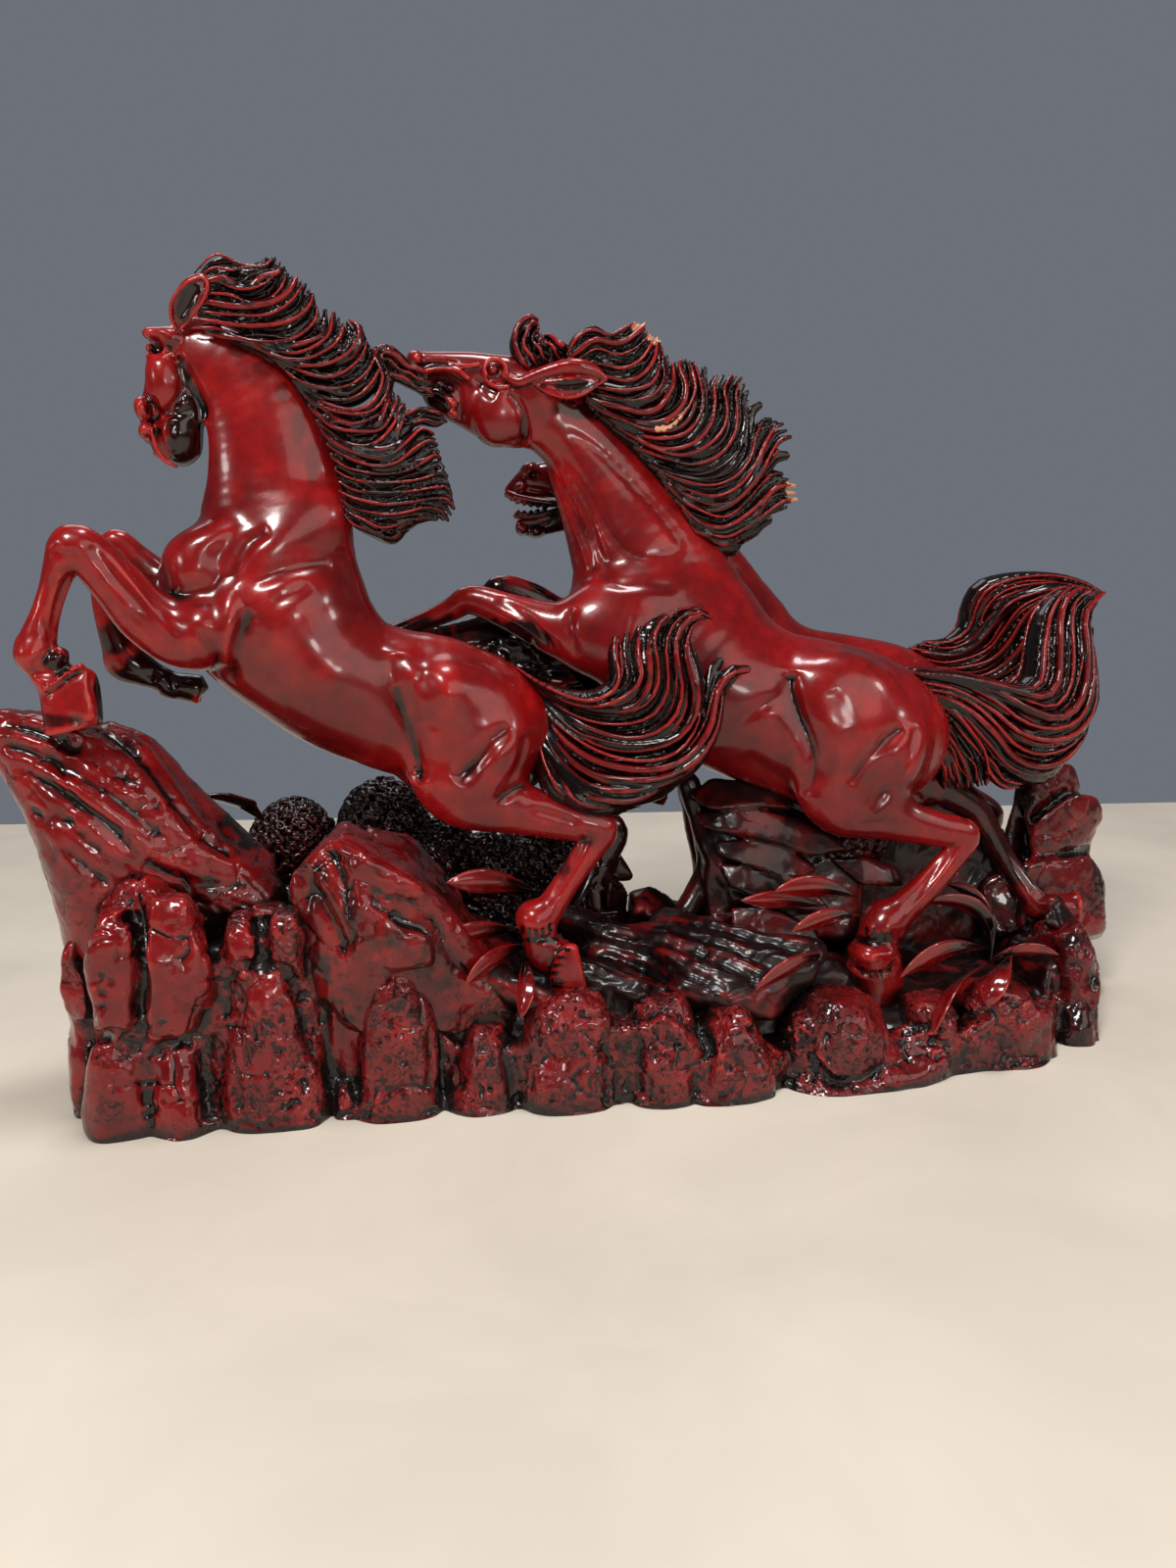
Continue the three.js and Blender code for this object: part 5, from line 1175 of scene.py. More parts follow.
def hair(node, runs, h=None, seed=1, sides=(-1, 1), material=None, chips=(), extra=None, glow=0.0):
    """Sculpted locks: each run is a fan of guide curves in the picture, filled with strands on
    both faces of a core. A run holds guides, y (along the strand), half (half thickness along it),
    pitch (px between strands) and thick (strand radius, mm)."""
    h = H_HAIR if h is None else h
    n = 22
    T = np.linspace(0, 1, n)
    jobs = []
    for ri, run in enumerate(runs):
        G = [resample(g, n) for g in run["guides"]]
        yT = np.interp(T, np.linspace(0, 1, len(run["y"])), run["y"])
        half = np.interp(T, np.linspace(0, 1, len(run["half"])), run["half"])
        jobs.append((ri, run, G, yT, half))
    allp = np.array([at(u, v, y)[0] for _, _, G, yT, _ in jobs for g in G for (u, v, _d), y in zip(g, yT)])
    hm = max(j[4].max() for j in jobs)
    F = Field(allp.min(0) - [5, hm + 5, 5], allp.max(0) + [5, hm + 5, 5], h)
    strands = []
    for ri, run, G, yT, half in jobs:
        pitch = run.get("pitch", 4.8)
        r0 = run.get("thick", 1.05)
        # the core
        for i in range(len(G)):
            for f in ((0.0, 0.5) if i + 1 < len(G) else (0.0,)):
                g = G[i] if f == 0 else (G[i] + G[i + 1]) / 2
                q, m = at_rows(g, yT)
                gaps = []
                for j in (i - 1, i + 1):
                    if 0 <= j < len(G):
                        gaps.append(np.linalg.norm(G[j][:, :2] - G[i][:, :2], axis=1))
                gap = np.min(gaps, axis=0) if gaps else np.full(n, pitch)
                if f:
                    gap = np.linalg.norm(G[i + 1][:, :2] - G[i][:, :2], axis=1)
                R = np.clip(gap * (0.42 if f == 0 else 0.36), 1.5, 16) * m
                R = R * np.interp(T, [0, .1, .8, 1], [.8, 1, .9, .35])
                body = np.maximum(half - (0.8 if f == 0 else 2.0), 0.6)
                K = np.clip(body / R, 0.12, 3.0)
                F.tube(q, R, K, 0.0)
        for i in range(len(G) - (0 if len(G) == 1 else 1)):
            if len(G) == 1:
                fr = [0.0]
            else:
                gap = np.percentile(np.linalg.norm(G[i + 1][:, :2] - G[i][:, :2], axis=1), 70)
                k = max(1, int(round(gap / pitch)))
                fr = [j / k for j in range(k)] + ([1.0] if i == len(G) - 2 else [])
            for j, f in enumerate(fr):
                if len(G) == 1:
                    g = G[i]
                else:
                    fe = (f + (round(f) - f) * run.get("gather", 0.8) * np.clip((T - 0.5) / 0.5, 0, 1) ** 1.5)[:, None]
                    g = G[i] * (1 - fe) + G[i + 1] * fe
                strands.append((ri, i, j, g, yT, half, r0, f))
    count = 0
    for ri, i, j, g, yT, half, r0, f in strands:
        for side in sides:
            a, b, c = lane(i + 31 * ri, j, seed + side), lane(i + 7, j + 3 + ri, seed + side), lane(i + 1, j + 9, seed * 3 + side)
            main = f in (0.0, 1.0)
            big = a > 0.84
            r = r0 * (1.18 if big else 0.50 + 0.38 * a if main else 0.34 + 0.28 * a)
            lift = 0.75 + 0.65 * b if main else -1.25 + 1.25 * b + (0.6 if big else 0.0)
            q, m = at_rows(g, yT)
            tang = np.gradient(q, axis=0)
            tang /= np.linalg.norm(tang, axis=1, keepdims=True) + 1e-9
            across = np.column_stack([tang[:, 2], np.zeros(n), -tang[:, 0]])
            wob = (0.38 if main else 0.85) * np.sin(2 * math.pi * (T * (1.2 + 1.3 * c) + a))
            q = q + across * wob[:, None] * np.interp(T, [0, .2, 1], [0.2, 1, 1])[:, None]
            y = side * (half + (lift + 0.40 * np.sin(2 * math.pi * (T * (1.0 + b) + c))) * np.interp(T, [0, .15, .9, 1], [.3, 1, 1, .4]))
            q[:, 1] += y
            # strands start and end at slightly different places
            t0 = 0.0 if main else 0.10 * c
            t1 = 1.0 if main else 1.0 - 0.13 * b
            tt = np.linspace(t0, t1, n)
            q = np.column_stack([np.interp(tt, T, q[:, k]) for k in range(3)])
            R = r * np.interp(tt, [0, .12, .5, .85, 1], [.55, .9, 1.0, .85, .42])
            F.tube(q, R, np.ones(n), 0.7)
            count += 1
    if extra is not None:
        extra(F)
    v, faces = F.mesh(smooth=1)
    marks = []
    for ri, run, G, yT, half in jobs:
        for i in range(len(G)):
            for g in ([G[i], (G[i] + G[i + 1]) / 2] if i + 1 < len(G) else [G[i]]):
                q, _m = at_rows(g, yT)
                for side in sides:
                    p = q.copy(); p[:, 1] += side * half
                    marks.append(np.column_stack([p, yT, half, T]))
    marks = np.vstack(marks)
    kd = kdtree.KDTree(len(marks))
    for i, p in enumerate(marks[:, :3]):
        kd.insert(p, i)
    kd.balance()
    near = marks[np.array([kd.find(p)[1] for p in v])]
    rise = glow + np.abs(v[:, 1] - near[:, 3]) - near[:, 4] + 1.1 * np.clip((near[:, 5] - 0.80) / 0.15, 0, 1) + 0.5 * np.clip((0.10 - near[:, 5]) / 0.08, 0, 1)
    attrs = {"rise": rise, "hollow": hollow_of(v, faces, 7, 0.42), "broad": hollow_of(v, faces, 40, 1.5),
             "chip": chip_at(v, chips)}
    o = make_object(node + "_form", v, faces, material, attrs)
    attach(o, "root"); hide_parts(node)
    return o, F


def at_rows(g, yT):
    """Rows of (u, v) at depths yT, all together."""
    U, V = g[:, 0], g[:, 1]
    d = CAM_F[None, :] + CAM_R[None, :] * ((U - CENTRE_U) / FOCAL_PX)[:, None] - CAM_U[None, :] * ((V - CENTRE_V) / FOCAL_PX)[:, None]
    t = (yT - CAM_POS[1]) / d[:, 1]
    return CAM_POS[None, :] + d * t[:, None], t / FOCAL_PX


def chip_at(v, chips):
    c = np.zeros(len(v))
    for u, vv, y, r in chips:
        p, m = at(u, vv, y)
        d = np.linalg.norm((v - p) * [1, 0.6, 1], axis=1)
        c = np.maximum(c, np.clip(1.5 - d / (r * m), 0, 1))
    return c


MANE_1 = [dict(y=(-22, -22, -22, -22), half=(8.5, 8.5, 6.5, 2.0), pitch=4.7, thick=1.0, guides=[
    [(203, 286), (215, 274), (230, 269), (245, 273), (258, 277), (268, 272), (272, 263)],
    [(205, 291), (222, 283), (242, 281), (262, 279), (276, 271), (281, 263)],
    [(205, 297), (222, 293), (240, 301), (254, 302), (270, 295), (283, 284), (290, 272)],
    [(206, 304), (222, 306), (240, 309), (256, 315), (274, 311), (287, 298), (294, 280)],
    [(206, 312), (228, 316), (254, 320), (280, 314), (296, 300), (303, 284)],
    [(205, 322), (230, 328), (260, 328), (284, 322), (302, 308), (312, 290)],
    [(203, 332), (232, 335), (262, 338), (288, 337), (306, 328), (317, 312), (319, 300)],
    [(200, 341), (226, 342), (252, 350), (276, 355), (298, 353), (314, 341), (323, 326), (322, 313)],
    [(222, 347), (252, 354), (280, 362), (304, 364), (324, 356), (338, 342), (341, 320)],
    [(248, 354), (272, 364), (296, 371), (320, 370), (340, 358), (349, 342), (350, 330)],
    [(266, 361), (288, 371), (312, 377), (336, 377), (354, 367), (363, 352), (366, 336), (356, 326)],
    [(278, 369), (300, 381), (326, 388), (350, 385), (367, 372), (373, 356), (372, 346)],
    [(288, 378), (310, 393), (336, 401), (360, 397), (375, 383), (381, 368), (379, 356)],
    [(298, 388), (318, 404), (342, 411), (366, 407), (382, 393), (388, 376), (386, 360)],
]),
    dict(y=(-22, -22, -21, -18), half=(8.5, 8.0, 6.0, 1.8), pitch=4.7, thick=1.0, guides=[
    [(302, 394), (324, 412), (350, 421), (374, 418), (388, 402), (392, 384), (384, 366), (390, 355), (402, 356), (414, 366), (420, 373)],
    [(306, 400), (328, 417), (354, 427), (378, 424), (392, 408), (397, 388), (391, 368), (396, 360), (408, 364), (418, 374)],
]),
    dict(y=(-22, -22, -21, -21), half=(8.0, 8.5, 6.5, 2.0), pitch=4.8, thick=1.0, guides=[
    [(308, 404), (330, 422), (356, 434), (380, 431), (394, 416), (399, 398)],
    [(318, 420), (338, 436), (362, 444), (386, 441), (399, 427), (405, 412), (406, 404)],
    [(324, 432), (344, 449), (368, 457), (389, 452), (402, 437), (407, 420), (411, 411)],
    [(330, 443), (350, 460), (376, 468), (400, 464), (418, 450), (430, 440), (442, 443)],
    [(335, 456), (356, 470), (382, 477), (406, 473), (424, 460), (438, 451), (446, 454)],
    [(338, 468), (358, 480), (386, 487), (412, 483), (432, 472), (444, 464), (449, 468)],
    [(341, 480), (360, 490), (388, 496), (414, 493), (436, 487), (450, 482), (455, 486)],
    [(344, 492), (364, 501), (392, 506), (418, 503), (440, 498), (455, 497), (460, 505)],
    [(347, 502), (366, 512), (392, 517), (418, 513), (440, 509), (456, 510), (463, 519)],
    [(349, 511), (368, 522), (392, 527), (414, 523), (434, 519), (450, 523), (457, 531)],
    [(351, 519), (368, 531), (388, 538), (406, 537), (420, 531), (432, 528)],
    [(352, 526), (366, 538), (384, 545), (400, 548), (412, 541)],
]),
    dict(y=(-21, -19, -17), half=(2.4, 3.0, 2.0), pitch=4.5, thick=0.9, guides=[
    [(384, 356), (398, 362), (412, 372), (424, 378), (436, 384)],
    [(386, 366), (400, 372), (414, 382), (428, 388), (440, 392)],
    [(392, 380), (404, 384), (418, 392), (430, 398), (442, 402)],
]),
    dict(y=(-21, -19, -17), half=(3.0, 3.0, 2.0), pitch=4.5, thick=0.9, guides=[
    [(400, 432), (412, 424), (426, 420), (440, 420), (452, 424)],
    [(402, 442), (416, 434), (430, 430), (444, 432), (456, 430)],
])]

MANE_2 = [dict(y=(8, 7, 7), half=(4.0, 4.5, 1.5), pitch=5.0, thick=1.0, guides=[
    [(538, 378), (528, 366), (524, 350), (530, 333), (540, 324), (549, 327)],
    [(548, 376), (538, 364), (533, 350), (537, 338), (544, 331), (550, 333)],
    [(560, 374), (550, 362), (543, 350), (544, 340), (550, 337)],
    [(572, 372), (564, 360), (554, 350), (549, 341)],
    [(584, 368), (576, 358), (566, 350), (556, 343)],
]),
    dict(y=(7, 7, 7), half=(6.5, 8.0, 6.5, 2.2), pitch=5.0, thick=1.05, guides=[
    [(576, 366), (588, 347), (603, 340), (620, 346), (636, 338), (648, 330)],
    [(578, 370), (598, 354), (620, 354), (638, 350), (650, 341), (656, 331)],
    [(580, 376), (604, 362), (628, 365), (645, 360), (655, 349), (661, 338)],
    [(584, 384), (608, 376), (632, 379), (650, 372), (660, 357), (664, 342)],
    [(588, 391), (612, 387), (636, 392), (654, 385), (665, 368), (668, 345)],
    [(592, 397), (614, 399), (638, 403), (658, 396), (669, 378), (671, 362), (672, 348)],
    [(594, 402), (616, 407), (640, 413), (662, 406), (673, 388), (674, 372), (676, 356)],
    [(596, 408), (620, 417), (646, 424), (668, 418), (682, 400), (684, 382), (684, 372)],
    [(598, 413), (622, 426), (648, 435), (672, 434), (690, 418), (696, 396), (692, 378), (694, 368)],
    [(602, 418), (626, 431), (654, 440), (680, 437), (698, 420), (705, 398), (703, 380), (699, 366)],
    [(612, 427), (638, 440), (664, 450), (690, 448), (706, 432), (713, 410), (712, 388), (707, 370)],
    [(624, 438), (650, 452), (676, 460), (702, 455), (720, 438), (726, 414), (725, 396), (730, 384)],
    [(636, 448), (662, 460), (688, 466), (714, 460), (731, 442), (737, 418), (737, 398), (746, 383)],
    [(645, 458), (672, 470), (700, 476), (726, 467), (744, 446), (749, 422), (748, 402), (756, 385)],
    [(653, 467), (680, 480), (710, 485), (736, 475), (753, 454), (758, 430), (757, 412), (762, 400)],
    [(661, 476), (686, 490), (714, 498), (740, 490), (760, 470), (768, 446), (776, 430), (786, 428)],
    [(668, 484), (692, 500), (720, 508), (746, 498), (765, 478), (776, 455), (787, 437), (798, 433)],
    [(674, 492), (698, 510), (726, 517), (750, 506), (768, 487), (782, 466), (794, 450), (806, 446)],
    [(679, 502), (704, 521), (732, 528), (756, 514), (772, 496), (784, 484), (797, 484)],
    [(685, 512), (708, 532), (734, 539), (758, 526), (776, 508), (790, 497), (810, 496)],
    [(691, 522), (712, 541), (736, 548), (760, 537), (780, 521), (796, 512), (812, 510)],
    [(698, 532), (716, 550), (736, 556), (754, 551)],
])]

MANE_3 = [dict(y=(42, 42, 42), half=(5.5, 6.5, 2.0), pitch=5.2, thick=1.0, guides=[
    [(628, 474), (634, 458), (646, 450), (658, 452)],
    [(640, 478), (652, 462), (668, 458), (680, 462)],
    [(648, 488), (668, 476), (686, 476), (700, 482)],
    [(656, 500), (676, 494), (696, 496), (712, 504)],
    [(668, 520), (688, 514), (708, 520), (724, 530)],
    [(678, 540), (698, 538), (716, 546), (730, 558)],
    [(690, 560), (708, 562), (726, 566), (742, 562)],
    [(698, 574), (714, 578), (732, 580), (745, 576)],
    [(706, 588), (720, 592), (736, 594), (746, 588)],
    [(712, 600), (726, 606), (740, 606), (748, 600)],
    [(720, 612), (732, 618), (744, 616)],
])]

TAIL_1 = [dict(y=(-19, -27, -33, -34, -33), half=(3.0, 6.0, 8.0, 7.5, 2.2), pitch=5.2, thick=1.15, guides=[
    [(526, 680), (550, 697), (576, 708), (602, 711), (622, 703), (629, 688), (626, 668), (628, 652)],
    [(528, 683), (554, 702), (584, 715), (614, 717), (638, 706), (649, 688), (648, 664), (652, 642)],
    [(530, 686), (558, 707), (590, 722), (624, 726), (650, 718), (664, 700), (666, 676), (663, 654), (670, 636), (688, 624), (704, 620)],
    [(532, 690), (562, 714), (594, 731), (628, 737), (658, 730), (674, 710), (677, 686), (674, 662), (680, 640), (696, 625), (716, 620)],
    [(534, 694), (566, 721), (598, 740), (634, 749), (666, 743), (686, 725), (692, 700), (687, 674), (685, 650), (697, 631), (714, 625), (727, 631)],
    [(536, 699), (568, 731), (602, 754), (640, 763), (676, 757), (698, 738), (706, 710), (703, 684), (698, 658), (704, 640), (716, 630)],
]),
    dict(y=(-20, -27, -33, -33, -30), half=(3.5, 6.5, 8.0, 7.0, 2.0), pitch=5.2, thick=1.15, guides=[
    [(538, 703), (568, 738), (604, 763), (644, 772), (680, 766), (702, 746), (712, 718), (711, 690), (706, 668)],
    [(542, 708), (568, 746), (602, 772), (642, 782), (680, 777), (706, 759), (722, 733), (728, 706), (738, 690), (750, 684), (762, 683)],
    [(544, 714), (566, 756), (598, 784), (638, 793), (676, 789), (706, 770), (724, 744), (732, 718), (736, 700)],
    [(545, 720), (564, 765), (594, 796), (630, 804), (664, 799), (694, 784), (716, 764), (728, 742)],
    [(546, 727), (561, 772), (588, 804), (620, 813), (652, 809), (682, 796), (704, 780)],
    [(546, 735), (558, 778), (580, 808), (606, 819), (634, 818), (656, 812)],
    [(547, 745), (555, 782), (572, 806), (592, 817)],
])]

TAIL_2 = [dict(y=(-4, -5, -4, 2, 8), half=(3.0, 6.5, 8.0, 7.0, 2.0), pitch=5.6, thick=1.25, guides=[
    [(934, 683), (966, 685), (1000, 692), (1026, 700), (1046, 699), (1054, 682), (1056, 656), (1062, 628), (1078, 606), (1092, 599)],
    [(930, 683), (966, 687), (1002, 696), (1032, 706), (1056, 708), (1068, 692), (1070, 664), (1073, 632), (1084, 609), (1102, 599)],
    [(926, 684), (966, 688), (1006, 700), (1036, 713), (1062, 719), (1078, 704), (1083, 676), (1084, 640), (1092, 613), (1112, 601)],
    [(922, 685), (964, 690), (1006, 703), (1036, 721), (1062, 730), (1084, 722), (1096, 696), (1099, 658), (1101, 626), (1124, 605)],
    [(924, 689), (966, 695), (1006, 713), (1034, 733), (1064, 741), (1090, 732), (1103, 706), (1106, 670), (1106, 640), (1112, 624)],
    [(926, 694), (968, 702), (1004, 722), (1030, 745), (1060, 753), (1088, 745), (1106, 720), (1111, 688), (1112, 662)],
    [(928, 699), (970, 709), (1003, 733), (1026, 757), (1054, 766), (1082, 759), (1102, 738), (1112, 708)],
    [(930, 704), (970, 716), (1001, 744), (1022, 768), (1048, 778), (1074, 773), (1096, 753), (1109, 728)],
    [(932, 709), (970, 723), (998, 753), (1017, 777), (1042, 788), (1066, 785), (1088, 768)],
]),
    dict(y=(-4, -6, -6, -4), half=(3.0, 5.5, 5.5, 2.0), pitch=5.6, thick=1.15, guides=[
    [(934, 714), (966, 726), (990, 752), (1002, 780), (1006, 801)],
    [(934, 720), (962, 737), (984, 764), (994, 786), (998, 802)],
    [(934, 727), (957, 746), (975, 772), (984, 792), (987, 803)],
    [(934, 734), (952, 755), (966, 778), (973, 794), (976, 804)],
    [(934, 742), (947, 763), (956, 782), (960, 796), (963, 804)],
]),
    dict(y=(-5, -6, -5), half=(2.5, 3.0, 1.6), pitch=5.5, thick=1.1, guides=[
    [(1000, 764), (1012, 784), (1026, 797), (1042, 799)],
    [(996, 770), (1010, 792), (1024, 803), (1038, 803)],
])]

TAIL_3 = [dict(y=(41, 40, 37, 32, 24), half=(3.0, 5.5, 7.0, 6.0, 2.0), pitch=5.6, thick=1.2, guides=[
    [(944, 655), (966, 654), (984, 640), (989, 618), (1000, 600), (1022, 591), (1050, 588), (1080, 590), (1108, 597), (1125, 606)],
    [(940, 658), (966, 660), (988, 646), (996, 624), (1012, 606), (1036, 598), (1062, 595), (1088, 596), (1112, 601)],
    [(930, 662), (964, 667), (992, 654), (1006, 632), (1024, 614), (1046, 605), (1070, 600), (1094, 600)],
    [(924, 667), (962, 675), (996, 664), (1014, 642), (1030, 622), (1050, 612), (1072, 605)],
    [(920, 672), (958, 682), (996, 674), (1020, 654), (1036, 632), (1052, 618), (1070, 610)],
    [(926, 680), (962, 692), (1000, 686), (1026, 668), (1042, 644), (1056, 624), (1070, 614)],
    [(934, 692), (966, 704), (1004, 700), (1034, 684), (1050, 658), (1062, 634), (1074, 616)],
])]

# ---- rocks, berries and leaves ---------------------------------------------------------------------
FRONT_EDGE = [(-190, -14), (-186, -30), (-178, -42), (-170, -50), (-142, -58), (-110, -59), (-99, -53), (-78, -60), (-61, -55), (-30, -65), (2, -66), (22, -70), (46, -71), (63, -63), (82, -71), (124, -66), (165, -60), (178, -42), (194, -45), (208, -19)]
BACK_EDGE = [(-190, 6), (-180, 34), (-165, 48), (-130, 58), (-60, 62), (20, 64), (100, 63), (160, 64), (192, 56), (204, 36), (208, 10)]


def spline_rows(ax, scale, m, off):
    """Weights that spread m lattice values smoothly along an axis."""
    t = (ax - off) / scale
    i = np.floor(t).astype(int)
    f = t - i
    W = np.zeros((len(ax), m), np.float32)
    w = [(1 - f) ** 3 / 6, (3 * f ** 3 - 6 * f ** 2 + 4) / 6, (-3 * f ** 3 + 3 * f ** 2 + 3 * f + 1) / 6, f ** 3 / 6]
    for k in range(4):
        j = np.clip(i + k, 0, m - 1)
        W[np.arange(len(ax)), j] += w[k]
    return W


def cloud_grid(F, scale, seed, sy=None, sz=None):
    """Smooth seeded noise over a whole field, about -1 to 1."""
    sc = (scale, sy or scale, sz or scale)
    rows = []
    for a in range(3):
        off = F.lo[a] - 2 * sc[a]
        m = int((F.ax[a][-1] - off) / sc[a]) + 6
        rows.append((spline_rows(F.ax[a], sc[a], m, off), m))
    R = np.random.RandomState(seed).uniform(-1, 1, (rows[0][1], rows[1][1], rows[2][1])).astype(np.float32) * 2.2
    T = np.tensordot(rows[0][0], R, (1, 0))
    T = np.tensordot(T, rows[1][0], (1, 1))
    T = np.tensordot(T, rows[2][0], (1, 1))
    return T


def hull_planes(points):
    bm = bmesh.new()
    for p in points:
        bm.verts.new(tuple(float(x) for x in p))
    bmesh.ops.convex_hull(bm, input=bm.verts[:], use_existing_faces=False)
    bm.normal_update()
    c = np.mean(np.asarray(points, float), axis=0)
    out = []
    for f in bm.faces:
        n = np.array(f.normal)
        q = float(n @ (np.array(f.verts[0].co) - c))
        if q < 0:
            n, q = -n, -q
        if not any(n @ m > 0.999 and abs(q - r) < 0.3 for m, r in out):
            out.append((n, q))
    bm.free()
    return c, out


def slab(F, rows, k=1.0, round_=2.0, warp=None, amp=0.0):
    """A faceted rock: the convex hull of points given as (u, v, y)."""
    P = np.array([at(*r)[0] for r in rows])
    c, planes = hull_planes(P)
    lo, hi = P.min(0) - 4, P.max(0) + 4
    w = F.window(lo, hi)
    if w is None:
        return
    sl, X, Y, Z = w
    x, y, z = X - np.float32(c[0]), Y - np.float32(c[1]), Z - np.float32(c[2])
    if warp is not None:
        x = x + warp[0][sl] * amp; y = y + warp[1][sl] * amp; z = z + warp[2][sl] * amp
    d = None
    for n, q in planes:
        e = (x * n[0] + y * n[1] + z * n[2] - q).astype(np.float32)
        if d is None:
            d = e
        else:
            h = np.maximum(round_ - np.abs(d - e), 0) / round_
            d = np.maximum(d, e) + h * h * round_ * 0.25
    F.put(sl, d, k)


def stone(F, u0, u1, v0, v1, yf, ry, warp, amp=1.6, p=2.6, q=3.0, k=0.6, lean=0.0, taper=0.1, facets=7):
    """A rounded boulder seen from u0 to u1 and from v0 down to v1 (None: it stands on the ground),
    its front at yf mm, half its depth ry."""
    um = (u0 + u1) / 2
    yc = yf + ry
    pt, m = at(um, v0, yf + ry * 0.55)
    cx = at(um, v0 if v1 is None else (v0 + v1) / 2, yf + 3)[0][0]
    rx = (u1 - u0) / 2 * at(um, v0, yf + 4)[1]
    if v1 is None:
        cz, rz = 0.0, pt[2]
    else:
        zb = at(um, v1, yf + ry * 0.3)[0][2]
        cz, rz = (pt[2] + zb) / 2, (pt[2] - zb) / 2
    lo = np.array([cx - rx - 8, yc - ry - 8, cz - rz - 8]); hi = np.array([cx + rx + 8, yc + ry + 8, cz + rz + 8])
    w = F.window(lo, hi)
    if w is None:
        return
    sl, X, Y, Z = w
    z = (Z - cz + warp[2][sl] * amp) / rz
    x = (X - cx - lean * (Z - cz) + warp[0][sl] * amp) / rx
    y = (Y - yc + warp[1][sl] * amp) / ry
    t = 1 + taper * z
    r = (np.abs(x * t) ** p + np.abs(y * t) ** p) ** (1 / p)
    f = (r ** q + np.abs(z) ** q) ** (1 / q) - 1
    # a few worn flats, mostly on the side that is seen
    rnd = np.random.RandomState(int(u0 * 7 + v0) % 100000)
    for _ in range(facets):
        n = unit([rnd.normal(0, 1.0), -abs(rnd.normal(0.5, 0.7)), rnd.normal(0.25, 0.7)])
        e = p / (p - 1)
        reach = (np.abs(n) ** e).sum() ** (1 / e)
        g = x * n[0] + y * n[1] + z * n[2] - reach * rnd.uniform(0.84, 0.96)
        h = np.maximum(0.10 - np.abs(f - g), 0) / 0.10
        f = np.maximum(f, g) + h * h * 0.025
    F.put(sl, (f * min(rx, ry, max(rz, 1.0)) * 0.92).astype(np.float32), k)


def roughen(v, faces, seed, pits=1.0, cracks=0.0, lumps=0.5, pit_scale=3.4, flat_below=1.0, where=None, grain=0.12):
    """Works the cast rock's surface: shallow lumps, round pits in patches and a few cracks."""
    n = normals(v, faces)
    d = lumps * noise3(v, 9.0, seed, 3)
    if pits:
        w = v * [1.0, 1.0, 0.8] + 0.9 * np.column_stack([noise3(v, 2.6, seed + 1), noise3(v, 2.6, seed + 2), noise3(v, 2.6, seed + 3)])
        e1 = noise3(w, pit_scale * 1.15, seed + 4, 3, 0.6)
        e2 = noise3(w, pit_scale * 0.62, seed + 5, 2, 0.6)
        patch = np.clip(noise3(v, 12.0, seed + 6, 2) * 3.2 + 0.15, 0, 1)
        patch2 = np.clip(noise3(v, 9.0, seed + 7, 2) * 3.2 + 0.0, 0, 1)
        hole = np.clip((e1 - 0.16) / 0.13, 0, 1) * patch * 1.0 + np.clip((e2 - 0.17) / 0.16, 0, 1) * patch2 * 0.6
        lip = np.exp(-((e1 - 0.10) / 0.05) ** 2) * patch * 0.12
        if where is not None:
            hole = hole * where; lip = lip * where
        d = d - pits * hole + pits * lip
    if cracks:
        w = v + 3.0 * np.column_stack([noise3(v, 8.0, seed + 5), noise3(v, 8.0, seed + 6), noise3(v, 8.0, seed + 7)])
        d1, d2 = cells3(w, 17.0, seed + 8)
        line = np.exp(-((d2 - d1) / 0.055) ** 2) * np.clip(noise3(v, 25.0, seed + 9, 2) * 2 + 0.7, 0, 1)
        d = d - cracks * line
    d = d + grain * noise3(v, 1.8, seed + 11, 2)
    d = d * np.clip((v[:, 2] - 0.3) / flat_below, 0, 1)
    return v + n * d[:, None]


def ground_flat(v):
    """Seats the underside on the floor."""
    v = v.copy()
    v[:, 2] = np.maximum(v[:, 2], 0.0)
    return v


def rock_piece(name, node, F, material, seed, pits, cracks, lumps, smooth=2, hollow_size=0.55, where=None, pit_scale=3.4, grain=0.12, cuts=()):
    v, faces = F.mesh(smooth=smooth)
    wh = None if where is None else where(v)
    v = roughen(v, faces, seed, pits, cracks, lumps, where=wh, pit_scale=pit_scale, grain=grain)
    v = ground_flat(v)
    attrs = {"hollow": hollow_of(v, faces, 8, hollow_size), "broad": hollow_of(v, faces, 45, 2.2),
             "chip": np.zeros(len(v)), "pitty": np.full(len(v), 0.3) if wh is None else wh}
    if cuts:
        # too large for one piece: the same surface in lengths
        nrm = normals(v, faces)
        lab = np.searchsorted(np.array(cuts, float), v[:, 0])
        ql = np.sort(lab[faces.q], axis=1)[:, 1]
        tl = np.sort(lab[faces.t], axis=1)[:, 1] if len(faces.t) else np.zeros(0, int)
        for j in range(len(cuts) + 1):
            pv, pf, pa, pn = closed_part(v, faces.take(ql == j, tl == j), attrs, nrm)
            o = make_object("%s_%d" % (name, j + 1), pv, pf, material, pa, pn)
            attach(o, "root"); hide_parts(node)
        return None
    o = make_object(name, v, faces, material, attrs)
    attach(o, "root"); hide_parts(node)
    return o


def warps(F, scale, seed):
    return [cloud_grid(F, scale, seed + i) * 0.7 + cloud_grid(F, scale * 0.42, seed + 10 + i) * 0.32 for i in range(3)]


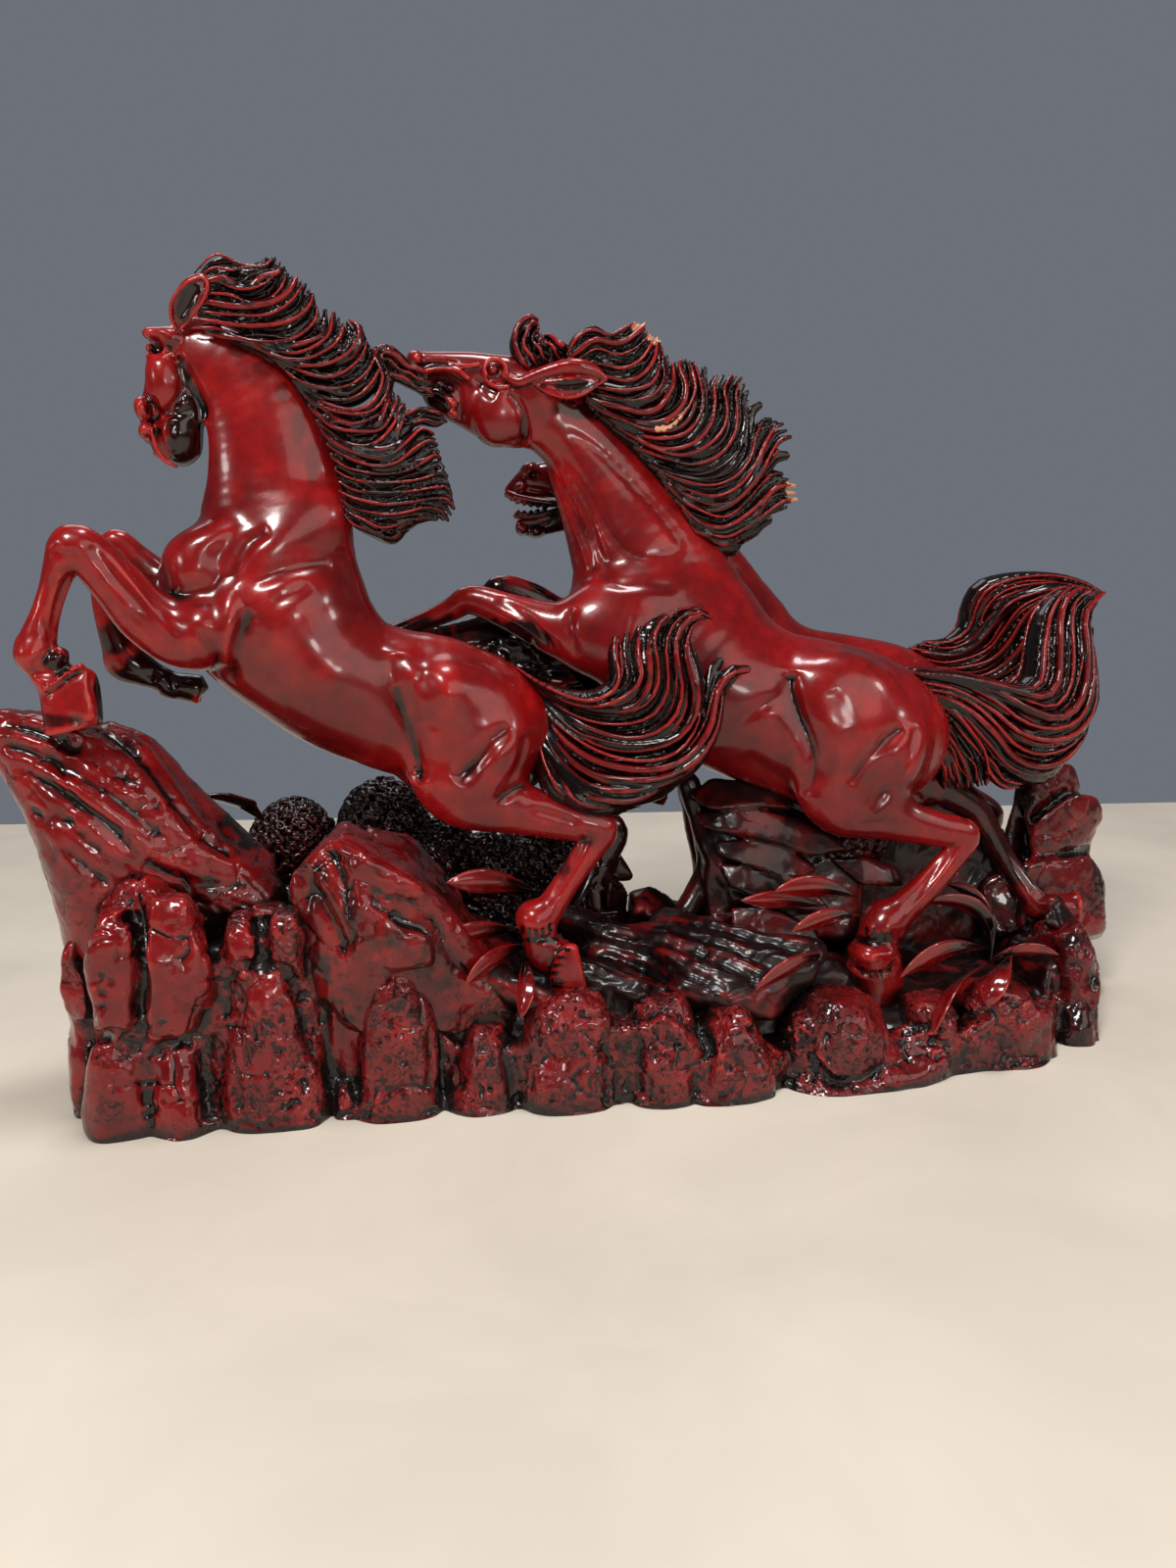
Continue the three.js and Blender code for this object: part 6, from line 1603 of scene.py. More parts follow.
WALL_TOP = [(50, 1010), (62, 985), (84, 940), (100, 915), (150, 928), (196, 965), (214, 1000), (226, 955), (300, 950), (322, 972), (346, 1010), (364, 1020), (400, 1006), (446, 1046), (470, 1072), (500, 1062),
            (534, 1064), (580, 1040), (636, 1052), (680, 1040), (722, 1066), (760, 1052), (802, 1078), (860, 1050), (920, 1062), (984, 1052), (1040, 1030), (1084, 1030), (1128, 1000)]


def make_front_stones(material):
    F = Field([-204, -74, 0 - 2.2], [222, -4, 98], 0.85)
    W = warps(F, 11.0, 21)
    s = lambda *a, **k: stone(F, *a, W, **k)
    # the wall of rock that the stones stand out from
    X, Y, Z = F.ax[0][:, None, None], F.ax[1][None, :, None], F.ax[2][None, None, :]
    fe = np.interp(F.ax[0], *zip(*FRONT_EDGE))
    tops = []
    for u, v in WALL_TOP:
        x = at(u, v, -50)[0][0]
        e = float(np.interp(x, *zip(*FRONT_EDGE)))
        q = at(u, v, e + 6)[0]
        tops.append((q[0], q[2]))
    top = np.interp(F.ax[0], *zip(*tops))
    yy = Y + W[1] * 2.2
    d = np.maximum(fe[:, None, None] + 6.0 - yy, yy - fe[:, None, None] - 20.0)
    e = (Z - top[:, None, None] + W[2] * 3.0) * 0.8
    h = np.maximum(4 - np.abs(d - e), 0) / 4
    d = np.maximum(d, e) + h * h
    e = np.maximum(-187.0 - (X + W[0] * 2), (X + W[0] * 2) - 203.0)
    d = np.maximum(d, e)
    F.put(tuple(slice(0, n) for n in F.n), np.clip(d, -5, 5).astype(np.float32))
    # far left stone and the tall arched one
    s(54, 98, 950, None, -37, 15, amp=2.2, q=2.6, lean=-0.04)
    s(58, 92, 955, 1052, -44, 9, amp=2.0)
    s(84, 214, 898, None, -55.5, 17, amp=1.8, q=4.2, k=2.0)
    s(90, 143, 930, 1070, -59.5, 9, amp=2.0, p=4.0, q=4.0, k=1.8)
    s(143, 209, 916, 1064, -59.5, 9, amp=2.0, p=4.0, q=4.0, k=1.8)
    s(71, 154, 1052, None, -58.5, 13, amp=1.6, q=3.8, k=1.4)
    s(146, 214, 1082, None, -60.5, 12, amp=2.0, q=3.4, k=1.6)
    # second column with its inner plate
    s(222, 320, 928, None, -54, 15, amp=2.0, q=3.8, k=2.0)
    s(226, 264, 932, 1000, -57, 8, amp=1.8, p=3.4, k=1.2)
    s(270, 312, 930, 1010, -57, 8, amp=1.8, p=3.4, k=1.2)
    s(224, 318, 986, None, -60.5, 12, amp=2.2, p=2.8, q=3.2, k=2.4, taper=0.22)
    s(206, 334, 1062, None, -59.5, 14, amp=1.8, q=3.0, k=4.0)
    # shards in the gap
    s(318, 346, 958, None, -46, 10, amp=2.6)
    s(330, 350, 964, 1070, -50, 6, amp=2.2, k=1.0)
    s(338, 366, 1096, None, -55, 9, amp=2.2)
    # the egg-shaped one and the smaller ones along the front
    s(353, 450, 975, None, -60.5, 16, amp=1.6, p=2.8, q=3.0, k=1.4, taper=0.16)
    s(350, 454, 1112, None, -59.5, 15, amp=1.6, q=2.6, k=3.0)
    s(436, 466, 1060, None, -50, 12, amp=2.0)
    s(456, 530, 1046, None, -60.5, 13, amp=1.6, p=3.0, q=3.8, k=1.0, taper=0.06)
    s(452, 536, 1104, None, -59.5, 14, amp=1.6, k=2.0)
    s(531, 641, 1018, None, -65, 16, amp=1.6, p=2.9, q=3.8, k=1.0, taper=0.06)
    s(560, 602, 1014, 1050, -60, 12, amp=1.6, k=2.0)
    s(618, 650, 1052, None, -61, 12, amp=2.0)
    s(643, 724, 1020, None, -67, 15, amp=1.6, p=2.9, q=3.6, k=1.0, taper=0.08)
    s(646, 704, 1104, None, -67, 12, amp=1.6, k=1.6)
    s(702, 803, 1034, None, -69.5, 16, amp=1.8, p=2.8, q=3.3, k=1.2, taper=0.10)
    s(716, 760, 1056, None, -70, 12, amp=1.6, k=1.2)
    # right-hand ledges
    s(806, 986, 1080, None, -69.5, 18, amp=1.6, q=3.2, k=1.4)
    s(812, 924, 1016, 1106, -67, 18, amp=1.8, q=2.9, k=1.2)
    s(806, 850, 1032, 1098, -62, 12, amp=1.8)
    s(890, 990, 1068, 1118, -66, 14, amp=1.8, q=2.6, k=1.4)
    s(930, 988, 1018, 1080, -60, 13, amp=1.8, k=1.0)
    s(984, 1084, 1066, None, -59.5, 18, amp=1.6, q=2.8, k=1.2)
    s(988, 1074, 1006, 1074, -57, 15, amp=1.8, k=1.0)
    s(1040, 1088, 1036, None, -52, 14, amp=1.8)
    s(1074, 1132, 1006, None, -44, 18, amp=1.8, k=1.2)
    s(1080, 1131, 940, 1052, -38, 18, amp=1.8, k=2.0)
    # grooves that part the plates
    for rows, wdt, dep in (
            ([(140, 930, -60), (144, 965, -60), (146, 1000, -60), (142, 1040, -60)], 2.6, 2.8),
            ([(104, 944, -60), (120, 940, -60), (138, 936, -60)], 1.8, 1.4),
            ([(84, 1062, -60), (112, 1056, -60), (140, 1070, -60), (152, 1096, -60), (152, 1130, -60)], 2.4, 2.6),
            ([(150, 1080, -60), (176, 1066, -60), (206, 1060, -60)], 2.2, 2.2),
            ([(212, 1030, -62), (211, 1080, -62), (212, 1145, -62)], 2.4, 2.8),
            ([(226, 1040, -62), (230, 1005, -62), (244, 988, -62), (266, 983, -62), (290, 992, -62), (306, 1018, -62), (314, 1060, -62), (326, 1090, -62)], 2.2, 2.4),
            ([(267, 934, -60), (266, 958, -60), (266, 984, -60)], 2.8, 2.8),
            ([(356, 1108, -62), (380, 1114, -62), (420, 1108, -62), (446, 1112, -62)], 1.6, 1.0),
            ([(436, 1050, -62), (440, 1080, -62), (436, 1110, -62)], 2.0, 1.8),
            ([(612, 1060, -66), (622, 1090, -66), (618, 1130, -66)], 2.0, 1.8),
            ([(716, 1050, -70), (722, 1080, -70), (716, 1120, -70)], 2.4, 2.2),
            ([(818, 1062, -70), (850, 1104, -70), (880, 1102, -70), (905, 1084, -70)], 1.8, 1.6),
            ([(900, 1070, -70), (940, 1064, -70), (980, 1066, -70)], 2.2, 2.0)):
        surface_line(F, rows, wdt, dep)

    def where(v):
        # the crown of the big left stone and the right end are smoother
        w = 0.40 + 0.8 * np.clip((v[:, 0] + 150) / 70, 0, 1) - 0.55 * np.clip((v[:, 0] - 60) / 30, 0, 1) + 0.35 * noise3(v, 16.0, 91, 2)
        return np.clip(w, 0.12, 1)
    return rock_piece("rock_base_front", "rock_base", F, material, 11, 1.35, 0.8, 0.8, where=where, grain=0.05, cuts=(-60, 70))


def terrain_top(X, Y, seed_grid):
    z = np.full(np.broadcast(X, Y).shape, 14.0, np.float32)
    for cx, cy, rx, ry, h in [(-160, 26, 28, 28, 64), (-112, 40, 32, 24, 58), (-58, 38, 28, 24, 68), (-8, 46, 30, 22, 38), (50, 46, 32, 22, 40), (104, 50, 28, 16, 26), (148, 50, 32, 18, 23), (184, 40, 24, 20, 26),
                              (-140, -6, 54, 50, 66), (-66, -8, 46, 46, 58), (-6, -4, 54, 50, 40), (70, 4, 62, 48, 34), (130, 0, 70, 54, 22), (190, -12, 20, 34, 36), (202, 20, 25, 27, 30), (-178, -8, 12, 22, 56)]:
        t = 1 - np.abs((X - cx) / rx) ** 2.6 - np.abs((Y - cy) / ry) ** 2.6
        z = np.maximum(z, h * np.clip(t, 0, 1) ** 0.32)
    return z


def make_terrain(material):
    F = Field([-196, -60, -2.2], [226, 68, 80], 1.25)
    W = warps(F, 14.0, 41)
    X = F.ax[0][:, None, None]; Y = F.ax[1][None, :, None]; Z = F.ax[2][None, None, :]
    fe = np.interp(F.ax[0], *zip(*FRONT_EDGE)); be = np.interp(F.ax[0], *zip(*BACK_EDGE))
    be = np.maximum(be, np.interp(F.ax[0], [180, 196, 214, 222], [0, 50, 42, 30]))
    top = terrain_top(F.ax[0][:, None], F.ax[1][None, :], None)[:, :, None]
    wz = W[2] * 3.0
    d = (Z - top + wz) * 0.6
    yy = Y + W[1] * 1.6
    side = np.maximum(fe[:, None, None] + 10.0 - yy, yy - be[:, None, None] + 2.2)
    out = 205.0 + 13.0 * np.clip((Y + 8) / 8, 0, 1) * np.clip((48 - Y) / 10, 0, 1)
    ends = np.maximum(-188.0 - (X + W[0] * 1.2), (X + W[0] * 1.2) - out)
    side = np.maximum(side, ends)
    h = np.maximum(6 - np.abs(d - side), 0) / 6
    d = np.maximum(d, side) + h * h * 6 * 0.25
    F.put(tuple(slice(0, n) for n in F.n), np.clip(d, -5, 5).astype(np.float32))
    # boulders along the back, which carry on the front's rhythm
    r = np.random.RandomState(5)
    x = -176.0
    while x < 196:
        wdt = r.uniform(15, 24)
        yb = float(np.interp(x + wdt, *zip(*BACK_EDGE)))
        base = float(terrain_top(np.array([x + wdt]), np.array([yb - 10.0]), None).max())
        hh = base * r.uniform(0.72, 0.98)
        lo = np.array([x - 8, yb - 32, -3]); hi = np.array([x + 2 * wdt + 8, yb + 4, hh + 8])
        w = F.window(lo, hi)
        if w is not None:
            sl, XX, YY, ZZ = w
            a = (np.abs((XX - x - wdt + W[0][sl] * 1.6) / wdt) ** 2.6 + np.abs((YY - yb + 14 + W[1][sl] * 1.6) / 14.0) ** 2.6) ** (1 / 2.6)
            f = (a ** 3 + np.abs((ZZ + W[2][sl] * 1.6) / hh) ** 3) ** (1 / 3) - 1
            F.put(sl, (f * 12).astype(np.float32), 0.6)
        x += wdt * r.uniform(1.5, 1.75)
    # folds of ground between the stones on the front
    for rows, rr in (
            ([(690, 985, -36, 11), (730, 995, -42, 12), (770, 1008, -46, 11), (796, 1016, -44, 6)], 1),
            ([(690, 960, -26, 12), (730, 975, -34, 14), (775, 988, -42, 13), (820, 992, -46, 10)], 1),
            ([(680, 940, -10, 14), (730, 955, -22, 14), (780, 965, -32, 12), (830, 970, -38, 10)], 1),
            ([(700, 1010, -46, 10), (745, 1020, -50, 11), (784, 1030, -50, 6)], 1),
            ([(440, 950, -30, 16), (480, 980, -38, 18), (520, 1010, -44, 16), (560, 1022, -48, 12)], 1),
            ([(560, 930, -8, 14), (600, 945, -12, 16), (640, 960, -18, 18), (680, 968, -24, 16)], 1),
            ([(590, 990, -34, 14), (620, 1006, -42, 14), (650, 1012, -46, 12)], 1),
            ([(820, 988, -22, 11), (846, 992, -24, 10)], 1)):
        P, R, K = chain([(u, v, y, q, 1.0) for u, v, y, q in rows])
        F.tube(P, R * 0.70, None, 13.0)
    for rows in ([(596, 958), (640, 968), (690, 986), (736, 1004)], [(604, 946), (660, 957), (716, 976), (772, 1000)], [(640, 944), (690, 950), (744, 966), (800, 986)],
                 [(690, 940), (744, 950), (796, 964), (836, 974)], [(566, 984), (600, 990), (640, 1002), (672, 1014)], [(660, 978), (700, 994), (744, 1012)], [(612, 974), (650, 986), (690, 1002)],
                 [(720, 958), (760, 974), (796, 994)], [(700, 966), (742, 984), (786, 1008)], [(600, 936), (650, 938), (700, 944)]):
        crease(F, [(u, v, -24) for u, v in rows], 1.5, 1.1)
    # the peaked rock in the gap, and the small pyramid at the right
    slab(F, [(640, 908, 6), (665, 902, 4), (685, 912, 8), (705, 945, 0), (640, 950, -4), (650, 925, -8), (690, 955, -4), (660, 960, 20), (700, 950, 22), (640, 960, 20)], 2.0, 1.5)
    slab(F, [(1064, 940, -22), (1078, 908, -14), (1102, 942, -16), (1085, 950, -24), (1075, 960, 0), (1100, 955, 4)], 1.5, 1.2)
    return rock_piece("rock_base_ground", "rock_base", F, material, 31, 0.5, 0.6, 1.3, grain=0.12, smooth=4, hollow_size=0.8, where=lambda v: np.full(len(v), 0.2))


def make_crag(material):
    F = Field([-212, -62, 44], [-96, 16, 152], 0.9)
    W = warps(F, 12.0, 61)
    for rows in ([(10, 745, -25, 22, 1.3), (48, 758, -26, 30, 1.25), (96, 788, -26, 38, 1.2), (150, 838, -25, 46, 1.1), (205, 890, -24, 44, 1.0), (262, 922, -24, 34, 1.0)],
                 [(8, 762, -25, 19, 1.3), (40, 790, -26, 28, 1.4), (74, 838, -26, 38, 1.3), (100, 890, -26, 46, 1.2), (118, 945, -25, 50, 1.0)],
                 [(60, 772, -24, 26, 1.3), (110, 830, -24, 50, 1.1), (150, 890, -22, 60, .9), (180, 940, -22, 64, .8)],
                 [(112, 752, -14, 14, 1.3), (145, 772, -14, 20, 1.3), (175, 812, -14, 24, 1.2), (215, 850, -14, 24, 1.2), (262, 885, -14, 20, 1.2)]):
        Q, RR, KK = smooth_chain(rows, 4.0)
        F.tube(Q, RR, KK, 6.0)
    F.d += (W[2] * 0.9 + W[0] * 0.5).astype(np.float32)
    # long ridges that run down from the tip, with the furrows between them
    y = -46
    ridges = [
        [(2, 735, y), (30, 734, y), (60, 744, y), (92, 758, y)],
        [(0, 748, y), (36, 756, y), (70, 772, y), (110, 792, y), (150, 822, y), (190, 858, y), (232, 878, y), (286, 890, y)],
        [(64, 744, y), (100, 758, y), (134, 782, y), (160, 812, y), (188, 846, y), (220, 870, y)],
        [(0, 768, y), (34, 784, y), (76, 806, y), (118, 836, y), (156, 868, y), (200, 892, y)],
        [(10, 786, y), (44, 808, y), (84, 838, y), (124, 872, y), (160, 898, y)],
        [(30, 812, y), (60, 842, y), (96, 874, y), (130, 898, y)],
        [(50, 846, y), (72, 876, y), (98, 902, y)],
        [(110, 746, y), (140, 760, y), (166, 788, y), (186, 820, y), (214, 850, y), (246, 872, y)],
        [(200, 868, y), (240, 884, y), (284, 892, y)]]
    for rows in ridges:
        surface_line(F, rows, 2.3, -1.5)
    furrows = [
        ([(4, 741, y), (34, 746, y), (64, 757, y), (104, 776, y), (140, 804, y)], 1.9, 1.3),
        ([(48, 760, y), (70, 776, y), (96, 782, y), (122, 796, y), (134, 806, y)], 2.8, 2.4),
        ([(20, 742, y), (48, 752, y), (80, 770, y)], 1.6, 1.4),
        ([(2, 757, y), (40, 771, y), (80, 792, y), (126, 820, y), (168, 856, y)], 1.8, 1.2),
        ([(142, 818, y), (152, 824, y), (166, 821, y)], 2.4, 2.2),
        ([(30, 826, y), (52, 836, y), (76, 838, y)], 2.0, 1.8),
        ([(12, 777, y), (46, 796, y), (92, 826, y), (138, 860, y)], 1.7, 1.1),
        ([(64, 745, y), (66, 758, y), (74, 770, y)], 1.8, 1.6),
        ([(96, 744, y), (120, 756, y), (150, 784, y), (176, 820, y), (204, 854, y), (240, 876, y)], 1.8, 1.2),
        ([(60, 862, y), (84, 884, y), (112, 900, y)], 1.6, 1.0),
        ([(150, 880, y), (200, 902, y), (250, 904, y)], 1.8, 1.0)]
    for rows, wdt, dep in furrows:
        surface_line(F, rows, wdt, dep)
    for dy in (0, 14, 28):
        for rows in ridges[1:7:2]:
            surface_line(F, [(u, v + dy, 0) for u, v, _ in rows], 2.4, -1.3, 1)

    def where(v):
        return np.full(len(v), 0.18)
    return rock_piece("left_crag_form", "left_crag", F, material, 71, 0.9, 0.5, 0.5, smooth=3, hollow_size=0.6, where=where)


def make_centre_rock(material):
    F = Field([-122, -62, 24], [-18, 14, 106], 0.9)
    W = warps(F, 12.0, 81)
    slab(F, [(298, 888, -46), (338, 862, -50), (366, 868, -55), (442, 906, -50), (352, 834, -30), (402, 862, -22), (462, 908, -14), (304, 886, -8), (342, 842, 2),
             (362, 962, -59), (528, 1042, -47), (536, 1006, -30), (300, 1000, -46), (360, 1050, -54), (520, 1062, -20), (300, 1060, 0), (450, 1040, 8), (400, 1070, -50)], 0.0, 2.2, W, 0.9)
    slab(F, [(292, 890, -48), (312, 876, -52), (330, 882, -54), (356, 930, -56), (352, 1000, -54), (318, 1000, -50), (300, 960, -48), (310, 900, -30), (350, 960, -30)], 1.4, 2.2, W, 0.8)
    slab(F, [(372, 842, -24), (420, 850, -14), (470, 905, -12), (480, 940, -24), (430, 905, -40), (400, 880, -44), (400, 900, -6)], 0.8, 1.4, W, 0.5)
    slab(F, [(346, 906, -57.5), (384, 926, -58.5), (436, 954, -58), (446, 984, -57), (392, 992, -60), (356, 966, -60), (350, 920, -46), (440, 956, -44), (440, 990, -44), (356, 980, -46)], 1.8, 3.0, W, 0.8)
    slab(F, [(366, 868, -56.5), (398, 882, -56), (432, 902, -54), (440, 918, -53), (400, 916, -56.5), (368, 896, -58), (372, 872, -44), (436, 908, -40), (400, 914, -44)], 1.8, 3.0, W, 0.8)
    surface_line(F, [(333, 864, -58), (346, 886, -58), (356, 910, -58), (360, 946, -58), (354, 972, -58)], 2.0, 2.4)
    surface_line(F, [(400, 930, -60), (410, 940, -60), (421, 952, -60)], 2.2, 1.3)
    surface_line(F, [(312, 884, -58), (322, 912, -58), (340, 940, -58), (352, 975, -58)], 2.2, 2.2)
    surface_line(F, [(384, 960, -60), (390, 985, -60), (402, 1010, -60)], 1.3, 1.0)
    surface_line(F, [(440, 930, -58), (452, 960, -58), (470, 985, -58), (500, 1005, -58)], 2.0, 1.4)
    surface_line(F, [(338, 864, -55), (352, 905, -55), (358, 950, -55)], 1.4, 1.0)
    surface_line(F, [(300, 892, -55), (312, 902, -55), (316, 930, -55)], 1.8, 1.8)
    return rock_piece("centre_rock_form", "centre_rock", F, material, 91, 0.9, 0.6, 0.6, smooth=2, hollow_size=0.7,
                      where=lambda v: np.full(len(v), 0.25))


def make_saddle_rock(material):
    F = Field([26, -34, 14], [186, 46, 112], 1.0)
    W = warps(F, 12.0, 101)
    # the web of rock behind the middle horse's hind legs
    X, Z = F.ax[0][:, None, None], F.ax[2][None, None, :]
    Yw = F.ax[1][None, :, None] + W[1] * 2.6
    top = np.interp(F.ax[0], [88, 100, 118, 140, 156, 168, 180, 186], [84, 92, 93, 90, 84, 80, 72, 60])[:, None, None]
    d = np.maximum(np.maximum(np.abs(Yw - 21.5) - 5.0, Z - top + W[2] * 3.5), np.maximum(90 - X, X - 182))
    d = d + W[0] * 0.8
    F.put(tuple(slice(0, n) for n in F.n), np.clip(d * 0.8, -5, 5).astype(np.float32))
    # core
    slab(F, [(716, 806, 0), (770, 798, -5), (836, 838, -8), (880, 870, -8), (884, 960, -16), (720, 960, -14), (726, 880, -11), (730, 820, 30), (800, 810, 34), (870, 880, 36), (860, 950, 36), (730, 950, 36)], 0, 3.5, W, 2.2)
    # plates that slope down to the right
    slab(F, [(702, 812, -4), (726, 792, -4), (800, 800, -8), (812, 826, -12), (770, 822, -16), (722, 826, -14), (720, 812, 16), (800, 812, 16)], 0.3, 1.2, W, 0.5)
    slab(F, [(708, 830, -10), (760, 822, -14), (830, 840, -14), (868, 868, -12), (830, 876, -16), (760, 850, -18), (716, 846, -14), (740, 830, 12), (850, 860, 12)], 0.3, 1.2, W, 0.5)
    slab(F, [(728, 858, -14), (762, 856, -16), (800, 862, -16), (836, 890, -14), (806, 900, -20), (760, 884, -21), (732, 872, -18), (760, 870, 10), (820, 880, 10)], 0.3, 1.2, W, 0.5)
    slab(F, [(732, 880, -14), (770, 880, -18), (820, 898, -20), (850, 930, -22), (800, 930, -24), (744, 905, -20), (760, 900, 8), (830, 910, 8)], 0.3, 1.2, W, 0.5)
    slab(F, [(845, 876, -10), (880, 872, -14), (920, 884, -12), (925, 905, -16), (880, 905, -18), (860, 890, 6), (910, 895, 6)], 0.3, 1.2, W, 0.5)
    slab(F, [(744, 925, -20), (780, 925, -24), (830, 945, -26), (840, 965, -28), (780, 960, -28), (745, 945, -24), (780, 940, 4), (830, 950, 4)], 0.3, 1.2, W, 0.5)
    for rows in ([(735, 838, 36), (780, 846, 36), (826, 870, 36), (862, 902, 36)], [(728, 880, 36), (770, 892, 36), (815, 918, 36), (850, 935, 36)],
                 [(782, 812, 36), (796, 850, 36), (786, 892, 36), (798, 940, 36)], [(832, 845, 36), (838, 890, 36), (826, 935, 36)]):
        crease(F, rows, 2.6, 2.2, 1)
    # the twisted root on the left
    for rows in ([(702, 800, 2, 12, 1), (712, 830, 0, 11, 1), (722, 862, -4, 10, 1), (738, 890, -8, 10, 1), (752, 915, -10, 12, 1)],
                 [(716, 812, 4, 10, 1), (716, 850, 2, 9, 1), (720, 880, 0, 9, 1), (712, 908, -2, 12, 1), (700, 930, -4, 14, 1)],
                 [(700, 806, 12, 9, 1), (708, 845, 10, 9, 1), (718, 885, 8, 12, 1), (724, 930, 6, 20, 1)],
                 [(728, 830, 0, 8, 1), (736, 870, -6, 7, 1), (742, 905, -8, 8, 1), (730, 940, -8, 12, 1)]):
        Q, RR, KK = smooth_chain(rows, 4.0)
        F.tube(Q, RR, KK, 1.2)
    # bramble heads tucked in on the right
    c, m = at(862, 862, 4)
    bead_knob(F, c, (17, 12, 11), 7, 1.9)
    c, m = at(826, 866, 2)
    bead_knob(F, c, (10, 9, 8), 8, 1.8)
    return rock_piece("saddle_rock_form", "saddle_rock", F, material, 111, 0.5, 0.45, 0.4, smooth=2, hollow_size=0.7,
                      where=lambda v: np.full(len(v), 0.25))


def make_rear_rock(material):
    F = Field([160, -8, 8], [231, 52, 110], 0.95)
    W = warps(F, 13.0, 121)
    slab(F, [(1034, 784, 24), (1062, 774, 14), (1096, 776, 18), (1104, 806, 20), (1080, 850, 10), (1042, 850, 12), (1050, 790, 36), (1096, 790, 36), (1090, 850, 36)], 0.0, 3.0, W, 0.8)
    slab(F, [(1030, 800, 20), (1090, 790, 22), (1112, 830, 22), (1100, 880, 16), (1118, 950, 16), (1020, 960, 16), (1016, 880, 22), (1060, 800, 34), (1090, 880, 34), (1100, 950, 34), (1030, 950, 34)], 4.0, 3.0, W, 0.8)
    slab(F, [(1046, 850, 10), (1066, 826, 6), (1096, 806, 8), (1118, 808, 14), (1130, 834, 14), (1110, 866, 12), (1080, 884, 4), (1054, 880, 6), (1070, 830, 38), (1120, 830, 36), (1100, 880, 36), (1056, 870, 36)], 3.0, 3.0, W, 0.6)
    slab(F, [(1040, 878, 4), (1080, 876, 0), (1108, 868, 6), (1130, 900, 8), (1130, 950, 2), (1090, 962, -4), (1040, 950, 0), (1060, 880, 36), (1124, 890, 34), (1126, 960, 34), (1040, 960, 36)], 3.0, 3.0, W, 0.8)
    slab(F, [(1000, 900, 12), (1040, 880, 8), (1050, 950, 2), (1000, 960, 6), (1010, 900, 36), (1050, 880, 36), (1010, 960, 36), (1050, 960, 36)], 1.5, 3.0, W, 0.8)
    surface_line(F, [(1078, 872, 0), (1100, 868, 0), (1112, 866, 0)], 2.2, 1.8)
    surface_line(F, [(1046, 848, 0), (1064, 826, 0), (1090, 806, 0), (1104, 804, 0)], 2.4, 2.0)
    return rock_piece("rear_rock_form", "rear_rock", F, material, 131, 0.5, 0.5, 0.5, smooth=3, hollow_size=0.7,
                      where=lambda v: np.full(len(v), 0.25))


def bead_knob(F, c, r, seed, bead, hollow=True):
    """A bramble head: beads packed over a knob, each with a dimple at its tip."""
    c = np.asarray(c, float); r = np.asarray(r, float)
    F.ball(c, r * 0.86, 0.0)
    area = 4 * math.pi * ((r[0] * r[1]) ** 1.6 / 3 + (r[0] * r[2]) ** 1.6 / 3 + (r[1] * r[2]) ** 1.6 / 3) ** (1 / 1.6)
    n = int(area / (bead * bead * 3.0))
    rnd = np.random.RandomState(seed)
    i = np.arange(n) + 0.5
    ph = np.arccos(1 - 2 * i / n); th = math.pi * (1 + 5 ** 0.5) * i
    D = np.column_stack([np.cos(th) * np.sin(ph), np.sin(th) * np.sin(ph), np.cos(ph)])
    D += rnd.normal(0, 0.035, D.shape)
    D /= np.linalg.norm(D, axis=1, keepdims=True)
    rb = bead * rnd.uniform(0.82, 1.12, n)
    P = c + D * r * rnd.uniform(0.93, 1.0, n)[:, None]
    N = D / r
    N /= np.linalg.norm(N, axis=1, keepdims=True)
    for p, q in zip(P, rb):
        F.ball(p, q, 0.15)
    if hollow:
        for p, q, m in zip(P, rb, N):
            F.ball(p + m * q * 0.95, q * 0.55, 0.25, "cut")


def make_berries(name, node, heads, material, seed, leaf=None):
    lo = np.min([np.subtract(c, r) for c, r in heads], axis=0) - 5; hi = np.max([np.add(c, r) for c, r in heads], axis=0) + 5
    if leaf is not None:
        P, R, K = leaf
        lo = np.minimum(lo, (P - R[:, None]).min(0) - 3); hi = np.maximum(hi, (P + R[:, None]).max(0) + 3)
    F = Field(lo, hi, 0.6)
    for j, (c, r) in enumerate(heads):
        bead_knob(F, c, r, seed + j, 2.15)
    if leaf is not None:
        F.tube(P, R, K, 0.5, axis=(0, 0.5, 0.87))
    v, faces = F.mesh(smooth=1)
    attrs = {"hollow": hollow_of(v, faces, 7, 0.42), "broad": hollow_of(v, faces, 40, 1.5), "chip": np.zeros(len(v))}
    o = make_object(name, v, faces, material, attrs)
    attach(o, "root"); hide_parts(node)
    return o


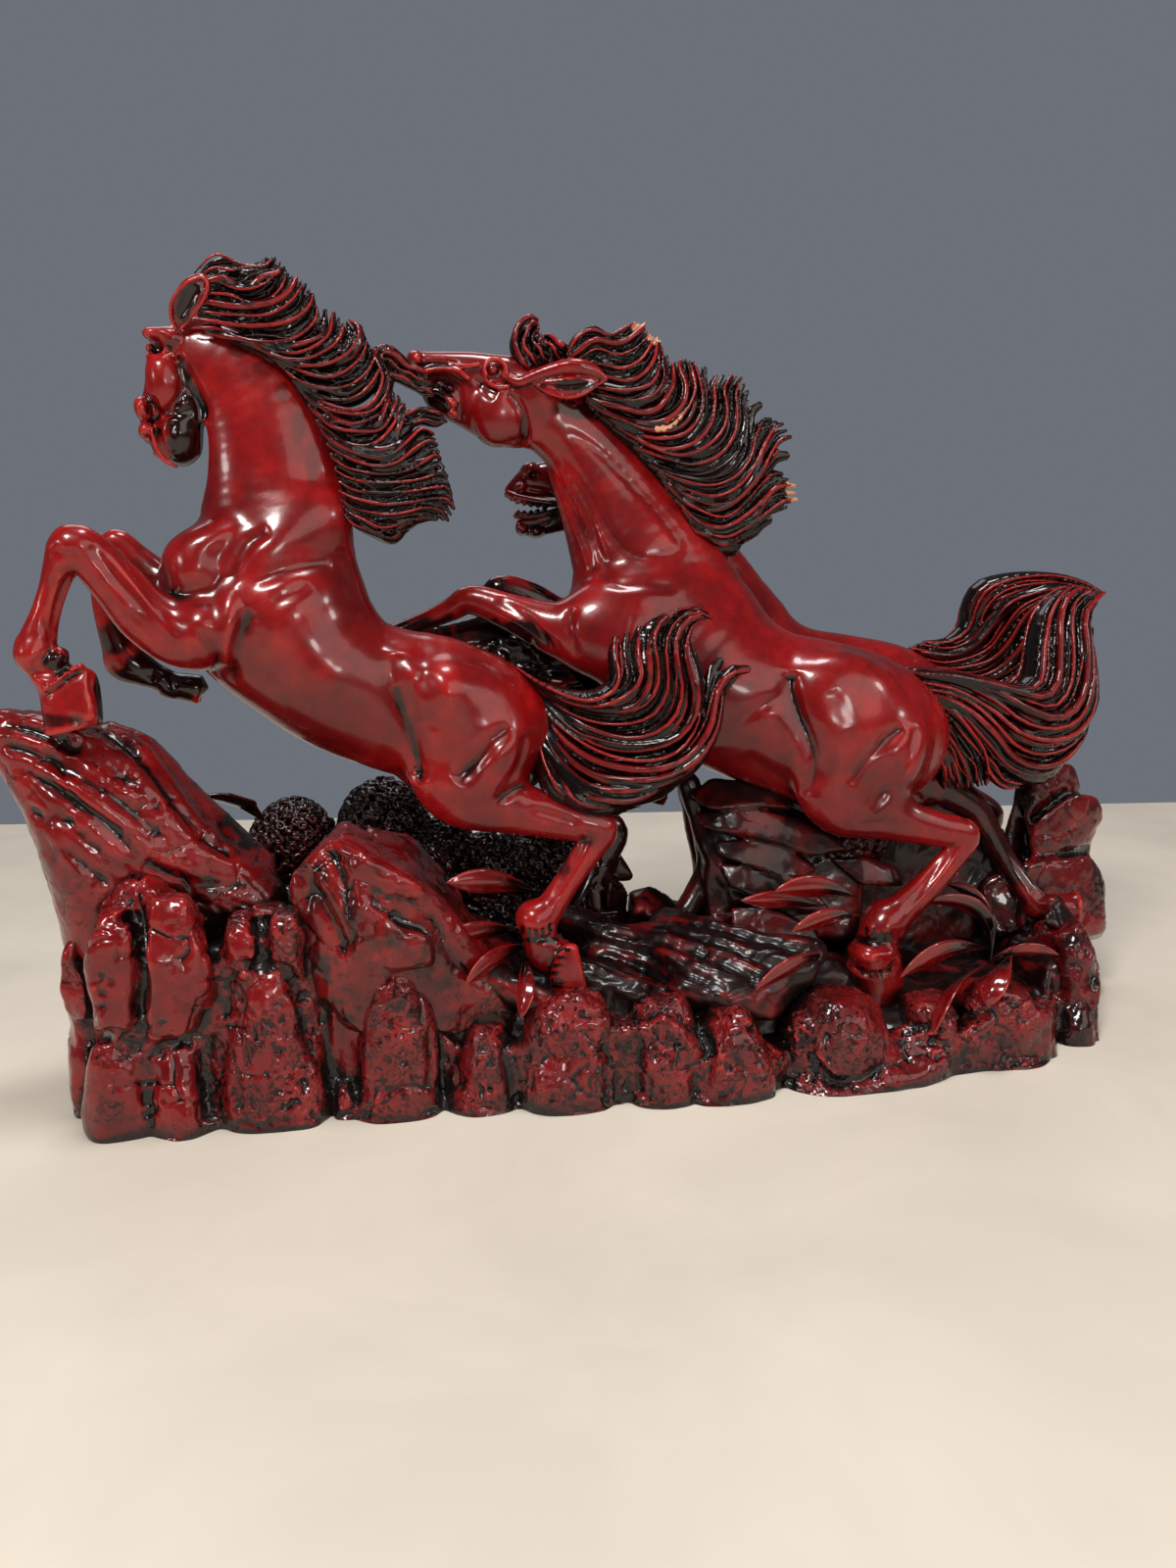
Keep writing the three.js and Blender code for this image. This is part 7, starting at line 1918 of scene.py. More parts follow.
def blade(base, tip, width, arch=(0, 0), y_arch=0.0, roll=0.0, thick=1.2, shape=1.25, nu=30, nv=10, fold=0.20, root=0.10, across=None, dark=0.0):
    """One leaf from base to tip (u, v, y), its middle pushed by arch px and y_arch mm; a closed, slightly
    folded blade. Returns points and quads."""
    b, m0 = at(*base); t, m1 = at(*tip)
    mid, mm = at((base[0] + tip[0]) / 2 + arch[0], (base[1] + tip[1]) / 2 + arch[1], (base[2] + tip[2]) / 2 + y_arch)
    s = np.linspace(0, 1, nu)
    C = ((1 - s) ** 2)[:, None] * b + (2 * s * (1 - s))[:, None] * (2 * mid - (b + t) / 2) + (s ** 2)[:, None] * t
    T = np.gradient(C, axis=0)
    T /= np.linalg.norm(T, axis=1, keepdims=True)
    up = np.array([math.sin(roll) * 0.3, -math.sin(roll), math.cos(roll)]) if across is None else np.array(across, float)
    A = up[None, :] - T * (T @ up)[:, None]
    A /= np.linalg.norm(A, axis=1, keepdims=True)
    N = np.cross(T, A)
    if N[len(N) // 2, 1] > 0:
        N = -N
    w = width * mm * (np.sin(math.pi * np.clip(s, 0, 1) ** shape) ** 0.90 * (1 - root * (1 - s)) + root * (1 - s) ** 2 * 0.9)
    w[-1] = 0.25
    w = np.maximum(w, 0.25)
    q = np.linspace(-1, 1, nv)
    pts_, quads = [], []
    th = thick * (0.35 + 0.65 * np.sin(math.pi * np.clip(s * 0.92 + 0.04, 0, 1)) ** 0.6)
    for side in (1, -1):
        for i in range(nu):
            for x in q:
                lift = fold * w[i] * (1 - abs(x)) ** 1.2 * 1.2 - 0.10 * w[i] * (1 - x * x)
                edge = (1 - x ** 4)
                off = lift + side * th[i] * 0.5 * (0.25 + 0.75 * edge)
                pts_.append(C[i] + A[i] * x * w[i] / 2 + N[i] * off)
    pts_ = np.array(pts_)
    n = nu * nv
    id_ = lambda s_, i, j: s_ * n + i * nv + j
    for i in range(nu - 1):
        for j in range(nv - 1):
            quads.append([id_(0, i, j), id_(0, i + 1, j), id_(0, i + 1, j + 1), id_(0, i, j + 1)])
            quads.append([id_(1, i, j), id_(1, i, j + 1), id_(1, i + 1, j + 1), id_(1, i + 1, j)])
        quads.append([id_(0, i, 0), id_(1, i, 0), id_(1, i + 1, 0), id_(0, i + 1, 0)])
        quads.append([id_(0, i, nv - 1), id_(0, i + 1, nv - 1), id_(1, i + 1, nv - 1), id_(1, i, nv - 1)])
    for j in range(nv - 1):
        quads.append([id_(0, 0, j), id_(0, 0, j + 1), id_(1, 0, j + 1), id_(1, 0, j)])
        quads.append([id_(0, nu - 1, j), id_(1, nu - 1, j), id_(1, nu - 1, j + 1), id_(0, nu - 1, j + 1)])
    quads = np.array(quads)
    # face the mesh outwards
    a, b_, c_, d_ = (pts_[quads[:, k]] for k in range(4))
    vol = (np.einsum("ij,ij->i", a, np.cross(b_, c_)) + np.einsum("ij,ij->i", a, np.cross(c_, d_))).sum()
    if vol < 0:
        quads = quads[:, ::-1]
    return pts_, quads


def make_spray(name, node, blades, material, stalk=None):
    V, Q, n, E = [], [], 0, []
    for row in blades:
        p, q = blade(**row)
        V.append(p); Q.append(q + n); n += len(p)
        nu, nv = row.get("nu", 30), row.get("nv", 10)
        x = np.tile(np.linspace(-1, 1, nv), nu * 2)
        s = np.tile(np.repeat(np.linspace(0, 1, nu), nv), 2)
        E.append(0.95 * np.clip(1.15 - s * 2.0, 0, 1) - 0.55 * np.clip((np.abs(x) - 0.6) * 3, 0, 1) - 0.3 * np.clip(s * 2 - 1, 0, 1) + row.get("dark", 0.0))
    v = np.vstack(V); faces = Faces(np.vstack(Q))
    attrs = {"hollow": np.concatenate(E), "broad": np.zeros(len(v)), "chip": np.zeros(len(v))}
    o = make_object(name, v, faces, material, attrs)
    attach(o, "root"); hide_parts(node)
    return o

# ---- finishes ---------------------------------------------------------------------------------
class Nodes:
    """Small helpers over one material's node tree."""

    def __init__(self, name):
        self.m = bpy.data.materials.new(name)
        self.m.use_nodes = True
        self.t = self.m.node_tree
        self.t.nodes.clear()
        self.out = self.t.nodes.new("ShaderNodeOutputMaterial")
        self.b = self.t.nodes.new("ShaderNodeBsdfPrincipled")
        self.t.links.new(self.b.outputs["BSDF"], self.out.inputs["Surface"])
        self.coord = self.t.nodes.new("ShaderNodeTexCoord").outputs["Object"]

    def link(self, a, b):
        self.t.links.new(a, b)

    def attr(self, name):
        n = self.t.nodes.new("ShaderNodeAttribute")
        n.attribute_type = "GEOMETRY"
        n.attribute_name = name
        return n.outputs["Fac"]

    def noise(self, scale, detail=3.0, rough=0.55, distort=0.0, vec=None):
        n = self.t.nodes.new("ShaderNodeTexNoise")
        n.inputs["Scale"].default_value = scale
        n.inputs["Detail"].default_value = detail
        n.inputs["Roughness"].default_value = rough
        n.inputs["Distortion"].default_value = distort
        self.link(self.coord if vec is None else vec, n.inputs["Vector"])
        return n.outputs["Fac"]

    def voronoi(self, scale, feature="F1", rnd=1.0):
        n = self.t.nodes.new("ShaderNodeTexVoronoi")
        n.feature = feature
        n.inputs["Scale"].default_value = scale
        n.inputs["Randomness"].default_value = rnd
        self.link(self.coord, n.inputs["Vector"])
        return n.outputs["Distance"]

    def math(self, op, a, b=None, clamp=False):
        n = self.t.nodes.new("ShaderNodeMath")
        n.operation = op
        n.use_clamp = clamp
        for i, x in enumerate((a, b)):
            if x is None:
                continue
            if isinstance(x, (int, float)):
                n.inputs[i].default_value = x
            else:
                self.link(x, n.inputs[i])
        return n.outputs[0]

    def ramp(self, fac, stops, interp="LINEAR"):
        n = self.t.nodes.new("ShaderNodeValToRGB")
        n.color_ramp.interpolation = interp
        e = n.color_ramp.elements
        while len(e) < len(stops):
            e.new(0.5)
        for el, (p, c) in zip(e, stops):
            el.position = p
            el.color = tuple(c) + (1,) if len(c) == 3 else c
        self.link(fac, n.inputs["Fac"])
        return n.outputs["Color"]

    def map(self, x, a0, a1, b0, b1, smooth=False):
        n = self.t.nodes.new("ShaderNodeMapRange")
        n.interpolation_type = "SMOOTHSTEP" if smooth else "LINEAR"
        n.inputs["From Min"].default_value = a0
        n.inputs["From Max"].default_value = a1
        n.inputs["To Min"].default_value = b0
        n.inputs["To Max"].default_value = b1
        self.link(x, n.inputs["Value"])
        return n.outputs["Result"]

    def mix(self, fac, a, b):
        n = self.t.nodes.new("ShaderNodeMix")
        n.data_type = "RGBA"
        n.inputs[0].default_value = 0.5
        if isinstance(fac, (int, float)):
            n.inputs[0].default_value = fac
        else:
            self.link(fac, n.inputs[0])
        for i, x in ((6, a), (7, b)):
            if isinstance(x, tuple):
                n.inputs[i].default_value = x + (1,) if len(x) == 3 else x
            else:
                self.link(x, n.inputs[i])
        return n.outputs[2]

    def bump(self, height, strength, distance, prev=None):
        n = self.t.nodes.new("ShaderNodeBump")
        n.inputs["Strength"].default_value = strength
        n.inputs["Distance"].default_value = distance
        self.link(height, n.inputs["Height"])
        if prev is not None:
            self.link(prev, n.inputs["Normal"])
        return n.outputs["Normal"]


def lacquer(name, reds, dark, wash=(0.0, 0.6), spread=0.25, rough=(0.22, 0.42), ridge=None, ridge_at=(0.25, 0.8),
            fine=900.0, fine_bump=0.05, coat=0.3, coat_rough=0.08, patch=35.0, speck=0.0, grime=0.0, broad_wash=0.0,
            cave=(0.25, 0.9), undercut_wash_and_shade_max=0.9, spec=0.32, bump2=0.12, pit=False, gloss=-0.10, deep=0.0, rise=None):
    """Red gloss lacquer. The blackened wash settles where the surface is hollow ("hollow", "broad"). Painted shade,
    mixed with that wash, darkens the undercuts and the patches listed per piece; ridges show a lighter red."""
    N = Nodes(name)
    hollow = N.attr("hollow")
    broad = N.attr("broad")
    cloud = N.noise(patch, 4, 0.6)
    mottled = N.noise(patch * 5.5, 3, 0.6)
    base = N.ramp(N.math("ADD", N.math("MULTIPLY", cloud, 0.65), N.math("MULTIPLY", mottled, 0.35)),
                  [(0.36, reds[0]), (0.52, reds[1]), (0.66, reds[2])])
    if deep:
        # thicker, darker lacquer where it has pooled and on some faces
        dk = N.map(N.math("ADD", N.noise(19.0, 5, 0.66, 0.6), N.math("MULTIPLY", broad, 0.10)), 0.44, 0.62, 0.0, deep, True)
        base = N.mix(dk, base, (0.050, 0.0040, 0.0042))
    if ridge is not None:
        up = N.map(N.math("MULTIPLY", hollow, -1.0), ridge_at[0], ridge_at[1], 0.0, 1.0, True)
        base = N.mix(up, base, ridge)
    # the wash
    d = N.math("ADD", hollow, N.math("MULTIPLY", N.math("SUBTRACT", mottled, 0.5), spread))
    if broad_wash:
        d = N.math("ADD", d, N.math("MULTIPLY", broad, broad_wash))
    w = N.map(d, wash[0], wash[1], 0.0, 1.0, True)
    # painted shade: darker where solid crowds round a place (undercuts, under bellies, between parts), together with
    # the wash that gathers there
    undercut_shade = N.map(N.math("ADD", N.attr("cave"), N.math("MULTIPLY", N.math("SUBTRACT", N.noise(patch * 2.2, 4, 0.6), 0.5), 0.35)),
               cave[0], cave[1], 0.0, undercut_wash_and_shade_max, True)
    w = N.math("MAXIMUM", w, undercut_shade)
    # painted shade and thick black wash in the patches listed per piece
    patch_shade = N.map(N.math("ADD", N.attr("soot"), N.math("MULTIPLY", N.math("SUBTRACT", mottled, 0.5), N.math("MULTIPLY", N.attr("soot"), 1.1))), 0.12, 0.75, 0.0, 0.96, True)
    w = N.math("MAXIMUM", w, patch_shade)
    if rise is not None:
        rs = N.math("ADD", N.attr("rise"), N.math("MULTIPLY", N.math("SUBTRACT", N.noise(62.0, 4, 0.62), 0.5), 2.6))
        w = N.math("MAXIMUM", w, N.map(rs, rise[0], rise[1], 0.96, 0.0, True))
    if pit:
        # sharp-edged pits left in the cast, in patches, with black in them
        zone = N.map(N.math("ADD", N.noise(40.0, 4, 0.6, 0.8), N.math("MULTIPLY", N.attr("pitty"), 0.24)), 0.62, 0.72, 0.0, 1.0, True)
        zone = N.math("MULTIPLY", zone, N.map(N.attr("pitty"), 0.02, 0.35, 0.0, 1.0))
        small = N.map(N.noise(310.0, 6, 0.70, 1.1), 0.54, 0.60, 0.0, 1.0, True)
        large = N.map(N.noise(125.0, 6, 0.74, 1.6), 0.585, 0.625, 0.0, 1.0, True)
        pm = N.math("MAXIMUM", N.math("MULTIPLY", small, zone), N.math("MULTIPLY", large, N.map(zone, 0.0, 0.6, 0.15, 1.0)))
        w = N.math("MAXIMUM", w, N.math("MULTIPLY", pm, 0.97))
    if grime:
        g = N.map(N.math("ADD", N.noise(patch * 1.7, 5, 0.65), N.math("MULTIPLY", broad, 0.18)), 0.5, 0.72, 0.0, grime, True)
        w = N.math("MAXIMUM", w, g)
    if speck:
        s = N.map(N.voronoi(520.0), 0.0, 0.22, speck, 0.0, True)
        s = N.math("MULTIPLY", s, N.map(N.noise(60, 3), 0.5, 0.7, 0.0, 1.0, True))
        w = N.math("MAXIMUM", w, s)
    col = N.mix(w, base, dark)
    N.link(col, N.b.inputs["Base Color"])
    r = N.map(N.math("ADD", N.math("MULTIPLY", cloud, 0.5), N.math("MULTIPLY", N.noise(260, 4, 0.65), 0.5)), 0.3, 0.7, rough[0], rough[1])
    r = N.math("ADD", r, N.math("MULTIPLY", w, gloss), True)
    N.link(r, N.b.inputs["Roughness"])
    N.b.inputs["Specular IOR Level"].default_value = spec
    N.b.inputs["IOR"].default_value = 1.46
    N.b.inputs["Coat Weight"].default_value = coat
    N.b.inputs["Coat Roughness"].default_value = coat_rough
    n1 = N.bump(N.noise(fine, 2, 0.5), fine_bump, 0.0004)
    n2 = N.bump(N.noise(150.0, 3, 0.55), bump2, 0.0006, n1)
    if pit:
        n2 = N.bump(N.math("SUBTRACT", N.math("MULTIPLY", N.math("MULTIPLY", N.noise(420.0, 4, 0.6, 0.5), zone), 0.9), pm), 0.9, 0.0013, n2)
    N.link(n2, N.b.inputs["Normal"])
    return N


def finish_chips(N, chip):
    """Bare terracotta-coloured resin where the lacquer has chipped off (attribute "chip")."""
    c = N.map(N.math("ADD", N.attr("chip"), N.math("MULTIPLY", N.math("SUBTRACT", N.noise(420, 3), 0.5), 0.5)), 0.45, 0.6, 0.0, 1.0, True)
    old = N.b.inputs["Base Color"].links[0].from_socket
    N.link(N.mix(c, old, chip), N.b.inputs["Base Color"])
    oldr = N.b.inputs["Roughness"].links[0].from_socket
    N.link(N.math("ADD", oldr, N.math("MULTIPLY", c, 0.45), True), N.b.inputs["Roughness"])
    return N


RED_DEEP = (0.110, 0.0018, 0.0026)
RED_MID = (0.225, 0.0030, 0.0040)
RED_WARM = (0.345, 0.0070, 0.0060)
RED_EDGE = (0.38, 0.013, 0.010)
# the black of the wash, also used for painted shade in the undercuts and the listed patches
BLACK_WASH_AND_SHADE = (0.0034, 0.0014, 0.0012)

MAT_HORSE = lacquer("horse_lacquer", (RED_DEEP, RED_MID, RED_WARM), BLACK_WASH_AND_SHADE, wash=(0.14, 0.75), spread=0.16, ridge=RED_EDGE,
                    rough=(0.20, 0.32), coat=0.42, coat_rough=0.10, patch=26.0, broad_wash=0.30, cave=(0.30, 0.95), spec=0.36, bump2=0.12, deep=0.45).m

MAT_HAIR = finish_chips(lacquer("hair_lacquer", (RED_DEEP, RED_MID, RED_WARM), BLACK_WASH_AND_SHADE, wash=(-0.62, -0.08), spread=0.30, ridge=(0.33, 0.013, 0.010),
                   ridge_at=(0.45, 1.0), rough=(0.22, 0.36), coat=0.40, coat_rough=0.07, patch=30.0, broad_wash=0.12, spec=0.26, gloss=-0.06, rise=(0.55, 1.45), cave=(0.35, 1.1)), (0.62, 0.30, 0.17)).m
MAT_ROCK = lacquer("rock_lacquer", (RED_DEEP, (0.205, 0.0042, 0.0054), (0.31, 0.0090, 0.0085)), BLACK_WASH_AND_SHADE, wash=(0.02, 0.46), spread=0.20, ridge=(0.36, 0.014, 0.012),
                   ridge_at=(0.3, 0.9), rough=(0.17, 0.32), coat=0.60, coat_rough=0.07, bump2=0.40, patch=20.0, deep=0.70, gloss=-0.02, broad_wash=0.34, grime=0.50, speck=0.35, fine_bump=0.08, cave=(0.12, 0.62), undercut_wash_and_shade_max=0.97, pit=True, spec=0.30).m
MAT_GROUND = lacquer("ground_lacquer", (RED_DEEP, (0.160, 0.0040, 0.0052), (0.25, 0.0085, 0.0080)), BLACK_WASH_AND_SHADE, wash=(0.02, 0.46), spread=0.20, ridge=(0.30, 0.012, 0.010),
                   ridge_at=(0.3, 0.9), rough=(0.24, 0.40), coat=0.34, coat_rough=0.14, bump2=0.24, patch=20.0, deep=0.80, gloss=0.02, broad_wash=0.34, grime=0.62, fine_bump=0.06, cave=(0.10, 0.60), undercut_wash_and_shade_max=0.97, spec=0.26).m
MAT_BERRY = lacquer("berry_lacquer", ((0.014, 0.001, 0.001), (0.030, 0.002, 0.002), (0.060, 0.003, 0.003)), (0.003, 0.0012, 0.0012), wash=(-0.55, 0.05), spread=0.25, ridge=(0.085, 0.004, 0.004),
                    ridge_at=(0.5, 1.0), rough=(0.20, 0.32), coat=0.5, coat_rough=0.06, patch=34.0, broad_wash=0.2, cave=(0.2, 0.8)).m
MAT_LEAF = lacquer("leaf_lacquer", (RED_DEEP, (0.175, 0.0030, 0.0040), (0.27, 0.0070, 0.0060)), BLACK_WASH_AND_SHADE, wash=(0.0, 0.6), spread=0.3, ridge=RED_EDGE,
                   ridge_at=(0.3, 0.8), rough=(0.16, 0.28), coat=0.9, coat_rough=0.06, patch=40.0, grime=0.6, cave=(0.2, 0.8)).m

# ---- the pieces ---------------------------------------------------------------------------------
for _h in ("h1", "h2", "h3"):
    make_horse(_h, MAT_HORSE)
hair("front_horse_mane", MANE_1, seed=1, material=MAT_HAIR, glow=-0.12)
hair("middle_horse_mane", MANE_2, seed=2, material=MAT_HAIR,
     chips=[(650, 330, 7, 9), (670, 343, 7, 10), (671, 438, -2, 3.4), (677, 437, -2, 3.6), (683, 434, -2, 3.6), (689, 430, -2, 3.4), (694, 425, -2, 3.0), (808, 497, 7, 8), (810, 508, 7, 8)], glow=-0.12)
hair("back_horse_mane", MANE_3, seed=3, material=MAT_HAIR)
hair("front_horse_tail", TAIL_1, seed=4, material=MAT_HAIR, glow=0.82)
hair("middle_horse_tail", TAIL_2, seed=5, material=MAT_HAIR, glow=0.85)
hair("back_horse_tail", TAIL_3, seed=6, material=MAT_HAIR, glow=2.0)
make_front_stones(MAT_ROCK)
make_terrain(MAT_GROUND)
make_crag(MAT_ROCK)
make_centre_rock(MAT_ROCK)
make_saddle_rock(MAT_GROUND)
make_rear_rock(MAT_ROCK)
_leafP, _leafR, _leafK = chain([(268, 836, 12, 3, .5), (250, 820, 8, 12, .3), (230, 814, 4, 12, .3), (212, 812, 2, 4, .5)])
make_berries("left_berry_cluster_form", "left_berry_cluster", [((-113, 20, 82), (16, 13, 17)), ((-97, 18, 74), (10, 10, 12))], MAT_BERRY, 1, (_leafP, _leafR, _leafK))
make_berries("centre_berry_cluster_form", "centre_berry_cluster", [((-78, 14, 88), (17, 13, 18)), ((-66, 12, 72), (14, 12, 14)), ((-55, 23, 75), (12, 9, 14))], MAT_BERRY, 11)
make_berries("rear_berry_cluster_form", "rear_berry_cluster", [((-39, 20, 64), (13, 11, 18)), ((-21, 23, 68), (14, 12, 15)), ((-6, 21, 60), (11, 11, 21)), ((-25, 17, 49), (20, 10, 12))], MAT_BERRY, 21)
make_spray("left_leaf_spray_form", "left_leaf_spray", [
    dict(base=(545, 908, -24), tip=(455, 901, -44), width=27, arch=(0, -5), y_arch=-4, roll=0.15),
    dict(base=(528, 950, -28), tip=(438, 970, -50), width=27, arch=(0, -8), y_arch=-4, roll=0.15),
    dict(base=(540, 964, -28), tip=(475, 1005, -54), width=27, arch=(-4, -5), y_arch=-4, roll=0.15),
    dict(base=(534, 975, -34), tip=(531, 1040, -60), width=20, arch=(4, -2), y_arch=-6, across=(1, -0.5, 0.1))], MAT_LEAF)
make_spray("upper_leaf_spray_form", "upper_leaf_spray", [
    dict(base=(874, 915, -32), tip=(790, 910, -48), width=25, arch=(0, -8), y_arch=-4, roll=0.2),
    dict(base=(842, 924, -29), tip=(756, 919, -46), width=20, arch=(0, -3), y_arch=-3, roll=0.2),
    dict(base=(876, 934, -34), tip=(808, 951, -52), width=22, arch=(0, -6), y_arch=-4, roll=0.2),
    dict(base=(850, 974, -38), tip=(771, 1010, -60), width=23, arch=(-2, -7), y_arch=-4, roll=0.2)], MAT_LEAF)
make_spray("lower_leaf_spray_form", "lower_leaf_spray", [
    dict(base=(1004, 968, -30), tip=(918, 998, -50), width=26, arch=(0, -12), y_arch=-4, roll=0.2),
    dict(base=(1008, 984, -36), tip=(953, 1055, -63), width=25, arch=(-9, -10), y_arch=-5, across=(0.5, -0.6, 0.6)),
    dict(base=(1032, 974, -38), tip=(1007, 1028, -60), width=30, arch=(-2, -4), y_arch=-6, across=(0.9, -0.4, 0.4)),
    dict(base=(1008, 982, -32), tip=(1080, 974, -40), width=17, arch=(0, -9), y_arch=-3, roll=0.5),
    dict(base=(1010, 980, -22), tip=(930, 922, -20), width=20, arch=(26, -24), y_arch=-2, roll=0.4, dark=0.42),
    dict(base=(1010, 984, -24), tip=(958, 900, -14), width=16, arch=(18, -18), y_arch=-2, roll=0.4, dark=0.6)], MAT_LEAF)


# ---- painted shade and thick black wash, in patches ----------------------------------------------
# (u, v, y mm, half sizes in px, px and mm, strength)
WASH_AND_SHADE_PATCHES = {
    "front_horse_head": [(190, 440, -20, 24, 37, 14, 1.0), (158, 355, -28, 7, 5, 5, 0.9), (187, 374, -22, 3.0, 9, 9, 1.0), (191, 390, -22, 6.5, 12, 12, 1.0), (195, 406, -22, 13, 11, 14, 1.0), (186, 318, -33, 6.5, 10, 5, 1.0), (192, 305, -34, 8.5, 10, 5, 1.0), (199, 295, -34, 6.5, 6, 5, 1.0), (152, 418, -29, 4, 8, 3, 0.9), (176, 350, -28, 12, 6, 6, 0.5)],
    "front_horse_body": [(187, 374, -22, 3.0, 9, 9, 1.0), (191, 390, -22, 6.5, 12, 12, 1.0), (193, 406, -22, 12, 11, 14, 1.0), (191, 440, -20, 17, 36, 14, 1.0), (205, 500, -8, 12, 60, 10, 0.6), (206, 618, -36, 26, 3.5, 16, 0.42), (244, 356, -30, 14, 8, 16, 0.40), (268, 376, -30, 13, 10, 16, 0.42), (288, 402, -28, 10, 14, 16, 0.42), (304, 434, -26, 9, 18, 16, 0.42), (318, 476, -26, 8, 22, 16, 0.40), (520, 800, -20, 30, 40, 8, 0.5)],
    "front_horse_left_foreleg": [(56, 676, -42, 16, 11, 8, 0.8), (104, 712, -38, 9, 40, 14, 0.95), (67, 645, -38, 6, 26, 10, 0.7), (62, 735, -44, 26, 8, 9, 0.6)],
    "front_horse_right_foreleg": [(165, 690, -3, 60, 26, 14, 0.95), (118, 650, -3, 18, 30, 10, 0.7), (140, 590, -3, 60, 30, 12, 0.45)],
    "front_horse_left_hind_leg": [(606, 850, -30, 14, 24, 9, 0.6), (546, 960, -37, 12, 8, 9, 0.55), (578, 898, -30, 10, 30, 7, 0.5), (550, 959, -39, 20, 3.4, 9, 1.0), (533, 950, -42, 2.0, 5, 6, 1.0), (540, 953, -42, 2.0, 5, 6, 1.0), (547, 954, -42, 2.0, 5, 6, 1.0), (554, 952, -42, 2.0, 5, 6, 1.0), (561, 948, -42, 2.0, 5, 6, 1.0),
                                  (552, 980, -41, 15, 20, 8, 0.42), (577, 969, -46, 6, 1.8, 7, 1.0), (573, 977, -46, 6, 1.8, 7, 1.0), (570, 985, -46, 6, 1.8, 7, 1.0), (566, 993, -46, 6, 1.8, 7, 1.0), (568, 1002, -44, 10, 5, 9, 0.7)],
    "front_horse_right_hind_leg": [(600, 900, -2, 60, 110, 14, 0.95)],
    "middle_horse_head": [(450, 395, 3, 18, 9, 6, 0.8), (440, 372, 3, 26, 3, 6, 0.7), (580, 393, -4, 30, 6, 5, 1.0), (505, 377, 2, 9, 8, 4, 0.5), (440, 416, 6, 18, 12, 10, 0.7), (535, 435, 3, 5, 20, 6, 0.6)],
    "middle_horse_body": [(575, 392, 4, 40, 20, 10, 0.8), (600, 415, 2, 44, 14, 10, 0.6), (560, 480, 14, 20, 60, 8, 0.5), (640, 700, 0, 60, 40, 26, 0.8)],
    "middle_horse_left_foreleg": [(500, 650, 4, 70, 20, 22, 0.95), (440, 655, 8, 90, 24, 14, 0.9)],
    "middle_horse_right_foreleg": [(530, 660, 22, 90, 70, 14, 0.85)],
    "middle_horse_left_hind_leg": [(898, 958, -26, 24, 6, 10, 0.95), (884, 950, -29, 2.2, 6, 7, 1.0), (892, 953, -30, 2.2, 6, 7, 1.0), (900, 954, -30, 2.2, 6, 7, 1.0), (908, 952, -29, 2.2, 6, 7, 1.0),
                                   (880, 990, -34, 2.4, 5, 8, 0.9), (889, 994, -35, 2.4, 5, 8, 0.9), (898, 994, -35, 2.4, 5, 8, 0.9), (906, 990, -34, 2.4, 5, 8, 0.9), (984, 846, -18, 10, 20, 6, 0.6), (955, 905, -18, 12, 40, 6, 0.5)],
    "middle_horse_right_hind_leg": [(1010, 860, 8, 90, 90, 18, 0.62)],
    "back_horse_head": [(560, 500, 38, 60, 50, 20, 0.38), (560, 520, 39, 36, 12, 9, 0.95), (545, 486, 31, 6, 6, 4, 0.9), (560, 545, 39, 34, 16, 9, 0.8), (590, 505, 34, 30, 30, 6, 0.5)],
    "back_horse_body": [(760, 770, 40, 200, 50, 26, 0.8), (700, 690, 30, 70, 60, 14, 0.8)],
    "back_horse_left_foreleg": [(640, 760, 30, 110, 90, 20, 0.9)],
    "back_horse_right_foreleg": [(580, 720, 50, 110, 100, 20, 0.75)],
    "back_horse_left_hind_leg": [(970, 880, 30, 90, 110, 20, 0.9)],
    "back_horse_right_hind_leg": [(980, 880, 46, 90, 110, 10, 0.5)],
    "centre_rock": [(430, 985, -46, 46, 34, 14, 0.55), (322, 905, -50, 14, 30, 12, 0.6), (356, 930, -54, 7, 40, 10, 0.8), (460, 990, -46, 60, 60, 14, 0.35), (520, 1020, -36, 40, 50, 20, 0.8), (440, 880, -8, 60, 50, 20, 0.7), (330, 1010, -48, 40, 40, 14, 0.8)],
    "left_crag": [(120, 775, -48, 24, 9, 9, 0.8), (152, 822, -48, 14, 6, 6, 0.7), (52, 834, -48, 26, 6, 8, 0.8), (94, 908, -48, 30, 9, 12, 0.55), (230, 905, -46, 70, 16, 12, 0.75), (210, 930, -40, 60, 24, 16, 0.8),
                  (180, 760, 0, 60, 60, 10, 0.4), (235, 850, -14, 50, 24, 20, 0.9)],
    "rock_base_ground": [(765, 1005, -45, 62, 42, 34, 0.75), (860, 1000, -44, 50, 20, 20, 0.5)],
    "rear_rock": [(1050, 905, 4, 40, 40, 14, 0.6), (1036, 830, 14, 20, 60, 14, 0.75), (1090, 862, 4, 40, 8, 12, 0.6)],
}


def picture_of(p):
    q = p - CAM_POS
    z = q @ CAM_F
    return CENTRE_U + FOCAL_PX * (q @ CAM_R) / z, CENTRE_V - FOCAL_PX * (q @ CAM_U) / z
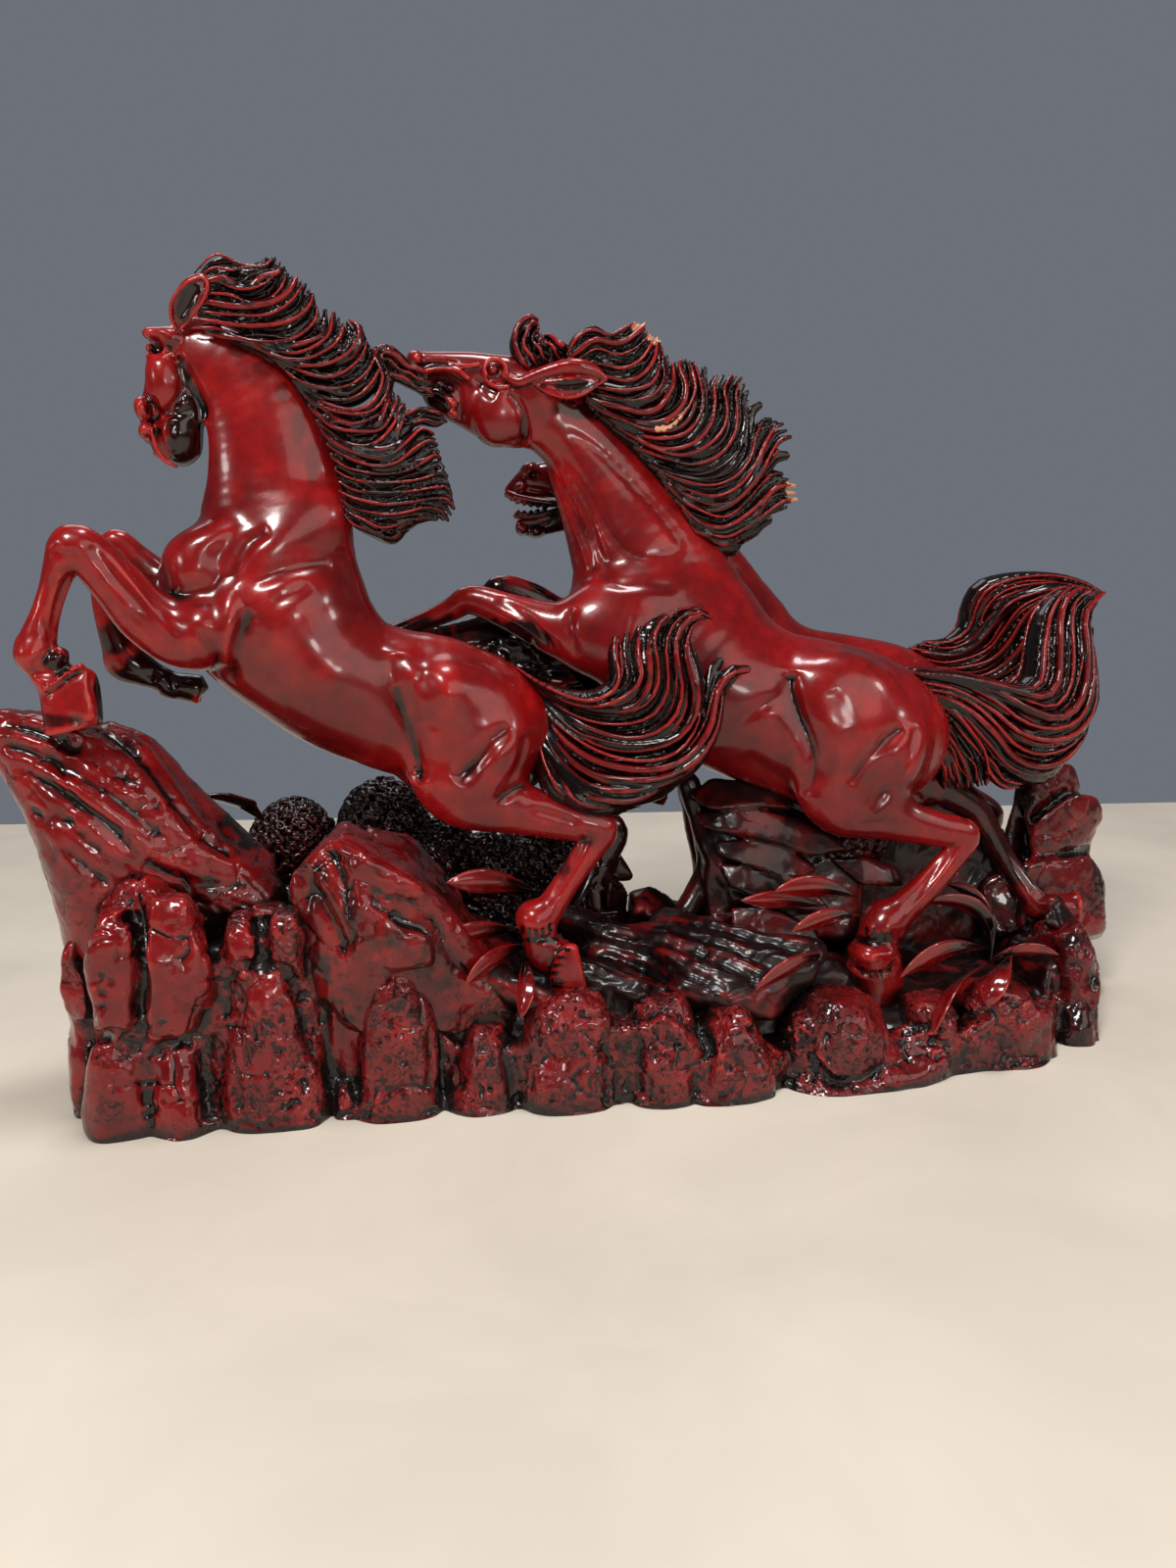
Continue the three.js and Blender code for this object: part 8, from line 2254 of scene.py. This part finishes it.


# painted shade mixed with thick black wash, per point: the listed patches, plus darker ground further in from both
# edges and darkened rocks
def wash_and_shade_of(name, v):
    out = np.zeros(len(v))
    for node, rows in WASH_AND_SHADE_PATCHES.items():
        if not name.startswith(node):
            continue
        U, V = picture_of(v)
        wob = noise3(v, 5.0, 77, 2) * 0.45
        for u, vv, y, ru, rv, ry, k in rows:
            d = np.sqrt(((U - u) / ru) ** 2 + ((V - vv) / rv) ** 2 + ((v[:, 1] - y) / ry) ** 2) + wob
            out = np.maximum(out, k * np.clip((1.25 - d) / 0.5, 0, 1))
        if not node.endswith(("_horse_head", "_horse_body", "_leg", "leg")):
            out = out * np.clip(0.62 + 1.5 * noise3(v, 4.5, 85, 4), 0.2, 1)
    # the ground is darker the further in it lies from the front and back edges: painted shade with wash
    if name.startswith("rock_base_ground"):
        fe = np.interp(v[:, 0], *zip(*FRONT_EDGE)); be = np.interp(v[:, 0], *zip(*BACK_EDGE))
        deep = np.minimum(v[:, 1] - fe - 5, (be - 13 - v[:, 1]) * 1.2) + noise3(v, 9.0, 78, 3) * 9
        out = np.maximum(out, np.clip(deep / 9, 0, 1) * np.clip(0.74 + 1.3 * noise3((v + [0, 0, 1] * v[:, :1] * 0.35) * [0.30, 0.9, 1.5], 5.0, 84, 4), 0.24, 0.97))
    if name.startswith("rock_base_front"):
        out = np.maximum(out, np.clip((v[:, 0] - 168) / 14, 0, 1) * np.clip(0.42 + 0.8 * noise3(v, 8.0, 83, 3), 0, 0.8))
    # saddle rock: painted shade with wash over all of it, weaker towards its back
    if name.startswith("saddle_rock"):
        out = np.maximum(out, np.clip(0.56 + 0.6 * noise3(v, 10.0, 79, 3), 0, 0.95) * np.clip((44 - v[:, 1]) / 20, 0.2, 1))
    if name.startswith("centre_rock"):
        out = np.maximum(out, np.clip(0.14 + 0.80 * noise3(v, 8.0, 81, 4), 0, 0.75))
    if name.startswith("left_crag"):
        out = np.maximum(out, np.clip(0.10 + 0.80 * noise3(v * [1.0, 1.0, 1.0], 7.0, 82, 4), 0, 0.6))
    if name.startswith("rear_rock"):
        out = np.maximum(out, np.clip(0.42 + 0.8 * noise3(v, 10.0, 80, 3), 0, 0.9))
    return out


def shade_all():
    # painted shade: how crowded by solid each point's surroundings are, and the listed patches of painted shade and
    # thick wash
    near, far = CROWD.blur(4.5), CROWD.blur(10.0)
    for o, v, n in SHADED:
        a = CROWD.sample(near, v + n * 5.5)
        b = CROWD.sample(far, v + n * 12.0)
        cave = np.clip((0.5 * a + 0.5 * b - 0.15) / 0.42, 0, 1)
        soot = wash_and_shade_of(o.name, v)
        at_ = o.data.attributes.new("cave", "FLOAT", "POINT")
        at_.data.foreach_set("value", cave.astype(np.float32))
        if soot.max() > 0:
            at_ = o.data.attributes.new("soot", "FLOAT", "POINT")
            at_.data.foreach_set("value", soot.astype(np.float32))


shade_all()

# ---- floor, backdrop, light and camera ------------------------------------------------------------
def plain(name, color, rough=0.8, scale=9.0, vary=0.06):
    N = Nodes(name)
    c0 = tuple(x * (1 - vary) for x in color); c1 = tuple(min(1, x * (1 + vary)) for x in color)
    N.link(N.ramp(N.noise(scale, 4, 0.6, 0.4), [(0.35, c0), (0.65, c1)]), N.b.inputs["Base Color"])
    N.b.inputs["Roughness"].default_value = rough
    N.b.inputs["Specular IOR Level"].default_value = 0.3
    return N.m


def sheet(name, corners, material):
    me = bpy.data.meshes.new(name)
    me.from_pydata(corners, [], [tuple(range(len(corners)))])
    me.materials.append(material)
    o = bpy.data.objects.new(name, me)
    bpy.context.scene.collection.objects.link(o)
    return o


# the pale table top ends behind the object; past it there is only the plain slate-grey surround
_f = Vector(CAM_F); _h = Vector((_f.x, _f.y, 0)).normalized(); _s = Vector((_h.y, -_h.x, 0))
_c = Vector(CAM_POS) * 0.001; _c.z = 0
_w = _c + _h * 0.899
_near = _c - _h * 3.0
floor = sheet("floor", [tuple(_near - _s * 5), tuple(_near + _s * 5), tuple(_w + _s * 5), tuple(_w - _s * 5)], plain("floor_pale", (0.74, 0.665, 0.565), 0.5))
floor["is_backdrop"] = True

world = bpy.data.worlds.new("studio")
bpy.context.scene.world = world
world.use_nodes = True
_wt = world.node_tree
bg = _wt.nodes["Background"]
bg.inputs["Color"].default_value = (0.93, 0.95, 1.0, 1)
bg.inputs["Strength"].default_value = 0.088
_seen = _wt.nodes.new("ShaderNodeBackground")
_seen.inputs["Color"].default_value = (0.150, 0.164, 0.192, 1)
_seen.inputs["Strength"].default_value = 1.0
_pick = _wt.nodes.new("ShaderNodeMixShader")
_ray = _wt.nodes.new("ShaderNodeLightPath")
_wt.links.new(_ray.outputs["Is Camera Ray"], _pick.inputs[0])
_wt.links.new(bg.outputs[0], _pick.inputs[1])
_wt.links.new(_seen.outputs[0], _pick.inputs[2])
_wt.links.new(_pick.outputs[0], _wt.nodes["World Output"].inputs["Surface"])


def lamp(name, place, target, size, power, color=(1, 1, 1), size_y=None):
    li = bpy.data.lights.new(name, "AREA")
    li.shape = "ELLIPSE"
    li.size = size
    li.size_y = size if size_y is None else size_y
    li.energy = power
    li.color = color
    o = bpy.data.objects.new(name, li)
    o.location = place
    d = Vector(target) - Vector(place)
    o.rotation_euler = d.to_track_quat("-Z", "Y").to_euler()
    bpy.context.scene.collection.objects.link(o)
    return o


lamp("key", (-0.50, -0.90, 1.15), (0, 0, 0.12), 0.40, 12.9, (1.0, 0.97, 0.92), 0.30)
lamp("fill", (0.95, -1.45, 0.85), (0, 0, 0.12), 1.60, 8.0, (1.0, 0.90, 0.82), 1.10)
lamp("top", (0.10, -0.10, 1.35), (0, 0, 0.1), 0.40, 6.4, (0.98, 0.98, 1.0), 0.28)
lamp("left", (-1.25, -0.70, 0.55), (0, 0, 0.08), 0.26, 2.2, (1.0, 0.97, 0.93), 0.20)
lamp("low", (0.30, -1.70, 0.42), (0, 0, 0.06), 0.24, 2.0, (1.0, 0.96, 0.92), 0.16)
lamp("right", (1.35, -0.65, 0.75), (0, 0, 0.08), 0.26, 2.3, (1.0, 0.97, 0.94), 0.20)

lamp("rear", (-0.30, 1.20, 1.60), (0, 0, 0.12), 1.30, 6.0, (0.98, 0.98, 1.0), 0.90)

cam_data = bpy.data.cameras.new("camera")
cam_data.sensor_fit = "AUTO"
cam_data.sensor_width = 36.0
cam_data.lens = 36.0 * FOCAL_PX / 1600.0
cam_data.clip_start = 0.01
cam_data.clip_end = 50.0
cam_data.dof.use_dof = False
camera = bpy.data.objects.new("camera", cam_data)
M = Matrix.Identity(4)
for _i in range(3):
    M[_i][0] = CAM_R[_i]; M[_i][1] = CAM_U[_i]; M[_i][2] = -CAM_F[_i]; M[_i][3] = CAM_POS[_i] * 0.001
camera.matrix_world = M
bpy.context.scene.collection.objects.link(camera)
bpy.context.scene.camera = camera
bpy.context.scene.view_settings.view_transform = "Standard"
bpy.context.scene.view_settings.look = "None"


def as_numbers(x):
    return [as_numbers(i) for i in x] if hasattr(x, "__len__") else float(x)


{"cad": as_numbers(CAD_BOX), "visual": as_numbers(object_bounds())}
